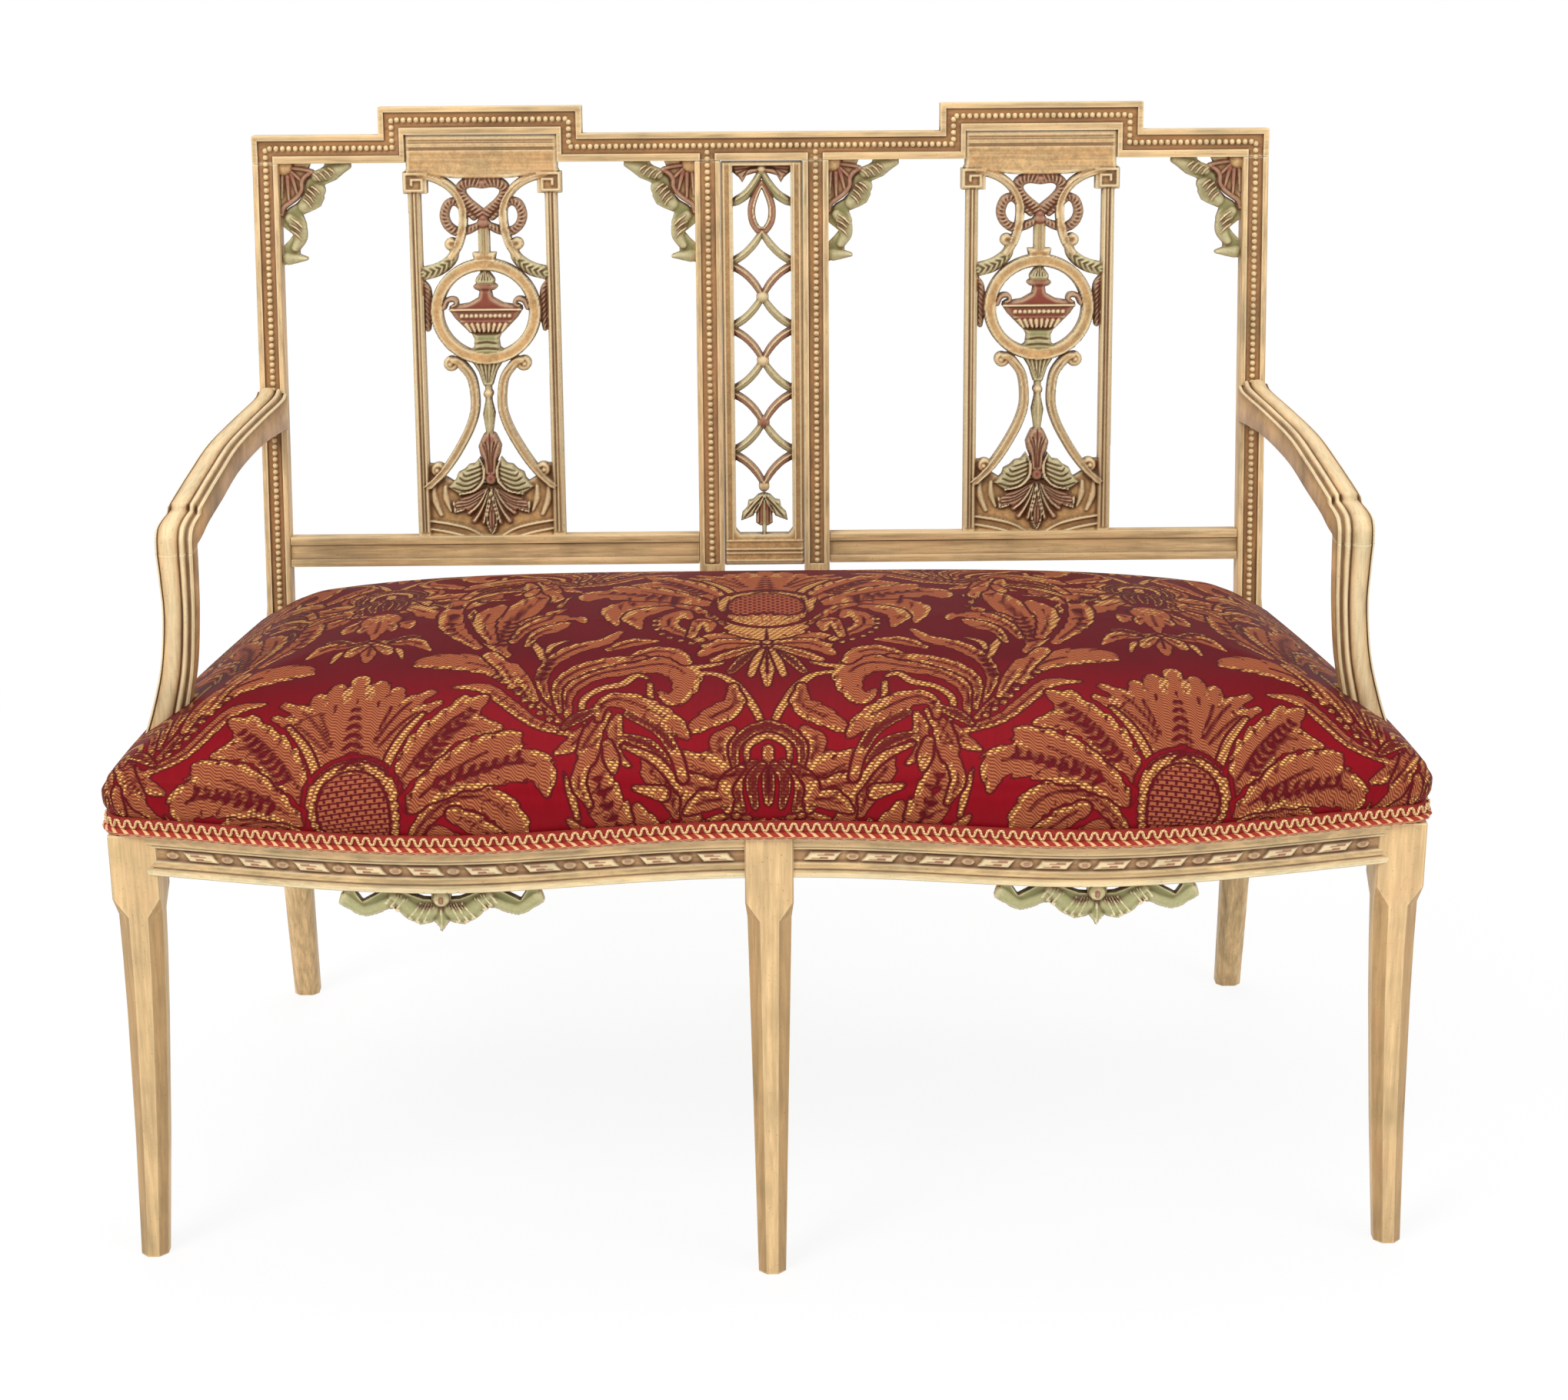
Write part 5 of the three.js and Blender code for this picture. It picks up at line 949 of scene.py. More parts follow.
class Weave:
    """One repeat of the damask: three layers of leaves that lap, the dark lines sunk in them and the gold.

    It is worked out on a grid of whole millimetres. Each field holds how far inside its edge a place lies.
    """

    def __init__(self):
        self.u, self.v = np.meshgrid(np.arange(0, REPEAT_HALF + 1), np.arange(0, 2 * REPEAT_DROP))
        self.layers = [np.full(self.u.shape, OUTSIDE) for _ in range(3)]
        self.sunk, self.gold, self.scales = (
            np.full(self.u.shape, value) for value in (OUTSIDE, 0.0, OUTSIDE)
        )

    def copies(self, points):
        """A stroke's places in the repeat: both sides of its axis, and half a repeat on and down."""
        p = np.asarray(points, float)
        for side in (-1, 1):
            for across, drop in ((0, 0), (REPEAT_HALF, REPEAT_DROP)):
                for turn in (-2, -1, 0, 1, 2):
                    q = p.copy()
                    q[:, 0] = across + side * p[:, 0]
                    q[:, 1] = p[:, 1] + drop + turn * 2 * REPEAT_DROP
                    yield q, side

    def reach(self, q, margin):
        """The part of the grid round a line, with a margin."""
        low, high = q[:, :2].min(0) - margin, q[:, :2].max(0) + margin
        rows, columns = self.u.shape
        i, k = (int(np.clip(v, 0, rows)) for v in (low[1], high[1]))
        j, m = (int(np.clip(u, 0, columns)) for u in (low[0], high[0]))
        return np.s_[i : k + 1, j : m + 1]

    def stroke(self, points, layer, gilt=1.0, slim=1.0):
        """A leaf along a line. A broad one gets lobes, a vein and barbs."""
        fine = spline(points, 5) if len(points) > 2 else np.asarray(points, float)
        fine = fine * (1, 1, slim)
        broad = np.clip((fine[:, 2].max() - 9) / 9, 0, 1) * (len(points) > 2)
        pitch = 8 + 0.26 * fine[:, 2].max()
        total = np.linalg.norm(np.diff(fine[:, :2], axis=0), axis=1).sum()
        for q, side in self.copies(fine):
            part = self.reach(q, q[:, 2].max() / 2 + 9)
            u, v = self.u[part], self.v[part]
            if not u.size:
                continue
            best, radius, along, offset = nearest(u, v, q[:, :2], q[:, 2] / 2)
            offset *= side
            across = np.abs(offset) / np.maximum(radius, 0.5)
            lobe = np.mod((along - across * radius * 0.7) / pitch, 1)
            d = radius * (1 - broad * 0.32 * (1 - np.sqrt(lobe))) - best
            mine = d > self.layers[layer][part] - 0.2
            self.layers[layer][part] = np.maximum(self.layers[layer][part], d)
            rim = np.clip(1.5 - np.maximum(d, 0) / (2.4 + radius * 0.16), 0, 1)
            lit = rim * ((offset > 0) * (1 - broad * (lobe < 0.25)) + 0.6 - 0.5 * broad) * gilt
            self.gold[part] = np.where(mine & (d > -1.5), lit, self.gold[part])
            if broad:
                vein = 0.9 * broad - np.abs(offset) - 2 * np.clip(
                    np.abs(along / total - 0.4) - 0.34, 0, 1
                ) * total
                barb = (0.05 - np.minimum(lobe, 1 - lobe)) * pitch - 6 * np.clip(0.55 - across, 0, 1)
                cut = np.maximum(vein, barb * (broad > 0.4))
                self.sunk[part] = np.where(mine & (d > 0), cut, self.sunk[part])

    def dots(self, points, radius, layer, gilt=1.0):
        """Round leaves at single points."""
        for x, y in points:
            self.stroke([(x, y, 2 * radius), (x + 0.01, y, 2 * radius)], layer, gilt)

    def sink(self, points, width):
        """A dark line cut into the leaves."""
        for q, _ in self.copies([(x, y, width) for x, y in points]):
            part = self.reach(q, width + 6)
            if self.u[part].size:
                d = width / 2 - line_distance(self.u[part], self.v[part], q[:, :2])
                self.sunk[part] = np.maximum(self.sunk[part], d)

    def at(self, field, u, v):
        """A field of the repeat, read at places on the cloth."""
        u, v = np.asarray(u, float), np.asarray(v, float)
        cell = np.floor(u / REPEAT_HALF)
        inner = u - cell * REPEAT_HALF
        odd = np.mod(cell, 2) == 1
        x, y = np.where(odd, REPEAT_HALF - inner, inner), np.mod(v, 2 * REPEAT_DROP)
        rows, columns = field.shape
        i, j = np.floor(y).astype(int) % rows, np.clip(np.floor(x).astype(int), 0, columns - 2)
        s, t = x - j, y - np.floor(y)
        k = (i + 1) % rows
        low, high = field[i, j] * (1 - s) + field[i, j + 1] * s, field[k, j] * (1 - s) + field[k, j + 1] * s
        return low * (1 - t) + high * t


def in_palmette(y):
    """Height on the cloth of a point of the palmette. The ring and what hangs from it sit a little lower."""
    return y - 15 * np.clip((-60 - y) / 90, 0, 1) + PALMETTE_TOP


def woven_repeat():
    """Draws one repeat."""
    w = Weave()
    for layer, *points in SCROLL:
        w.stroke(points, layer, slim=1.12)
    w.dots(PODS, 3.4, 2)
    for layer, *points in FLOWER:
        w.stroke([(x, y + FLOWER_AT, r) for x, y, r in points], layer, slim=1.22)
    w.dots([(x, y + FLOWER_AT) for x, y in BUDS], 4.2, 1, 0.3)
    for layer, *points in PALMETTE:
        slim = 1.28 if max(r for _, _, r in points) >= 16 else 1.0
        w.stroke([(x, in_palmette(y), r) for x, y, r in points], layer, slim=slim)
    w.dots([(x, in_palmette(y)) for x, y in PEARLS], 3.3, 1)
    middle = in_palmette(-149)

    def ring(wide, high, angles):
        return [(wide * math.cos(a), middle + high * math.sin(a)) for a in np.radians(angles)]

    for petal in zip(ring(40, 49, range(-80, 91, 10)), ring(40.1, 49.1, range(-80, 91, 10))):
        w.stroke([(x, y, 9) for x, y in petal], 2)
    w.sink(ring(48.5, 58.5, range(-90, 91, 9)), 5)
    w.sink(ring(35, 42, range(-90, 91, 9)), 1.6)
    for q, _ in w.copies([(0, middle, 0), (0.01, middle, 0)]):
        part = w.reach(q, 48)
        if w.u[part].size:
            d = (1 - np.hypot((w.u[part] - q[0, 0]) / 34.5, (w.v[part] - q[0, 1]) / 41.5)) * 34.5
            w.scales[part] = np.maximum(w.scales[part], d)
            w.layers[0][part] = np.maximum(w.layers[0][part], d)
            w.sunk[part] = np.where(d > 0, OUTSIDE, w.sunk[part])
    for x, y in SHELL:
        w.stroke([(4, in_palmette(-236), 5), (x, in_palmette(y), 11)], 2)
        w.scales = np.minimum(w.scales, -w.layers[2] + 1.0)
    for k in range(8):
        a = math.radians(22.5 + 45 * k)
        w.dots([(8.2 * math.cos(a), in_palmette(-243) + 8.2 * math.sin(a))], 3.4, 1)
    w.dots([(0, in_palmette(-243))], 4.2, 2)
    for start, end, pitch, first, last, home in SPRIGS:
        a, b = (np.array([x, in_palmette(y) if home == "palmette" else y]) for x, y in (start, end))
        way = (b - a) / np.linalg.norm(b - a)
        across = np.array([-way[1], way[0]])
        count = max(2, int(np.linalg.norm(b - a) / pitch))
        for k in range(count + 1):
            t = k / count
            long = first + (last - first) * t
            foot = a + (b - a) * t
            for side in (-1, 1):
                tip = foot + way * long * 0.55 + across * side * long * 0.8
                root = foot + across * side * 1.6
                w.sink([root, (root + tip) / 2], 3.6)
                w.sink([(root + tip) / 2, tip], 2.2)
    w.sink([(-28, FLOWER_AT + 15), (-50, FLOWER_AT + 15)], 1.8)
    return w


# Seat cover: rows of points from the rail up to the middle of the seat. Each key row has its distance in from
# the seat's edge, and its shares of the strip's height, of the crown's height and of the way to the spine.

COVER_RISE = [
    (0.6, 0, 0, 0), (-0.6, 1, 0, 0), (-5.4, 1, 0.09, 0), (-6.0, 1, 0.2, 0), (-0.6, 1, 0.32, 0),
    (0, 1, 0.43, 0.04), (0, 1, 0.55, 0.11), (0, 1, 0.71, 0.22), (0, 1, 0.87, 0.4), (0, 1, 0.96, 0.64),
    (0, 1, 1, 0.88),
]
COVER_CROWN, COVER_SETTLE, COVER_HEM = 128.0, 0.62, 0.7
REAR_INSET, REAR_BOW = 2.6, 2.0
REAR_RIM = SEAT_DEPTH - REAR_INSET
SPINE_HALF, SPINE_Y, SPINE_RUN = CORNER_X * 0.54, SEAT_DEPTH * 0.46, 300


def seat_outline(count):
    """The seat's edge, from the front's middle round by the right."""
    start = CORNER_X - CORNER_RADIUS
    x, a = np.linspace(0, start, 300), np.linspace(-math.pi / 2, 0, 24)[1:]
    middle = face_y(start) + CORNER_RADIUS
    y, t = np.linspace(middle, REAR_RIM - CORNER_RADIUS / 2, 200)[1:], np.linspace(0.985, 0, 300)
    half = np.vstack([
        np.stack([x, face_y(x)], -1),
        np.stack([start + CORNER_RADIUS * np.cos(a), middle + CORNER_RADIUS * np.sin(a)], -1),
        np.stack([side_x(y), y], -1),
        np.stack([t * side_x(REAR_RIM), SEAT_DEPTH - REAR_BOW * t * t], -1),
    ])
    return evenly(np.vstack([half, (half * [-1, 1])[::-1][1:-1]]), count, closed=True)


def inward(p):
    """Unit vectors that point into a closed outline from each of its points."""
    n = np.roll(p, 1, 0) - np.roll(p, -1, 0)
    n = np.stack([n[:, 1], -n[:, 0]], -1)
    return n / np.linalg.norm(n, axis=1, keepdims=True)


def seat_rows(count, rows, sunk=0.0, seam=6.0):
    """Rows of points over the seat, sunk under its skin. The last row meets itself at steps of the seam."""
    table = np.array(COVER_RISE)
    rise = TACK_TOP - RAIL_TOP
    level = np.diff(table[:, 3]) * SPINE_RUN + np.diff(table[:, 0])
    steep = np.diff(table[:, 1] * rise + table[:, 2] * (COVER_CROWN - rise))
    keys = np.r_[0, np.cumsum(np.hypot(level, steep))]
    q = eased(keys, table, np.linspace(0, keys[-1], rows))
    q = np.vstack([q, q[-1] * [1, 1, 1, 0] + [0, 0, 0, 0.96], q[-1] * [1, 1, 1, 0] + [0, 0, 0, 1]])
    edge = seat_outline(count)
    into = inward(edge)
    out = []
    for inset, strip, crown, share in q:
        own = np.where(edge[:, 1] > SEAT_DEPTH - CORNER_RADIUS, max(inset, REAR_INSET), inset) + sunk
        r = edge + into * own[:, None]
        goal = np.stack([np.clip(r[:, 0], -SPINE_HALF, SPINE_HALF), np.full(count, SPINE_Y)], -1)
        r = r + (goal - r) * share
        if share == 1 and seam:
            r[:, 0] = np.round(r[:, 0] / seam) * seam
        height = COVER_HEM + strip * rise + crown * (COVER_CROWN - rise) - sunk * min(1.0, crown * 8)
        z = np.full(count, RAIL_TOP + height)
        end = np.abs(r[:, 0] / CORNER_X) ** 4
        back = 0.35 + 0.65 * np.clip(r[:, 1] / SEAT_DEPTH, 0, None) ** 2
        z = z - np.clip(z - TACK_TOP, 0, None) * COVER_SETTLE * end * back
        out.append(np.column_stack([r, z]))
    return np.array(out)


def laid_flat(rows):
    """Cloth coordinates of rows of points, laid out from the middle outwards."""
    flat = np.zeros(rows.shape[:2] + (2,))
    flat[-1] = rows[-1, :, :2]
    for k in range(len(rows) - 2, -1, -1):
        d = rows[k] - rows[k + 1]
        length, level = np.linalg.norm(d, axis=1), np.linalg.norm(d[:, :2], axis=1)
        way = d[:, :2] / (level[:, None] + 1e-9)
        before = way
        if k + 2 < len(rows):
            before = flat[k + 1] - flat[k + 2]
            before = before / (np.linalg.norm(before, axis=1, keepdims=True) + 1e-9)
        level_enough = (level > 0.5 * length) & ((way * before).sum(1) > 0.6)
        way = np.where(level_enough[:, None], way, before) * 0.5 + before * 0.5
        way /= np.linalg.norm(way, axis=1, keepdims=True)
        flat[k] = flat[k + 1] + way * length[:, None]
    return flat


# Pieces


def camera():
    """The photograph's view."""
    yaw, pitch, roll = -0.009519, 0.320073, -0.006264
    ahead = Vector((-math.sin(yaw) * math.cos(pitch), math.cos(yaw) * math.cos(pitch), -math.sin(pitch)))
    level = Vector((math.cos(yaw), math.sin(yaw), 0))
    above = level.cross(ahead)
    right = math.cos(roll) * level + math.sin(roll) * above
    top = math.cos(roll) * above - math.sin(roll) * level
    data = bpy.data.cameras.new("Camera")
    data.lens, data.sensor_width, data.sensor_fit = 65.21, 36.0, "HORIZONTAL"
    data.clip_end = 50
    obj = placed("Camera", data)
    turn = Matrix((right, top, -ahead)).transposed().to_4x4()
    obj.matrix_world = Matrix.Translation(Vector((-7.81, -2509.15, 1260.66)) * MM) @ turn
    bpy.context.scene.camera = obj


def lamp(name, place, target, size, watts, colour=(1, 1, 1)):
    """A round lamp that faces its target."""
    data = bpy.data.lights.new(name, "AREA")
    data.shape, data.size, data.energy, data.color = "DISK", size, watts, colour
    obj = placed(name, data)
    way = (Vector(target) - Vector(place)).normalized()
    obj.rotation_euler = way.to_track_quat("-Z", "Y").to_euler()
    obj.location = place


# How bright the surroundings are to the settee. Seen directly, they are plain white.
SKY = 0.62


def make_stage(size, lamps):
    """The floor, the surroundings, the lamps and the camera."""
    camera()
    scene = bpy.context.scene
    scene.view_settings.view_transform = "Standard"
    world = bpy.data.worlds.new("Studio")
    world.use_nodes = True
    tree = world.node_tree
    back = tree.nodes["Background"]
    path, mix = tree.nodes.new("ShaderNodeLightPath"), tree.nodes.new("ShaderNodeMath")
    mix.operation = "MAXIMUM"
    tree.links.new(path.outputs["Is Camera Ray"], mix.inputs[0])
    tree.links.new(path.outputs["Is Transmission Ray"], mix.inputs[1])
    strength = tree.nodes.new("ShaderNodeMapRange")
    strength.inputs[3].default_value, strength.inputs[4].default_value = SKY, 1.0
    tree.links.new(mix.outputs[0], strength.inputs[0])
    tree.links.new(strength.outputs[0], back.inputs["Strength"])
    back.inputs["Color"].default_value = (1, 1, 1, 1)
    scene.world = world
    half = size / 2
    corners = [(-half, -half, 0), (half, -half, 0), (half, half, 0), (-half, half, 0)]
    piece("floor", corners, [[(0, 1, 2, 3)]], floor_finish("Floor"), smooth=False, drawn=False)
    lamp("Key", (-2.2, -2.6, 3.4), (0, 0, 0.4), 1.8, 95 * lamps, (1.0, 0.98, 0.95))
    lamp("Fill", (2.6, -2.2, 2.2), (0, 0, 0.5), 2.4, 38 * lamps)
    lamp("Top", (0, 0.6, 3.6), (0, 0, 0.4), 2.0, 40 * lamps)


# Geometry nodes


def node_tree(name, inputs):
    """A geometry node tree with named inputs, the names they are set by, and what makes its nodes."""
    tree = bpy.data.node_groups.new(name, "GeometryNodeTree")
    tree.interface.new_socket("Geometry", in_out="OUTPUT", socket_type="NodeSocketGeometry")
    tree.interface.new_socket("Geometry", in_out="INPUT", socket_type="NodeSocketGeometry")
    ids = {}
    for key, kind in inputs:
        ids[key] = tree.interface.new_socket(key, in_out="INPUT", socket_type=kind).identifier
    start = tree.nodes.new("NodeGroupInput")
    finish = tree.nodes.new("NodeGroupOutput")

    def make(kind, values, **settings):
        made = tree.nodes.new(kind)
        for key, value in settings.items():
            setattr(made, key, value)
        for key, value in values.items():
            if isinstance(value, bpy.types.NodeSocket):
                tree.links.new(value, made.inputs[key])
            else:
                made.inputs[key].default_value = value
        return made.outputs[0]

    return tree, ids, start, make, finish


def bead_tree():
    """Beads at even distances along every line of a mesh."""
    inputs = [("Pitch", "NodeSocketFloat"), ("Bead", "NodeSocketFloat"), ("Finish", "NodeSocketMaterial")]
    tree, ids, start, make, end = node_tree("Bead rows", inputs)
    line = make("GeometryNodeMeshToCurve", {"Mesh": start.outputs["Geometry"]})
    points = make(
        "GeometryNodeResampleCurve", {"Curve": line, "Length": start.outputs["Pitch"]}, mode="LENGTH"
    )
    ball = make("GeometryNodeMeshUVSphere", {"Segments": 8, "Rings": 5, "Radius": start.outputs["Bead"]})
    ball = make("GeometryNodeSetShadeSmooth", {"Geometry": ball})
    rows = make("GeometryNodeInstanceOnPoints", {"Points": points, "Instance": ball})
    real = make("GeometryNodeRealizeInstances", {"Geometry": rows})
    done = make("GeometryNodeSetMaterial", {"Geometry": real, "Material": start.outputs["Finish"]})
    tree.links.new(done, end.inputs[0])
    return tree, ids


def grown(name, points, lines, tree, ids, values, finish):
    """The mesh that a geometry node tree makes from lines of points."""
    mesh = bpy.data.meshes.new(name)
    p = np.asarray(points, float).copy()
    p[:, 1] += DRAWN_Y
    mesh.from_pydata([tuple(q) for q in p * MM], lines, [])
    obj = placed(name, mesh)
    modifier = obj.modifiers.new("Rows", "NODES")
    modifier.node_group = tree
    for key, value in values.items():
        modifier[ids[key]] = value
    applied(obj)
    if not obj.data.materials:
        obj.data.materials.append(finish)
    for p in obj.data.polygons:
        p.use_smooth = True
    return obj


# Members of the back


# How deep under a back member's face the faces of its channel lie, and how large a face counts as flat
CHANNEL_WALLS, FLAT_AREA = (0.8, 4.0), 14.0


def with_wear_and_painted_light(obj, channel=None):
    """Marks ridges as worn pale with a painted highlight, and concave bends as glazed with painted shade.
    Faces of a back member that lie in its channel take the channel's finish.
    """
    mesh = obj.data
    mesh.update()
    n = len(mesh.vertices)
    widest = np.zeros(n)
    mesh.vertices.foreach_get("co", co := np.zeros(n * 3, np.float32))
    mesh.vertex_normals.foreach_get("vector", vn := np.zeros(n * 3, np.float32))
    p, normal = co.reshape(-1, 3), vn.reshape(-1, 3)
    for f in mesh.polygons:
        for i in f.vertices:
            widest[i] = max(widest[i], f.area)
    turn = np.zeros(n)
    for e in mesh.edges:
        a, b = e.vertices
        d = p[b] - p[a]
        bend = float((normal[b] - normal[a]) @ d) / (np.linalg.norm(d) ** 2 + 1e-12)
        turn[a] += bend
        turn[b] += bend
    flat = widest > FLAT_AREA * MM * MM
    tint(mesh, "pale", np.where(flat, 0, np.clip(turn * MM * 1.2, 0, 0.8)))
    tint(mesh, "glaze", np.where(flat, 0.1, np.clip(-turn * MM * 1.5, 0, 1)))
    if channel:
        mesh.materials.append(channel)
        c, s = math.cos(RAKE), math.sin(RAKE)
        for f in mesh.polygons:
            m = f.center
            depth = (m.y / MM - DRAWN_Y - BACK_Y) * c - m.z / MM * s
            if CHANNEL_WALLS[0] < depth < CHANNEL_WALLS[1] and f.normal.y < -0.2:
                f.material_index = 1
    return obj


# Where the beads and the channels of the posts end, just over the seat, and where the beads of the stiles end
BEADS_END, CHANNEL_END, STILE_BEADS_END = 436.0, 428.0, 493


def channelled(obj, rise, place):
    """Cuts the bead channel into a member between two heights. place gives its middle's x at a height."""
    wide = (CHANNEL_TO - CHANNEL_FROM) / 2
    points = [
        (place(z) + across, y, up(z)) for z in rise for y in (-3, CHANNEL_DEPTH) for across in (-wide, wide)
    ]
    faces = [np.array([(0, 1, 3, 2), (4, 6, 7, 5), (0, 4, 5, 1), (2, 3, 7, 6), (0, 2, 6, 4), (1, 5, 7, 3)])]
    cutter = piece("channel_cutter", on_back(points), faces, obj.data.materials[0], smooth=False)
    outward(cutter)
    difference = obj.modifiers.new("Channel", "BOOLEAN")
    difference.object, difference.solver = cutter, "EXACT"
    applied(obj)
    bpy.data.objects.remove(cutter)
    with_sharp(obj)


def make_members(tones, bead, pitch):
    """The crest, the posts, the stiles and the lower rails, and the rows of beads in their channels."""
    # The channels lie a little inward of the members' middles
    inward = (CHANNEL_FROM + CHANNEL_TO - MEMBER) / 2
    for node in ("crest_rail", "lower_back_rail_left", "lower_back_rail_right"):
        obj = eased_copy(node, "old_" + node, tones["cream"], 1.1)
        if node == "crest_rail":
            for side in (-1, 1):
                for x in (STILE_X, post_x(CREST_BOTTOM)):
                    channelled(
                        obj, (CREST_BOTTOM - 2, CREST_TOP - CHANNEL_TO + 1), lambda z: side * (x - inward)
                    )
        settled(with_wear_and_painted_light(obj, tones["channel"] if node == "crest_rail" else None), node)
    for node in ("center_stile_left", "center_stile_right", "back_post_left", "back_post_right"):
        obj = eased_copy(node, "old_" + node, tones["post"], 1.2)
        side = -1 if "left" in node else 1
        if "post" in node:
            channelled(obj, (CHANNEL_END, POST_FLOOR + 3), lambda z: side * (post_x(z) - inward))
        settled(with_wear_and_painted_light(obj, tones["side"]), node)
    tree, ids = bead_tree()
    values = {"Pitch": pitch, "Bead": bead / 2, "Finish": tones["bead"]}
    middle, depth = (CHANNEL_FROM + CHANNEL_TO) / 2, CHANNEL_DEPTH - bead / MM * 0.26
    low, high = CREST_TOP - middle, STEP_TOP - middle
    inner, outer = STEP_X - STEP_HALF + middle, STEP_X + STEP_HALF - middle
    corner = POST_CREST + MEMBER / 2 - middle
    foot = post_x(BEADS_END) + corner - post_x(low)
    half = [(inner, low), (inner, high), (outer, high), (outer, low), (corner, low), (foot, BEADS_END)]
    chain = mirrored(half[::-1], -1) + half
    points = [(x, depth, up(z)) for x, z in chain]
    lines = [(k, k + 1) for k in range(len(chain) - 1)]
    for side in (-1, 1):
        points += [(side * STILE_X, depth, up(z)) for z in (low - pitch / MM, STILE_BEADS_END)]
        lines.append((len(points) - 2, len(points) - 1))
    settled(
        grown("back_beads", on_back(points), lines, tree, ids, values, tones["bead"])
    )


# Splats

SPLAT_REAR = 19.0


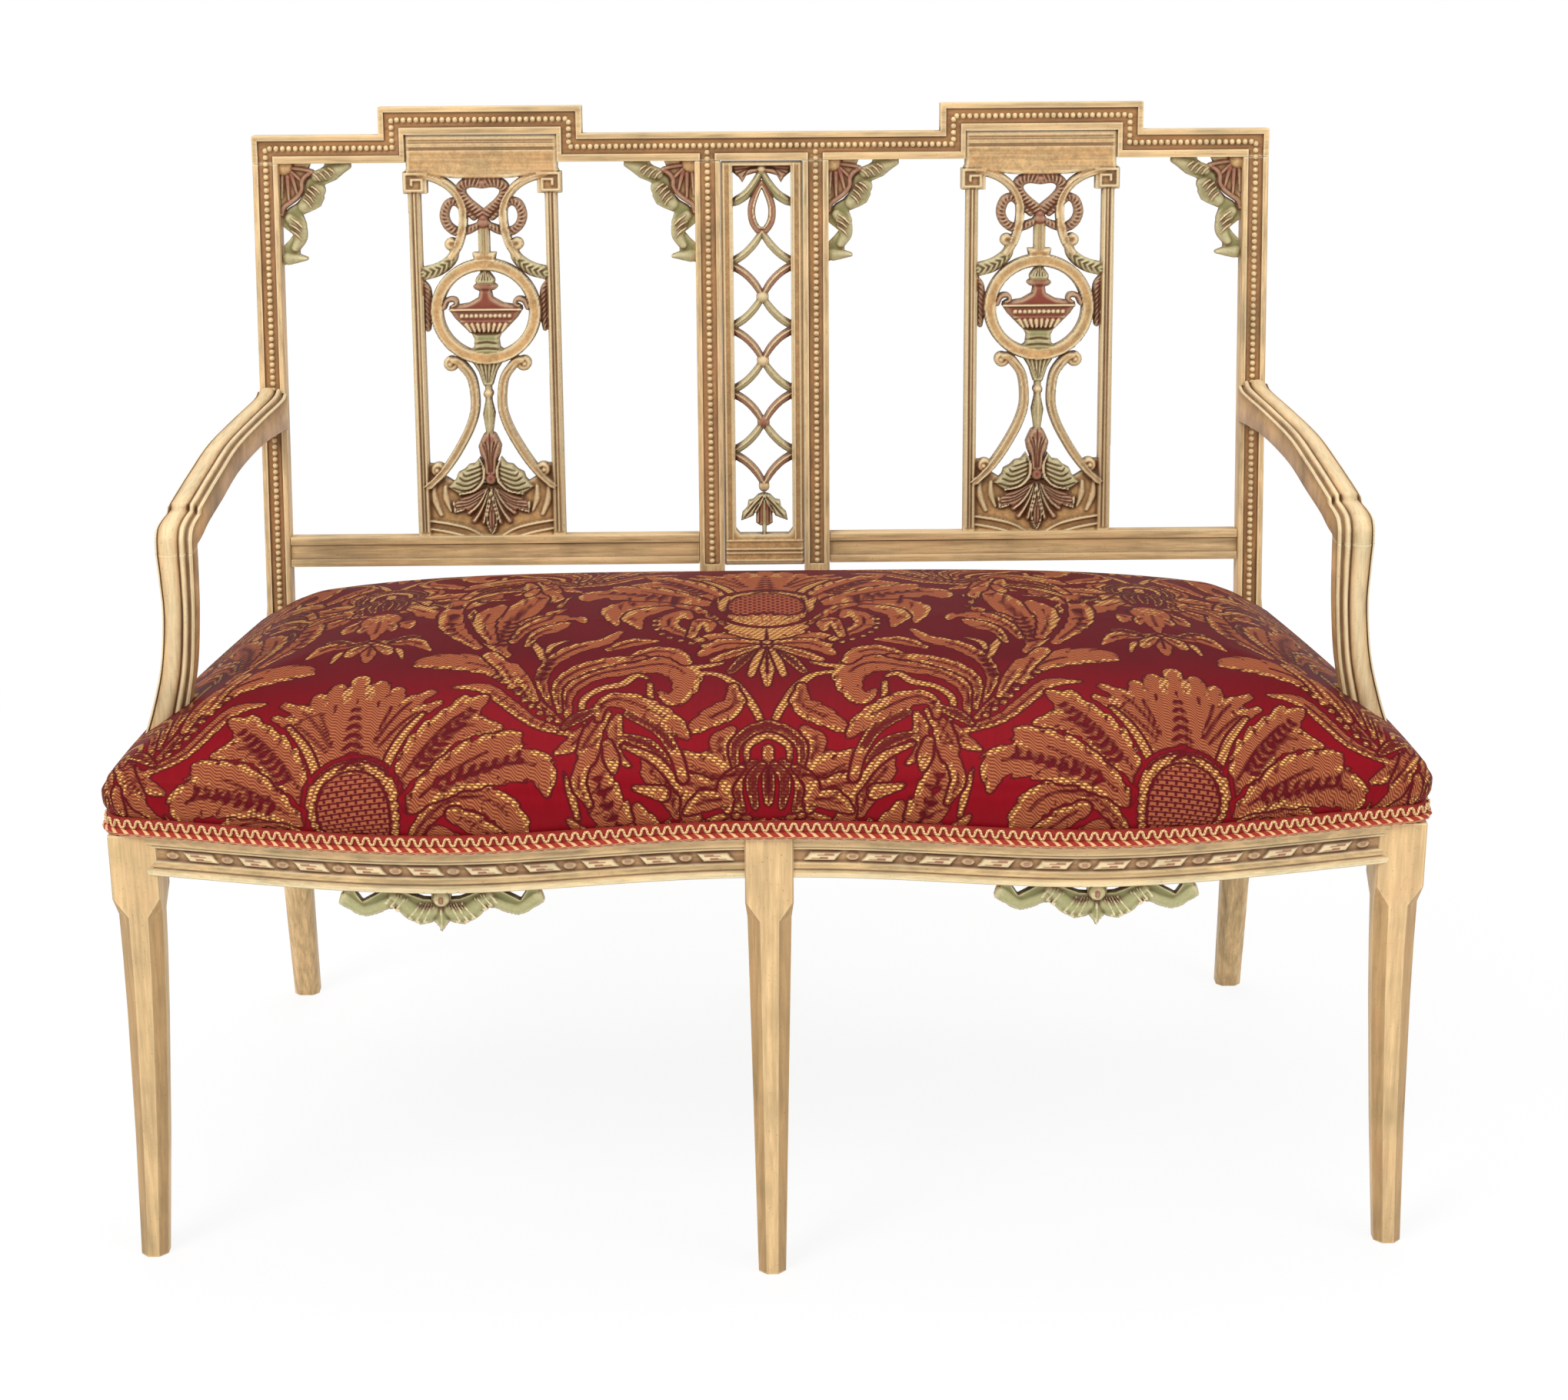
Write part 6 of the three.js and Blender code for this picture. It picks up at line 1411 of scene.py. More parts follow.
def splat_carving():
    """A splat about its own middle: tablet, scrolls, ribbon bow, ring with an urn, husks and palmette."""
    w = Carving(-100, 100, 516, 918, 0.96)
    base = 9.5
    for side in (-1, 1):
        w.shape(mirrored([(74, 518), (73, 884), (61, 884), (61.5, 518)], side), base, 3.6, 2.0)
        for x in (64.2, 67.4, 70.8):
            w.stroke([(side * x, 524), (side * (x - 0.6), 858)], 2.0, base + 2.4, 2.8, smooth=False, worn=0.3)
        # Square scroll on the corner block
        w.shape(mirrored([(78, 858), (78, 879), (54, 879), (54, 858)], side), base, 4.0, 1.4)
        key = [(54, 877), (75.5, 877), (75.5, 861), (59, 861), (59, 871.5), (69, 871.5), (69, 866.5)]
        w.stroke(mirrored(key, side), 3.4, base + 3.0, 3.0, smooth=False, flat=0.3)
    half = STEP_HALF - STEP_WALL - 0.4
    arch = [(half, 914), (half, 878), (60, 878), (45, 874.5), (25, 872.5), (0, 872)]
    lines = ((909, 0.6), (907, 0.5), (901.5, 0.9), (900, 0.4))
    w.shape(
        whole(arch), 11.5, 3.6, 2.0, veins=[([(-half + 1, z), (half - 1, z)], wide, 0.9) for z, wide in lines]
    )
    w.brushed(half, (876, 906), 70, 4)
    w.both("stroke", [(half, 880), (60, 879.5), (45, 876), (25, 874), (0, 873.5)], 2.4, 12.0, 2.0)
    band = [
        (62, 877), (47.5, 873.5), (34.5, 866.5), (25.5, 857), (20.5, 846), (19.5, 835), (21.5, 820),
        (26, 806), (33, 796)
    ]
    w.both("stroke", band, [10, 9.5, 9, 8.5, 8.5, 8, 8, 7.5, 7], base, 5.2, flat=0.45, worn=-0.4)
    for shift in (-3, 3):
        w.both("stroke", [(x + shift, z + shift * 0.27) for x, z in band[:8]], 1.7, base + 4.0, 2.0, worn=0.3)
    # Ribbon bow
    ribs = (4.0, 1.9, 0.35)
    w.both(
        "stroke", [(0, 868.5), (12, 869), (20.5, 864.5), (21, 857), (15, 849), (7, 842), (0, 836)],
        [12, 11, 10.5, 10, 10, 10.5, 11], base, 5.5, "red", ribs
    )
    w.both(
        "stroke",
        [
            (3, 828), (14, 823), (26, 821), (35, 827), (38.3, 837), (34.5, 847.5), (27, 850), (20, 844),
            (9, 834)
        ],
        [6, 8.5, 9, 9, 9, 9, 8, 7, 5], base, 5, "red", ribs
    )
    w.round(0, 829, 6.5, 6, base, 7, "red")
    w.stroke([(0, 825), (0, 797)], 11, base, 4.5, smooth=False, flat=0.3)
    for x in (-2.6, 0, 2.6):
        w.stroke([(x, 823), (x, 800)], 1.1, base + 4.2, 1.2, "green", smooth=False)
    w.shape(whole([(12, 801), (10, 792)]), base, 4.5, 2.5)
    leaf = [(29, 806), (31, 797), (37, 790), (47, 784), (60, 780.5)]
    w.both("stroke", leaf, [7, 10, 12, 13, 13], base, 4.8, "green", (6.0, 1.9, -1.0))
    for side in (-1, 1):
        w.round(side * 32, 809, 6.8, 6.4, base, 5.6, hollow=2.6)
        husk = mirrored([(61, 772), (57.5, 764), (56.5, 744), (58, 726)], side)
        w.stroke(husk, [4, 7, 8, 5], base - 1.5, 3.4, "red", (5.0, 1.4, 1.0))
    # Ring with an urn
    w.band(0, 743, 54.5, 52, 12, base, 5.8, flat=0.45)
    w.band(0, 743, 54, 51.5, 2.2, base + 4.2, 2.2)
    w.band(0, 743, 45, 42.6, 1.8, base + 4.2, 1.8)
    veins = [([(x * 0.3, 785), (x, 774)], 0.7, 1.5) for x in (-6, -3, 0, 3, 6)]
    w.shape(whole([(0, 787), (5, 781), (9.5, 774), (7, 769), (0, 768)]), base, 5.4, 4, "green", True, veins)
    w.round(0, 767.5, 12, 4.6, base, 6, "red")
    w.shape(whole([(5.5, 765), (7, 757), (17, 751.5), (36, 748.5), (36, 744)]), base, 5, 3.2, "red")
    handle = [(41.5, 747), (38, 754), (31, 755), (29, 750.5), (33, 748.5)]
    w.both("stroke", handle, [5, 5.5, 5, 4, 3], base + 1, 5.2, "red")
    w.shape(whole([(37, 746), (31, 737), (23, 729), (16, 722)]), base, 5.2, 6, "red")
    w.stroke([(-35, 745), (35, 745)], 2.2, base + 4.6, 1.8, smooth=False)
    w.stroke([(-25, 733.6), (25, 733.6)], 1.8, base + 4.6, 1.4, "red", smooth=False)
    for x in np.linspace(-15.5, 15.5, 8):
        w.stroke([(x * 1.25, 730.5), (x, 724)], [4.0, 2.6], base + 4.2, 2.2, "light", smooth=False)
    for x in np.linspace(-23.5, 23.5, 11):
        w.round(x, 739, 2.3, 2.3, base + 4.0, 3.0, "light")
    veins = [([(-wide, z), (0, z + 2), (wide, z)], 0.9, 1.6) for wide, z in ((14, 711), (18, 705))]
    foot = whole([(15, 722), (12, 716), (13, 708), (20, 703), (27, 697)])
    w.shape(foot, base, 4.8, 4, "green", veins=veins)
    low = [
        (34, 695), (29, 694), (24, 689), (16.5, 678), (13.6, 662), (14, 645), (19.5, 628), (28.5, 611),
        (38, 596), (49, 582), (63, 569)
    ]
    w.both("stroke", low, [7, 9, 9.5, 9, 9, 9, 9, 9, 9, 8, 6], base, 5.2, flat=0.45, worn=-0.4)
    for shift in (-2.8, 2.8):
        w.both("stroke", [(x + shift, z + shift * 0.25) for x, z in low[2:]], 1.7, base + 4.2, 2.0, worn=0.3)
    for side in (-1, 1):
        for x, z in ((52.5, 586), (36, 692)):
            w.round(side * x, z, 7.6, 7.4, base, 5.6, hollow=4.2)
            w.round(side * (x + 0.8), z - 0.6, 3.4, 3.4, base, 5.2)
    veins = [([(x, 692), (x * 0.3, 673)], 0.8, 1.5) for x in (-9, -4.5, 0, 4.5, 9)]
    w.shape(whole([(16, 695), (9, 684), (4.5, 670)]), base, 4.8, 4, "green", veins=veins)
    w.stroke([(0, 676), (0, 655)], 6.5, base - 1, 4, "green")
    w.stroke([(0, 658), (0, 642), (0, 625)], [5, 12, 7], base, 4.8, "green")
    w.stroke([(0, 655), (0, 628)], 1.8, base + 4.0, 1.6, "light", smooth=False)
    w.round(0, 662, 4.8, 4.8, base, 6, "light")
    # Red leaf, green wings and the red palmette below
    veins = [([(0, 582), (0, 622)], 0.7, 1.6)]
    veins += [([(x * 0.25, 584), (x * 0.45, 602), (x, 614)], 0.7, 1.6) for x in (-8, -4.5, 4.5, 8)]
    leaf = whole([(0, 625), (6, 622), (9, 616), (11.5, 610), (10, 602), (7, 595), (6.5, 580)])
    w.shape(leaf, base, 5.4, 4, "red", veins=veins)
    panel = [(72, 518), (72, 592), (56, 592), (50, 582), (34, 572), (10, 572)]
    w.shape(whole(panel), base - 2.2, 2.2, 2.4)
    wing = [(10.5, 599), (7, 588), (8, 575), (17, 565), (32, 561), (43, 569), (35, 577), (33, 583), (27, 586),
            (22, 591), (16, 592)]
    veins = [
        ([(9, 572 + k * 4.4), (24, 565 + k * 5), (38 - k * 3.4, 568 + k * 5)], 0.8, 1.6) for k in range(5)
    ]
    w.both("shape", wing, base, 5.2, 5, "green", veins=veins)
    # Pale lines along rims and ridges, here and further on: wear and painted highlight
    rim = [(10.5, 597), (6.8, 587), (8, 575), (17, 565.5), (32, 561.5)]
    w.both("stroke", rim, [1.5, 2.6, 3, 2.8, 1.5], base + 3.6, 2.6, "light")
    w.both("stroke", [(64, 535), (40, 531), (22, 526), (8, 518)], [3.4, 3.8, 3.2, 2.4], base - 1.5, 4.2)
    w.both("stroke", [(64, 527), (42, 523), (24, 518)], [3.4, 3.8, 3.2], base - 1.5, 4.2)
    w.both("stroke", [(58, 569), (57, 556), (51, 541)], [5, 9, 5], base - 1.8, 4.4, worn=0.6)
    w.both("stroke", [(46, 569), (45.5, 557), (41, 545)], [5, 8, 4], base - 1.8, 4.2, worn=0.4)
    lobe = [
        (2, 570), (14, 565), (28, 560), (38, 553), (37, 543.5), (28, 546), (22, 542.5), (12, 553), (4, 564)
    ]
    ends = enumerate((555.5, 551.5, 548))
    veins = [([(35, z), (22, z + 1 + k), (8 - k, 565 - 2.5 * k)], 0.75, 1.5) for k, z in ends]
    w.both("shape", lobe, base - 1.2, 5.4, 4, "red", veins=veins)
    w.both("stroke", lobe[3:6], 1.7, base + 2.4, 1.9, "light", smooth=False)
    for line, wide in (
        ([(4, 567), (9, 557), (15, 549), (22.5, 543)], [1.5, 3, 3, 3.4]),
        ([(3, 565), (7, 553), (12, 543), (17.5, 535)], [1.5, 3, 3.2, 3.6]),
        ([(2, 563), (4, 552), (6, 543), (8, 533.5)], [1.5, 2.6, 3, 3.6]),
    ):
        w.both("stroke", line, np.multiply(wide, 2.1), base - 1.2, 4.6, "red")
        w.both("stroke", line, np.multiply(wide, 0.62), base + 3.0, 2.0, "light")
    tip = [(0, 568), (2, 552), (4.6, 541), (4.6, 533), (2.6, 526), (0, 522)]
    w.shape(whole(tip), base, 5.4, 4, "red", veins=[([(0, 527), (0, 545)], 0.9, 1.5)])
    w.both("stroke", tip, 1.5, base + 4.2, 2.0, "light")
    w.round(0, 577, 6.4, 6.4, base, 7, "red", hollow=1.5)
    return w


def on_back_at(middle):
    """What turns a carving's (x, depth, height) points into the drawing frame, about a middle on the back."""
    return lambda p: on_back(np.stack([p[:, 0] + middle, p[:, 1], up(p[:, 2])], -1))


def make_splats(tones):
    """The same splat on the left and on the right."""
    w = splat_carving()
    for side, name in ((-1, "left"), (1, "right")):
        place = on_back_at(STEP_X * side)
        settled(
            carved("carved_splat_" + name, w, place, tones["carving"], SPLAT_REAR), "splat_" + name,
        )


# Narrow pierced panel between the stiles

PANEL_REAR, PANEL_OPEN = 20.0, 28.5


def lattice_carving():
    """Four pierced lozenges of leaves under a drop, over a small palmette."""
    w = Carving(-41, 41, 487, 889, 0.8)
    half = STILE_X - MEMBER / 2 - 0.4
    base = 10.5
    w.shape(whole([(half, 488), (half, 887)]), base, 5.0, 2.6)
    for side in (-1, 1):
        for x in (31.4, 37.2):
            w.stroke([(side * x, 514), (side * x, 885)], 2.2, base + 4.4, 1.8, smooth=False)
    for z in (492.5, 500, 504, 512.5):
        w.stroke([(-half + 2, z), (half - 2, z)], 2.6, base + 4.4, 1.8, smooth=False)
    w.hole(whole([(PANEL_OPEN - 4, 519), (PANEL_OPEN, 524), (PANEL_OPEN, 883)]))
    depth = 7.5
    w.height = np.where(w.inside < 0, 0, w.height)
    for top in (818, 755, 692, 631):
        middle, foot = top - 30.5, top - 62
        for side in (-1, 1):
            above = np.array([(0, top), (8, middle + 19), (18, middle + 9), (31, middle + 1)])
            below = np.array([(31, middle - 1), (18, middle - 9), (8, middle - 19), (0, foot)])
            for line, glaze in ((above, "green"), (below, "red")):
                w.stroke(
                    line * (side, 1), [6, 7.4, 7.4, 8][:: 1 if glaze == "green" else -1], depth, 4.8, glaze
                )
                # A pale line a little above each strand's middle, as on the drop and the leaves below:
                # painted highlight and wear
                w.stroke(line * (side, 1) + (0, 1.2), 1.5, depth + 4.0, 1.6, "light")
    for z in (755, 692, 631):
        w.round(0, z, 6.2, 6.2, depth + 0.8, 6.4, "light" if z > 640 else "red")
    drop = [(0, 866), (6, 855), (10, 842), (9, 829), (3.5, 820), (0, 819)]
    w.both("stroke", drop, [5, 7, 7.5, 7.5, 7, 6], depth, 5, "red")
    w.both("stroke", [(x * 0.82, 842 + (z - 842) * 0.86) for x, z in drop], 1.5, depth + 4.2, 1.6, "light")
    w.both(
        "stroke", [(1, 876), (7, 865), (15, 855), (24, 849), (31, 846)], [6, 8, 9, 9, 6], depth, 4.8, "green"
    )
    w.both("stroke", [(3, 874), (9, 864), (17, 855.5), (26, 850)], 1.6, depth + 4.2, 1.6, "light")
    fold = [(0, 885), (16, 885), (31, 884), (28, 876), (22, 871), (19, 866), (15, 873), (8, 875), (0, 876)]
    veins = [([(3, 881), (12, 880), (tip, 872 + k * 3)], 0.8, 1.5) for k, tip in enumerate((18, 24, 28))]
    w.both("shape", fold, depth, 4.8, 3.5, "red", veins=veins)
    leaf = [(0, 560), (6, 558), (11, 553), (16, 552), (17, 545), (22, 540), (23.5, 532), (16, 535), (11, 537),
            (7, 546), (0, 552)]
    veins = [([(2, 556), (10, 547), (21, 534)], 0.9, 1.8), ([(5, 556), (13, 549), (17, 543)], 0.7, 1.4)]
    w.both("shape", leaf, depth, 5.0, 3, "green", veins=veins)
    w.round(0, 880, 5, 5, depth, 6.5, "light")
    w.round(0, 567, 5.4, 5.8, depth, 6.0)
    veins = [([(x, 548), (x, 529)], 0.8, 1.5) for x in (-5, 5)]
    w.shape(whole([(4, 553), (8, 545), (8.5, 530), (4, 527)]), depth, 5.0, 3, "red", veins=veins)
    w.stroke([(0, 553), (0, 538), (0, 519)], [3, 5.5, 4], depth + 0.4, 5.6, "green")
    w.both("stroke", [(0, 558), (4, 549), (9, 541)], 1.5, depth + 4.6, 1.8, "light")
    return w


def make_lattice(tones):
    """The panel between the stiles."""
    obj = carved("carved_lattice_panel", lattice_carving(), on_back_at(0), tones["carving"], PANEL_REAR)
    settled(obj, "lattice_panel")


# Corner brackets: leaves drawn from the corner, outwards and down

BRACKET_REAR = 17.0
BRACKET_LINE = [
    (70, 0.3), (62, 10), (54, 16.5), (43, 21), (40.5, 26), (42, 34), (38, 42), (29, 46.5), (20.5, 50),
    (23.5, 58.5), (23.5, 66), (19.5, 75.5), (16, 84), (16, 89), (24, 92.5), (15, 95), (7, 96), (0.3, 99),
]


def bracket_carving():
    """u across from the corner, v down from it: a red fan held by a folded green ribbon."""
    w = Carving(-1, 72, -1, 101, 0.75)
    base = 5.0
    w.shape([(0.3, 0.3), (30, 0.3), (24, 14), (18, 32), (8, 41), (0.3, 48)], base + 0.4, 2.0, 2.0)
    ribbon = BRACKET_LINE + [
        (0.3, 80), (6, 74.5), (10.5, 69), (0.3, 61), (0.3, 50), (7, 43), (15, 38.5), (20, 33), (21.5, 25),
        (25, 16), (31, 11), (43, 3), (44, 0.3),
    ]
    w.shape(ribbon, base, 3.2, 5.0, "green")
    # Folds, worn pale on top and given a painted highlight there, each with a few leaf-shaped cuts across it
    for line, wide in (
        ([(36, 13), (50, 9), (66, 3)], [12, 15, 7]), ([(22, 42), (29, 36), (36, 26)], [13, 19, 15]),
        ([(8, 53), (15, 61), (17, 72), (12, 82)], [11, 16, 13, 9]),
        ([(5, 92), (12, 92), (22, 92.5)], [13, 10, 4]),
    ):
        w.stroke(line, wide, base + 1.0, 4.6, "green", worn=1.3)
    for a, b in (
        ((33, 10.5), (39, 16.5)), ((38, 8.5), (45, 15)), ((43, 6.5), (50, 13)), ((48, 5), (54, 10)),
        ((31, 22.5), (38.5, 29)), ((27, 25), (35, 33)), ((25, 29.5), (32.5, 38)), ((22.5, 34.5), (29.5, 42)),
        ((9.5, 53), (20, 62)), ((8.5, 59), (19, 67)), ((9.5, 65), (19, 74)),
    ):
        middle = ((a[0] + b[0]) / 2 + 0.6, (a[1] + b[1]) / 2 - 0.6)
        w.stroke([a, middle, b], [2.0, 4.0, 2.0], base + 4.9, 1.2, "dark")
        w.stroke([a, middle, b], [0.8, 1.9, 0.8], base + 5.6, 1.6, "light")
    # Fan of red spokes in a red rim
    rim = [(31, 9), (25, 12.5), (21.3, 18), (20.8, 26), (15.3, 33), (8.5, 38), (2.6, 42.5), (0.5, 49)]
    w.stroke(rim, 5.2, base + 0.9, 4.4, "red", flat=0.3, worn=-0.5)
    for spoke, wide in (
        ([(10, 4.5), (20, 5.5), (31, 8)], [4, 5, 4]), ([(12, 8.5), (21, 17)], [4, 4.4]),
        ([(11.5, 11), (14, 20), (16.5, 30)], [5.6, 5, 3]), ([(7.5, 13), (7.7, 24), (8, 36)], [5.6, 5, 3]),
        ([(2.5, 13), (2, 22), (1.2, 34)], [4.6, 3.6, 2]),
    ):
        w.stroke(spoke, wide, base, 4.6, "red", flat=0.35, worn=-0.3)
    w.round(3.5, 3.5, 12.5, 11.5, base - 0.5, 5.6, "red")
    w.round(3.5, 3.5, 9.6, 8.6, base + 1, 6)
    for hole in ([(1, 65), (5.5, 69), (1.6, 76)], [(31, 6), (40, 2.2), (34, 2.2)]):
        w.hole(hole)
    return w


def make_brackets(tones):
    """One bracket at each end of the two low parts of the crest."""
    w = bracket_carving()
    places = []
    for side, name in ((-1, "left"), (1, "right")):
        places.append(("inner_" + name, side * (STILE_X + MEMBER / 2), side))
        places.append(("outer_" + name, side * (post_x(CREST_BOTTOM) - MEMBER / 2), -side))
    for name, corner, way in places:

        def place(p, corner=corner, way=way):
            return on_back(np.stack([corner + way * p[:, 0], p[:, 1], up(CREST_BOTTOM) - p[:, 2]], -1))

        obj = carved("carved_bracket_" + name, w, place, tones["carving"], BRACKET_REAR)
        settled(obj, "corner_bracket_" + name)


# Ribbon bows under the front rails

BOW_REAR = 16.0
BOW_LINE = [
    (0, 38), (7, 28), (13, 32), (19, 32.5), (28, 27), (36, 18.5), (44, 18), (54, 22.5), (64, 25), (78, 18),
    (86, 13), (82, 7), (79, 0.3),
]


def bow_carving():
    """A ribbon bow about its own middle, drawn from the rail down."""
    w = Carving(-88, 88, -1, 40, 0.8)
    base = 5.5
    w.shape(whole(BOW_LINE), base - 0.5, 3.0, 4.0, "green")
    w.both("hole", ((72, 1.6), (49, 1.6), (66, 11)))
    w.both("hole", ((33, 1.6), (8.5, 1.6), (8, 9.5), (15, 9), (24, 5.5)))
    w.both("shape", ((79, 1), (84, 5), (86, 12), (80, 15)), base - 1, 2.5, 2.0, "dark")
    w.both(
        "stroke", [(5, 20), (14, 23), (24, 20), (32, 13), (40, 7)], [13, 17, 17, 15, 10], base, 5.4, "green",
        worn=0.5
    )
    w.both("stroke", [(42, 10), (54, 16), (66, 18), (79, 9)], [10, 11, 11, 12], base, 5.0, "green", worn=0.5)
    for cut in (
        ((28, 8), (36, 18)), ((33, 5), (40, 15)), ((38, 4), (44, 12)), ((6, 14), (13, 29)),
        ((10, 13), (20, 29)), ((15, 13), (26, 26)),
    ):
        w.both("stroke", cut, [0.8, 3.0], base + 4.0, 0.9, "dark", smooth=False)
        w.both(
            "stroke", [(u + 1.9, v - 0.6) for u, v in cut], [0.8, 2.2], base + 4.0, 1.5, "light", smooth=False
        )
    w.shape(whole([(0, 37.5), (7, 28), (3.5, 19), (0, 16)]), base + 1.5, 5.2, 6, "green")
    w.stroke([(0, 17), (0, 36)], 1.6, base + 6.0, 1.2, "light", smooth=False)
    w.round(0, 9, 7.5, 7.5, base + 1, 6.4, hollow=1.2)
    w.round(0, 9, 3, 4.5, base + 4, 3.6, "red")
    return w


def make_bows(tones):
    """One bow under the middle of each half of the seat."""
    w = bow_carving()
    for side, name in ((-1, "left"), (1, "right")):
        x = STEP_X * side
        front = float(face_y(x)) + 3

        def place(p, x=x, front=front):
            return np.stack([x + p[:, 0], front + p[:, 1], UNDER_RAIL - 0.3 - p[:, 2]], -1)

        settled(
            carved("carved_bow_" + name, w, place, tones["bow"], BOW_REAR), "apron_bow_" + name,
        )


# Front rails: a moulded band with ribbon and rods, bent round the serpentine

RAIL_START, RAIL_END, ORNAMENT_START, ORNAMENT_PITCH = 14.0, 531.0, 46, 48.0

# Mouldings of the rail's face: heights, and how far each lies from the foremost
RAIL_FACE = np.array(
    [
        (368, -1.2), (368.8, -0.3), (370.5, 0), (374.4, 0), (375, -1.5), (375.6, -0.8), (377.8, -0.8),
        (378.4, -2.1), (379, -1.4), (381, -1.4), (381.6, -3.4), (392, -3.4), (392.6, -1.8), (393.2, -1.0),
        (394.8, -1.0), (395.4, -2.3), (396, 0), (401.5, 0), (403, -0.5), (403.8, -5.0), (420, -5.2),
    ]
)


def rail_carving():
    """The right front rail, its x from the middle and its face drawn flat."""
    w = Carving(RAIL_START - 2, RAIL_END + 2, 367, 421, 1.0)
    deep = RAIL_THICKNESS
    w.shape([(RAIL_START, 368), (RAIL_END, 368), (RAIL_END, 420), (RAIL_START, 420)], deep - 6.0, 0.0, 1.0)
    w.height = np.where(w.inside > 0, deep + np.interp(w.z, RAIL_FACE[:, 0], RAIL_FACE[:, 1]), 0)
    floor = deep - 3.4
    w.tones["red"] = np.where((w.z > 381) & (w.z < 393), 0.28, 0)
    for x in np.arange(ORNAMENT_START, RAIL_END - 31, ORNAMENT_PITCH):
        w.shape([(x - 17, 382.8), (x + 9, 382.8), (x + 15, 390.8), (x - 11, 390.8)], floor, 2.6, 2.4, "light")
        for shift, height in ((-4, 385.2), (1, 388.2)):
            cut = [(x - 6 + shift, height), (x + 7 + shift, height + 0.4)]
            w.stroke(cut, [1.0, 2.2], floor + 2.2, 0.6, "red", smooth=False)
        w.round(x + 24, 386.8, 5.6, 3.5, floor, 2.6)
        w.round(x + 24, 386.8, 3.6, 1.9, floor + 1.6, 1.3, "red")
    return w


def make_rails(tones):
    """The seat rails: the front pair carved, the others with eased edges."""
    w = rail_carving()
    for side, name in ((-1, "left"), (1, "right")):

        def place(p, side=side):
            return np.stack([side * p[:, 0], face_y(p[:, 0]) + p[:, 1], p[:, 2]], -1)

        obj = carved("carved_front_rail_" + name, w, place, tones["rail"], RAIL_THICKNESS)
        settled(obj, "front_rail_" + name)
        node = "side_rail_" + name
        settled(with_wear_and_painted_light(eased_copy(node, "old_" + node, tones["side_rail"], 1.0)), node)
    settled(with_wear_and_painted_light(eased_copy("rear_rail", "old_rear_rail", tones["rail"], 1.2)), "rear_rail")


# Legs, arms and their supports


def make_legs(tones):
    """The tapered legs. The flats at their corners take a darker copy of the leg paint, which is painted
    shade.
    """
    for node in ("front_leg_left", "front_leg_center", "front_leg_right", "rear_leg_center"):
        obj = with_wear_and_painted_light(eased_copy(node, "old_" + node, tones["leg"], 2.2))
        # Flats that face aside take the darker copy: painted shade
        obj.data.materials.append(tones["facet"])
        for f in obj.data.polygons:
            if min(abs(f.normal.x), abs(f.normal.y)) > 0.3 and f.area > 4 * MM * MM:
                f.material_index = 1
        settled(obj, node)


# Ridges along the arms and their supports: middle and half width as shares of the width, and their rise
RIDGES = [(-0.455, 0.045, 0.9), (-0.14, 0.27, 1.0), (0.225, 0.095, 0.97), (0.42, 0.08, 0.86)]
GROOVE_FLOOR, RIDGE_ROUND, LIP_DROP, LIP_Y = 0.83, 0.12, 0.16, SUPPORT_Y + 30


def ridged_section():
    """Cut across a bar: places over its width, how far out each lies, and how near a ridge's crest it is."""
    u = np.linspace(0.5, -0.5, 61)
    v, crest = np.full(len(u), GROOVE_FLOOR), np.zeros(len(u))
    for centre, half, top in RIDGES:
        arch = np.sqrt(np.maximum(1 - ((u - centre) / half) ** 2, 0))
        v = np.where(arch > 0, np.maximum(v, top - RIDGE_ROUND * (1 - arch)), v)
        crest = np.maximum(crest, arch)
    plain = np.array([(-0.5, 0.4), (-0.5, 0.07), (-0.46, 0), (0, 0), (0.46, 0), (0.5, 0.07), (0.5, 0.4)])
    return np.append(u, plain[:, 0]), np.append(v, plain[:, 1]), np.append(crest, np.full(len(plain), 0.5))


def ridged_bar(name, node, side, rows, finish, lip=-math.inf):
    """A bar with ridges along its face, which drops back in front of the lip.

    Each row holds the bar's x, its face's y and z, its back's y and z, and its width.
    """
    u, v, crest = ridged_section()
    rings, drops = [], []
    for x, face_y, face_z, rear_y, rear_z, wide in spline(rows, 16):
        past = np.clip((lip + 6 * (1 - crest) - face_y) / 2.5, 0, 1) * (v > 0.5)
        out = v * (1 - LIP_DROP * past)
        y, z = rear_y + (face_y - rear_y) * out, rear_z + (face_z - rear_z) * out
        rings.append(np.stack([side * (x - u * wide), y, z], -1))
        drops.append(past * (1 - past) * 3)
    # Grooves and the step where the face drops back behind the lip take glaze and painted shade; crests are
    # worn pale and take painted highlight
    glaze = np.clip((0.35 - crest) * 1.6 + np.array(drops), 0, 1)
    marks = {"glaze": glaze, "pale": np.clip(crest * 2 - 1, 0, 1)}
    settled(loft(name, rings, finish, marks), node)


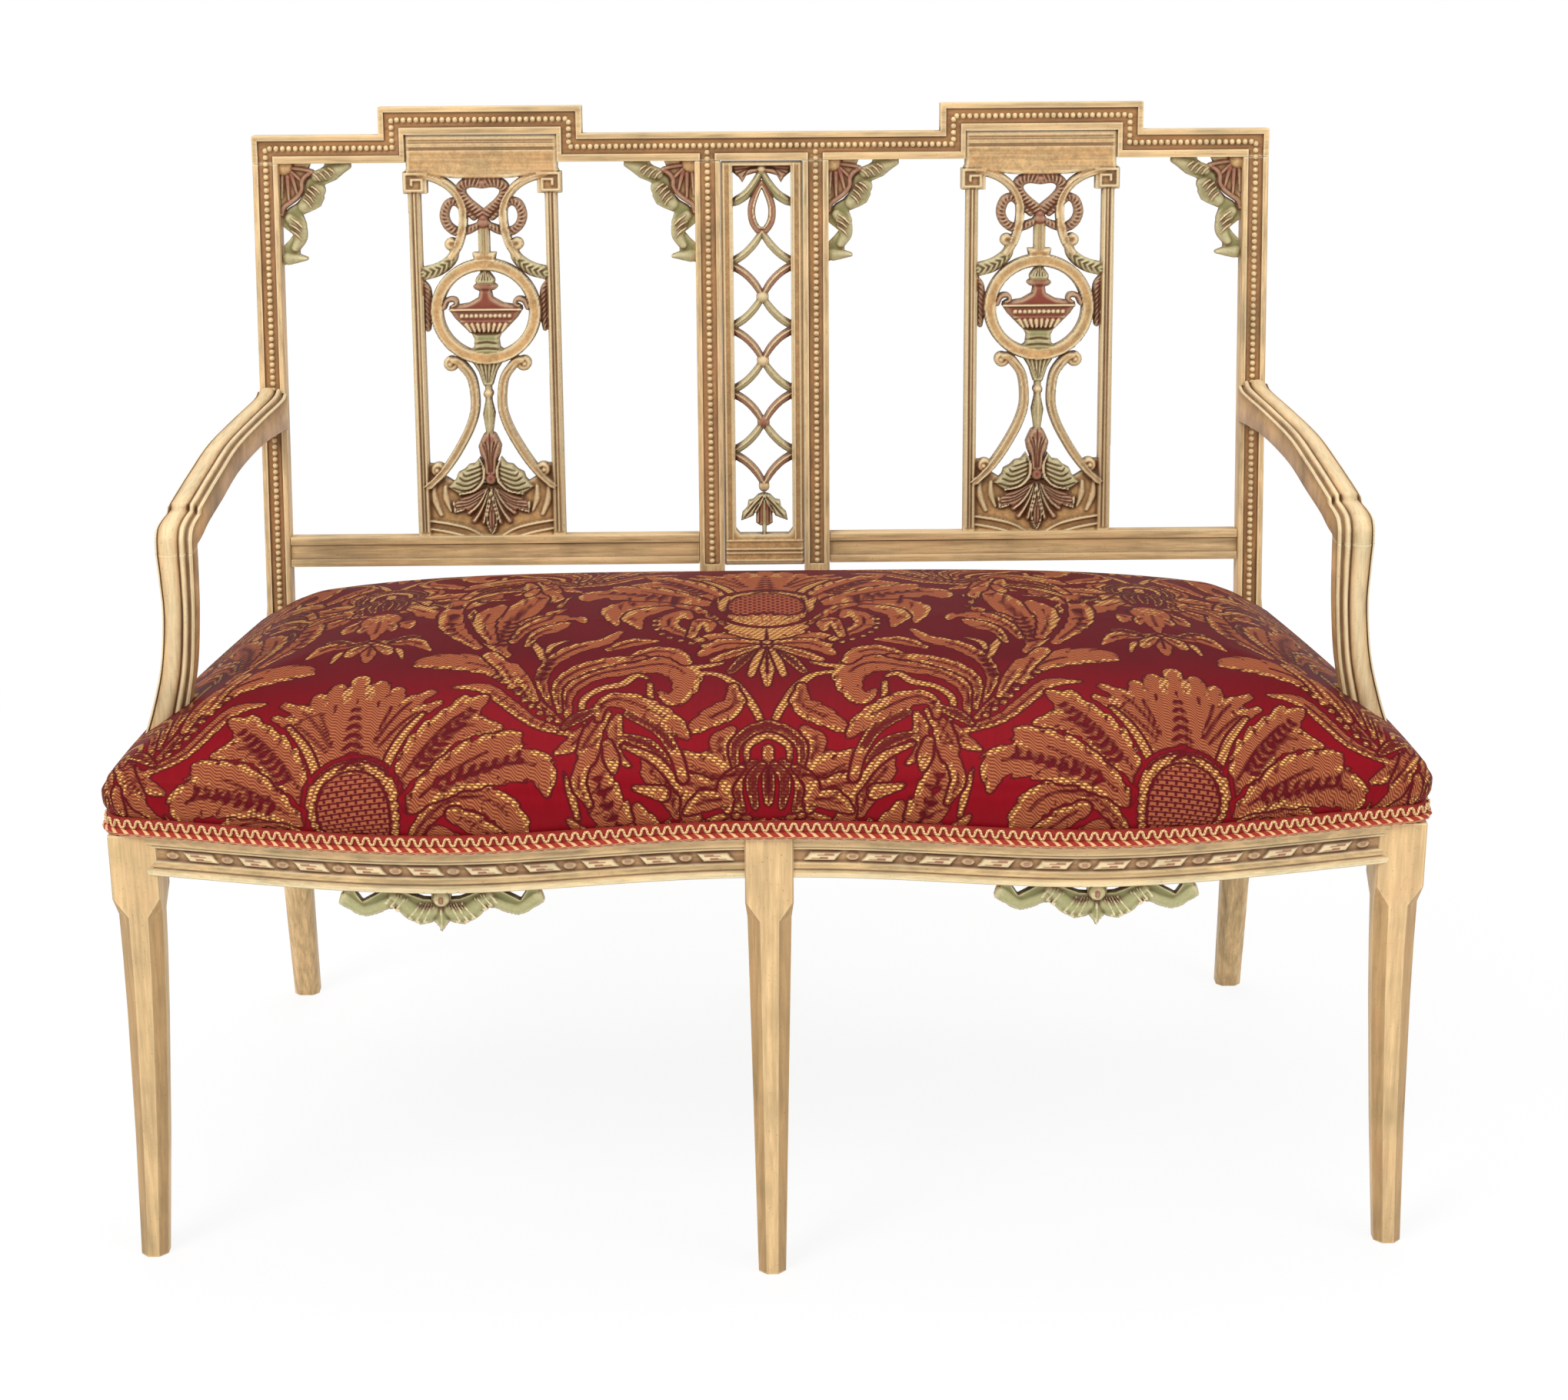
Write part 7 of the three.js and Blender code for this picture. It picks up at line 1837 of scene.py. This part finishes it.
def make_arms(tones):
    """The arms from the posts to the elbows, and the supports from the rails up to them."""
    rear_z = ARM_TOP - 18
    rear_x, rear_y = post_x(rear_z), back_y(rear_z)
    elbow_x, run, bottom, half = rear_x + 17, rear_y - SUPPORT_Y, ARM_TOP - 27, SUPPORT_DEPTH / 2
    arm = []
    for inward, at, high, low, wide in (
        (0, 0.002, -4, 12, 30), (0, 0.066, -1, 7, 30), (0.5, 0.25, 1, 2, 30), (1, 0.48, 3, 4, 30),
        (1, 0.7, 6, 8, 30),
    ):
        y = rear_y - run * at
        arm.append((rear_x + 13 * inward, y, ARM_TOP - high, y, bottom - low, wide))
    for inward, face, high, rear, low, wide in (
        (-4, 56, 10, 57, 10, 30), (-3, 30, 13, 31, 5, 30), (-1, 10, 16, 19, 2, 31), (0, -7, 20.5, 16, 1, 32),
        (0, -17, 29, half, 0.5, 32), (0, -19.4, 39, half, 0.2, 32),
        (0, -half / (1 - LIP_DROP) - 2, 48, half, 0, 32),
    ):
        arm.append(
            (elbow_x + inward, SUPPORT_Y + face, ARM_TOP - high, SUPPORT_Y + rear, ELBOW_BOTTOM + low, wide)
        )
    low_x = float(side_x(SUPPORT_Y)) - 19
    low, high = TACK_TOP - 1.0, ELBOW_BOTTOM + 1
    support = []
    for rise, lean, forward, wide in (
        (0, 0, 0, 38), (0.13, 0.16, -1, 36), (0.3, 0.52, -3, 32), (0.5, 0.86, -4, 29), (0.72, 1.02, -3, 28),
        (0.88, 1.02, -1, 30), (1, 1, 0, 32),
    ):
        y, z = SUPPORT_Y + forward, low + (high - low) * rise
        support.append((low_x + (elbow_x - low_x) * lean, y - half, z, y + half, z, wide))
    for side, name in ((-1, "left"), (1, "right")):
        ridged_bar("moulded_arm_" + name, "arm_" + name, side, arm, tones["arm"], LIP_Y)
        ridged_bar("moulded_support_" + name, "arm_support_" + name, side, support, tones["arm"])


# Upholstery


def cover_marks(weave, flat):
    """The damask's fields where the cloth lies, and its own coordinates."""
    u, v = flat[..., 0].ravel(), flat[..., 1].ravel()
    fields = dict(zip(("leaf_a", "leaf_b", "leaf_c"), weave.layers))
    fields.update(sunk=weave.sunk, gold=weave.gold, scales=weave.scales)
    marks = {key: weave.at(field, u, v) for key, field in fields.items()}
    return {**marks, "cloth": np.stack([u, v, 0 * u], -1)}


def make_cover(finish):
    """The damask as a closed skin: a fine face, a coarser back and a rim of seven-cornered faces between."""
    count, rows, coarse, thick = 936, 99, 4, 1.4
    outer = seat_rows(count, rows)
    flat = laid_flat(seat_rows(count, rows, seam=0))
    flat[-1] = outer[-1, :, :2]
    # The back of the cloth needs fewer points, but keeps close rows where it tucks under the swell
    kept_rows = [*range(0, 16, 2), *range(16, rows, 8), rows + 1]
    inner = seat_rows(count, rows, thick, 24.0)[kept_rows, ::coarse]
    marks = cover_marks(woven_repeat(), flat)
    n = outer.shape[0] * count
    below = inner.reshape(-1, 3)
    faces = [grid_faces(outer.shape[0], count), grid_faces(inner.shape[0], count // coarse)[:, ::-1] + n]
    k = np.arange(count // coarse)
    rim = [(coarse * k + step) % count for step in range(coarse, -1, -1)]
    faces.append(np.stack([*rim, n + k, n + (k + 1) % len(k)], -1))
    tints = {}
    for key, values in marks.items():
        plain = 0 if key == "cloth" else OUTSIDE
        tints[key] = np.concatenate([values, np.full((len(below), *values.shape[1:]), plain)])
    obj = piece("damask_seat_cover", np.vstack([outer.reshape(-1, 3), below]), faces, finish, tints)
    settled(outward(obj, close=True), "seat_cover")


def make_padding(finish):
    """The stuffing, from the tacks up to the cover, with a flat underside."""
    count, lowest = 220, TACK_TOP + 0.5
    outer = seat_rows(count, 26, 3.4, 24.0)
    edge = outer[0] * [1, 1, 0] + [0, 0, lowest]
    rows = np.concatenate([edge[None], outer[3:]])
    rows[..., 2] = np.maximum(rows[..., 2], lowest)
    obj = piece("horsehair_padding", rows, [grid_faces(rows.shape[0], count)], finish)
    settled(outward(obj, close=True), "seat_padding")


# Room that the braid leaves for each rear post
POST_ROOM = 22


def gimp_line(count, out, z):
    """A line along the seat's edge, from one rear post round the front to the other."""
    edge = seat_outline(4000)
    into = inward(edge)
    p = edge - into * out
    half = len(p) // 2
    p = p[np.arange(-half, half) % len(p)]
    keep = (np.abs(p[:, 0]) > REAR_X - POST_ROOM) | (p[:, 1] < SEAT_DEPTH * 0.8)
    line = evenly(p[keep & (p[:, 1] < SEAT_DEPTH - POST_ROOM)], count)
    return np.column_stack([line, np.full(len(line), z)])


def runs(line):
    """Distance along a line at each of its points."""
    return np.r_[0, np.cumsum(np.linalg.norm(np.diff(line, axis=0), axis=1))]


def rope(name, line, radius, lobes, twist, finish, sides=8):
    """A cord along a line. Its turn mark counts strands."""
    line = np.asarray(line)
    ahead = np.gradient(line, axis=0)
    ahead /= np.linalg.norm(ahead, axis=1, keepdims=True)
    across = np.cross(ahead, (0, 0, 1.0))
    across /= np.linalg.norm(across, axis=1, keepdims=True)
    above = np.cross(across, ahead)
    a = np.linspace(0, 2 * np.pi, sides, endpoint=False)
    run = runs(line)[:, None]
    swell = 1 + 0.12 * np.cos(lobes * (a - 2 * np.pi * run / twist))
    circle = across[:, None] * np.cos(a)[:, None] + above[:, None] * np.sin(a)[:, None]
    rings = line[:, None] + radius * swell[..., None] * circle
    return loft(name, rings, finish, {"turn": lobes * (a / (2 * np.pi) - run / twist)})


# The braid's scallops: their pitch, and how far they swing up and down
SCALLOP_PITCH, SCALLOP_SWING = 9.6, 3.1


def make_gimp(tape, gold, red):
    """The braid: a tape, a twisted cord along its foot and a gold cord laid in scallops over it."""
    low, high = RAIL_TOP + 0.4, TACK_TOP - 0.4
    section = ((0, low), (1.2, low), (3.4, low + 3), (3.4, high - 3), (1.2, high), (0, high))
    rings = np.stack([gimp_line(900, out, z) for out, z in section], 1)
    settled(loft("gimp_tape", rings, tape), "gimp_braid")
    settled(rope("gimp_red_cord", gimp_line(1400, 4.2, low + 3.6), 3.1, 2, -19.2, red))
    wave = gimp_line(4200, 4.2, low + 11.0)
    wave[:, 2] += SCALLOP_SWING * np.tanh(2 * np.sin(2 * np.pi * runs(wave) / SCALLOP_PITCH))
    settled(rope("gimp_scallops", wave, 1.2, 2, 5.0, gold, 6))


def make_hidden(tones):
    """What is inside the seat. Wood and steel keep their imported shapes; the cloths get soft edges."""
    for key, finish in (
        ("corner_block", "bare"), ("seat_brace", "bare"), ("screw", "steel"), ("seat_spring", "steel")
    ):
        for name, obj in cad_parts.items():
            if key in name:
                for slot in obj.material_slots:
                    slot.material = tones[finish]
    for node, name, finish, under in (
        ("seat_burlap", "burlap_over_springs", "burlap", "seat_spring_1"),
        ("seat_webbing", "jute_webbing", "webbing", None),
        ("dust_cover", "linen_dust_cover", "linen", "seat_webbing"),
    ):
        obj = settled(eased_copy(node, name, tones[finish], 0.2, 1, 40), node)
        if under:
            low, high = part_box(node)


# Sizes and colours that a user would change


def length(name, description, default):
    """A setting in metres."""
    return bpy.props.FloatProperty(name=name, description=description, default=default, unit="LENGTH")


def paint(name, description, *default):
    """A setting for a paint's colour."""
    return bpy.props.FloatVectorProperty(
        name=name, description=description, default=rgb(*default)[:3], subtype="COLOR",
    )


class SetteeSettings(bpy.types.PropertyGroup):
    """What a user would change"""

    bead: length("Bead", "Width of the beads along the back", 0.0055)
    bead_pitch: length("Bead pitch", "Distance between beads", 0.0063)
    floor: length("Floor", "Width of the studio floor", 9.0)
    lamps: bpy.props.FloatProperty(
        name="Lamps", description="Share of the lamps' plain power", default=1.0, min=0.0
    )
    cream: paint("Cream paint", "Raised paint of the back", 216, 182, 132)
    brown: paint("Brown paint", "Sunk bands of the back", 174, 128, 80)


def tones():
    """The painted finishes, made once."""
    made = tones.made
    if not made:
        s = bpy.context.scene.settee
        cream, brown = tuple(s.cream) + (1.0,), tuple(s.brown) + (1.0,)
        up_grain, across = (1, 1, 0.06), (0.06, 1, 1)
        made.update(
            cream=painted("Cream paint", cream, across), channel=painted("Brown paint", brown, across, 0.8),
            post=painted("Post paint", cream, up_grain), side=painted("Post brown", brown, up_grain, 0.8),
            bead=painted("Bead paint", toned(cream, 1.15), glaze_and_shade_share=0.5),
            carving=painted("Carving paint", rgb(202, 160, 106), glaze_and_shade_share=1.0, calm=0.45),
            leg=painted("Leg paint", rgb(218, 184, 134), up_grain, 0.8, 1.0),
            # Darker copy of the leg paint for the corner flats: painted shade
            facet=painted("Leg facet paint", rgb(186, 150, 102), up_grain, 0.9, 1.0),
            side_rail=painted("Side rail paint", rgb(206, 172, 122), (1, 0.06, 1)),
            arm=painted("Arm paint", rgb(200, 160, 110), (1, 0.1, 0.12), 1.0, 0.2),
            bow=painted("Bow paint", rgb(198, 186, 136)),
            rail=painted("Rail paint", rgb(200, 166, 116), across),
            bare=bare_wood("Bare beech", rgb(176, 134, 88)), steel=old_steel("Old steel"),
            burlap=woven("Burlap", rgb(168, 140, 98), 2.4),
            webbing=woven("Jute webbing", rgb(176, 148, 104), 3.2, True),
            linen=woven("Dust linen", rgb(120, 112, 100), 1.6),
        )
    return made


tones.made = {}


class SETTEE_OT_stage(bpy.types.Operator):
    """Sets up the floor, the lamps and the camera"""

    bl_idname = "settee.stage"
    bl_label = "Stage"

    def execute(self, context):
        make_stage(context.scene.settee.floor, context.scene.settee.lamps)
        return {"FINISHED"}


class SETTEE_OT_members(bpy.types.Operator):
    """Dresses the crest, posts, stiles and lower rails, with their rows of beads"""

    bl_idname = "settee.members"
    bl_label = "Back members"

    def execute(self, context):
        make_members(tones(), context.scene.settee.bead, context.scene.settee.bead_pitch)
        return {"FINISHED"}


class SETTEE_OT_splats(bpy.types.Operator):
    """Carves the two splats"""

    bl_idname = "settee.splats"
    bl_label = "Splats"

    def execute(self, context):
        make_splats(tones())
        return {"FINISHED"}


class SETTEE_OT_lattice(bpy.types.Operator):
    """Carves the pierced panel between the stiles"""

    bl_idname = "settee.lattice"
    bl_label = "Lattice panel"

    def execute(self, context):
        make_lattice(tones())
        return {"FINISHED"}


class SETTEE_OT_brackets(bpy.types.Operator):
    """Carves the four corner brackets"""

    bl_idname = "settee.brackets"
    bl_label = "Corner brackets"

    def execute(self, context):
        make_brackets(tones())
        return {"FINISHED"}


class SETTEE_OT_rails(bpy.types.Operator):
    """Makes the seat rails and the carved bows under them"""

    bl_idname = "settee.rails"
    bl_label = "Seat rails and bows"

    def execute(self, context):
        make_rails(tones())
        make_bows(tones())
        return {"FINISHED"}


class SETTEE_OT_legs(bpy.types.Operator):
    """Dresses the legs"""

    bl_idname = "settee.legs"
    bl_label = "Legs"

    def execute(self, context):
        make_legs(tones())
        return {"FINISHED"}


class SETTEE_OT_arms(bpy.types.Operator):
    """Moulds the arms and their supports"""

    bl_idname = "settee.arms"
    bl_label = "Arms"

    def execute(self, context):
        make_arms(tones())
        return {"FINISHED"}


class SETTEE_OT_padding(bpy.types.Operator):
    """Stuffs the seat"""

    bl_idname = "settee.padding"
    bl_label = "Padding"

    def execute(self, context):
        make_padding(stuffing("Horsehair"))
        return {"FINISHED"}


class SETTEE_OT_cover(bpy.types.Operator):
    """Weaves the damask and stretches it over the seat"""

    bl_idname = "settee.cover"
    bl_label = "Seat cover"

    def execute(self, context):
        make_cover(damask("Crimson damask"))
        return {"FINISHED"}


class SETTEE_OT_gimp(bpy.types.Operator):
    """Lays the braid along the cover's edge"""

    bl_idname = "settee.gimp"
    bl_label = "Gimp braid"

    def execute(self, context):
        red = corded("Red cord", rgb(236, 184, 132), rgb(160, 50, 38), 0.3)
        gold = corded("Gold cord", rgb(252, 218, 162), rgb(208, 144, 92), 0.66)
        make_gimp(corded("Gimp tape", rgb(160, 58, 42), rgb(132, 24, 30)), gold, red)
        return {"FINISHED"}


class SETTEE_OT_hidden(bpy.types.Operator):
    """Finishes the springs, webbing, blocks and screws inside the seat"""

    bl_idname = "settee.hidden"
    bl_label = "Inside the seat"

    def execute(self, context):
        make_hidden(tones())
        return {"FINISHED"}


STEPS = (
    SETTEE_OT_stage, SETTEE_OT_members, SETTEE_OT_splats, SETTEE_OT_lattice, SETTEE_OT_brackets,
    SETTEE_OT_rails, SETTEE_OT_legs, SETTEE_OT_arms, SETTEE_OT_padding, SETTEE_OT_cover, SETTEE_OT_gimp,
    SETTEE_OT_hidden,
)


class SETTEE_PT_panel(bpy.types.Panel):
    """The settee's settings and pieces"""

    bl_idname = "SETTEE_PT_panel"
    bl_label = "Settee"
    bl_space_type = "VIEW_3D"
    bl_region_type = "UI"
    bl_category = "Settee"

    def draw(self, context):
        for key in SetteeSettings.__annotations__:
            self.layout.prop(context.scene.settee, key)
        for step in STEPS:
            self.layout.operator(step.bl_idname)


def register():
    for cls in (SetteeSettings, *STEPS, SETTEE_PT_panel):
        bpy.utils.register_class(cls)
    bpy.types.Scene.settee = bpy.props.PointerProperty(type=SetteeSettings)


def unregister():
    del bpy.types.Scene.settee
    for cls in (SETTEE_PT_panel, *reversed(STEPS), SetteeSettings):
        bpy.utils.unregister_class(cls)


def main():
    register()
    for step in STEPS:
        group, name = step.bl_idname.split(".")
        getattr(getattr(bpy.ops, group), name)()


if __name__ == "__main__":
    main()
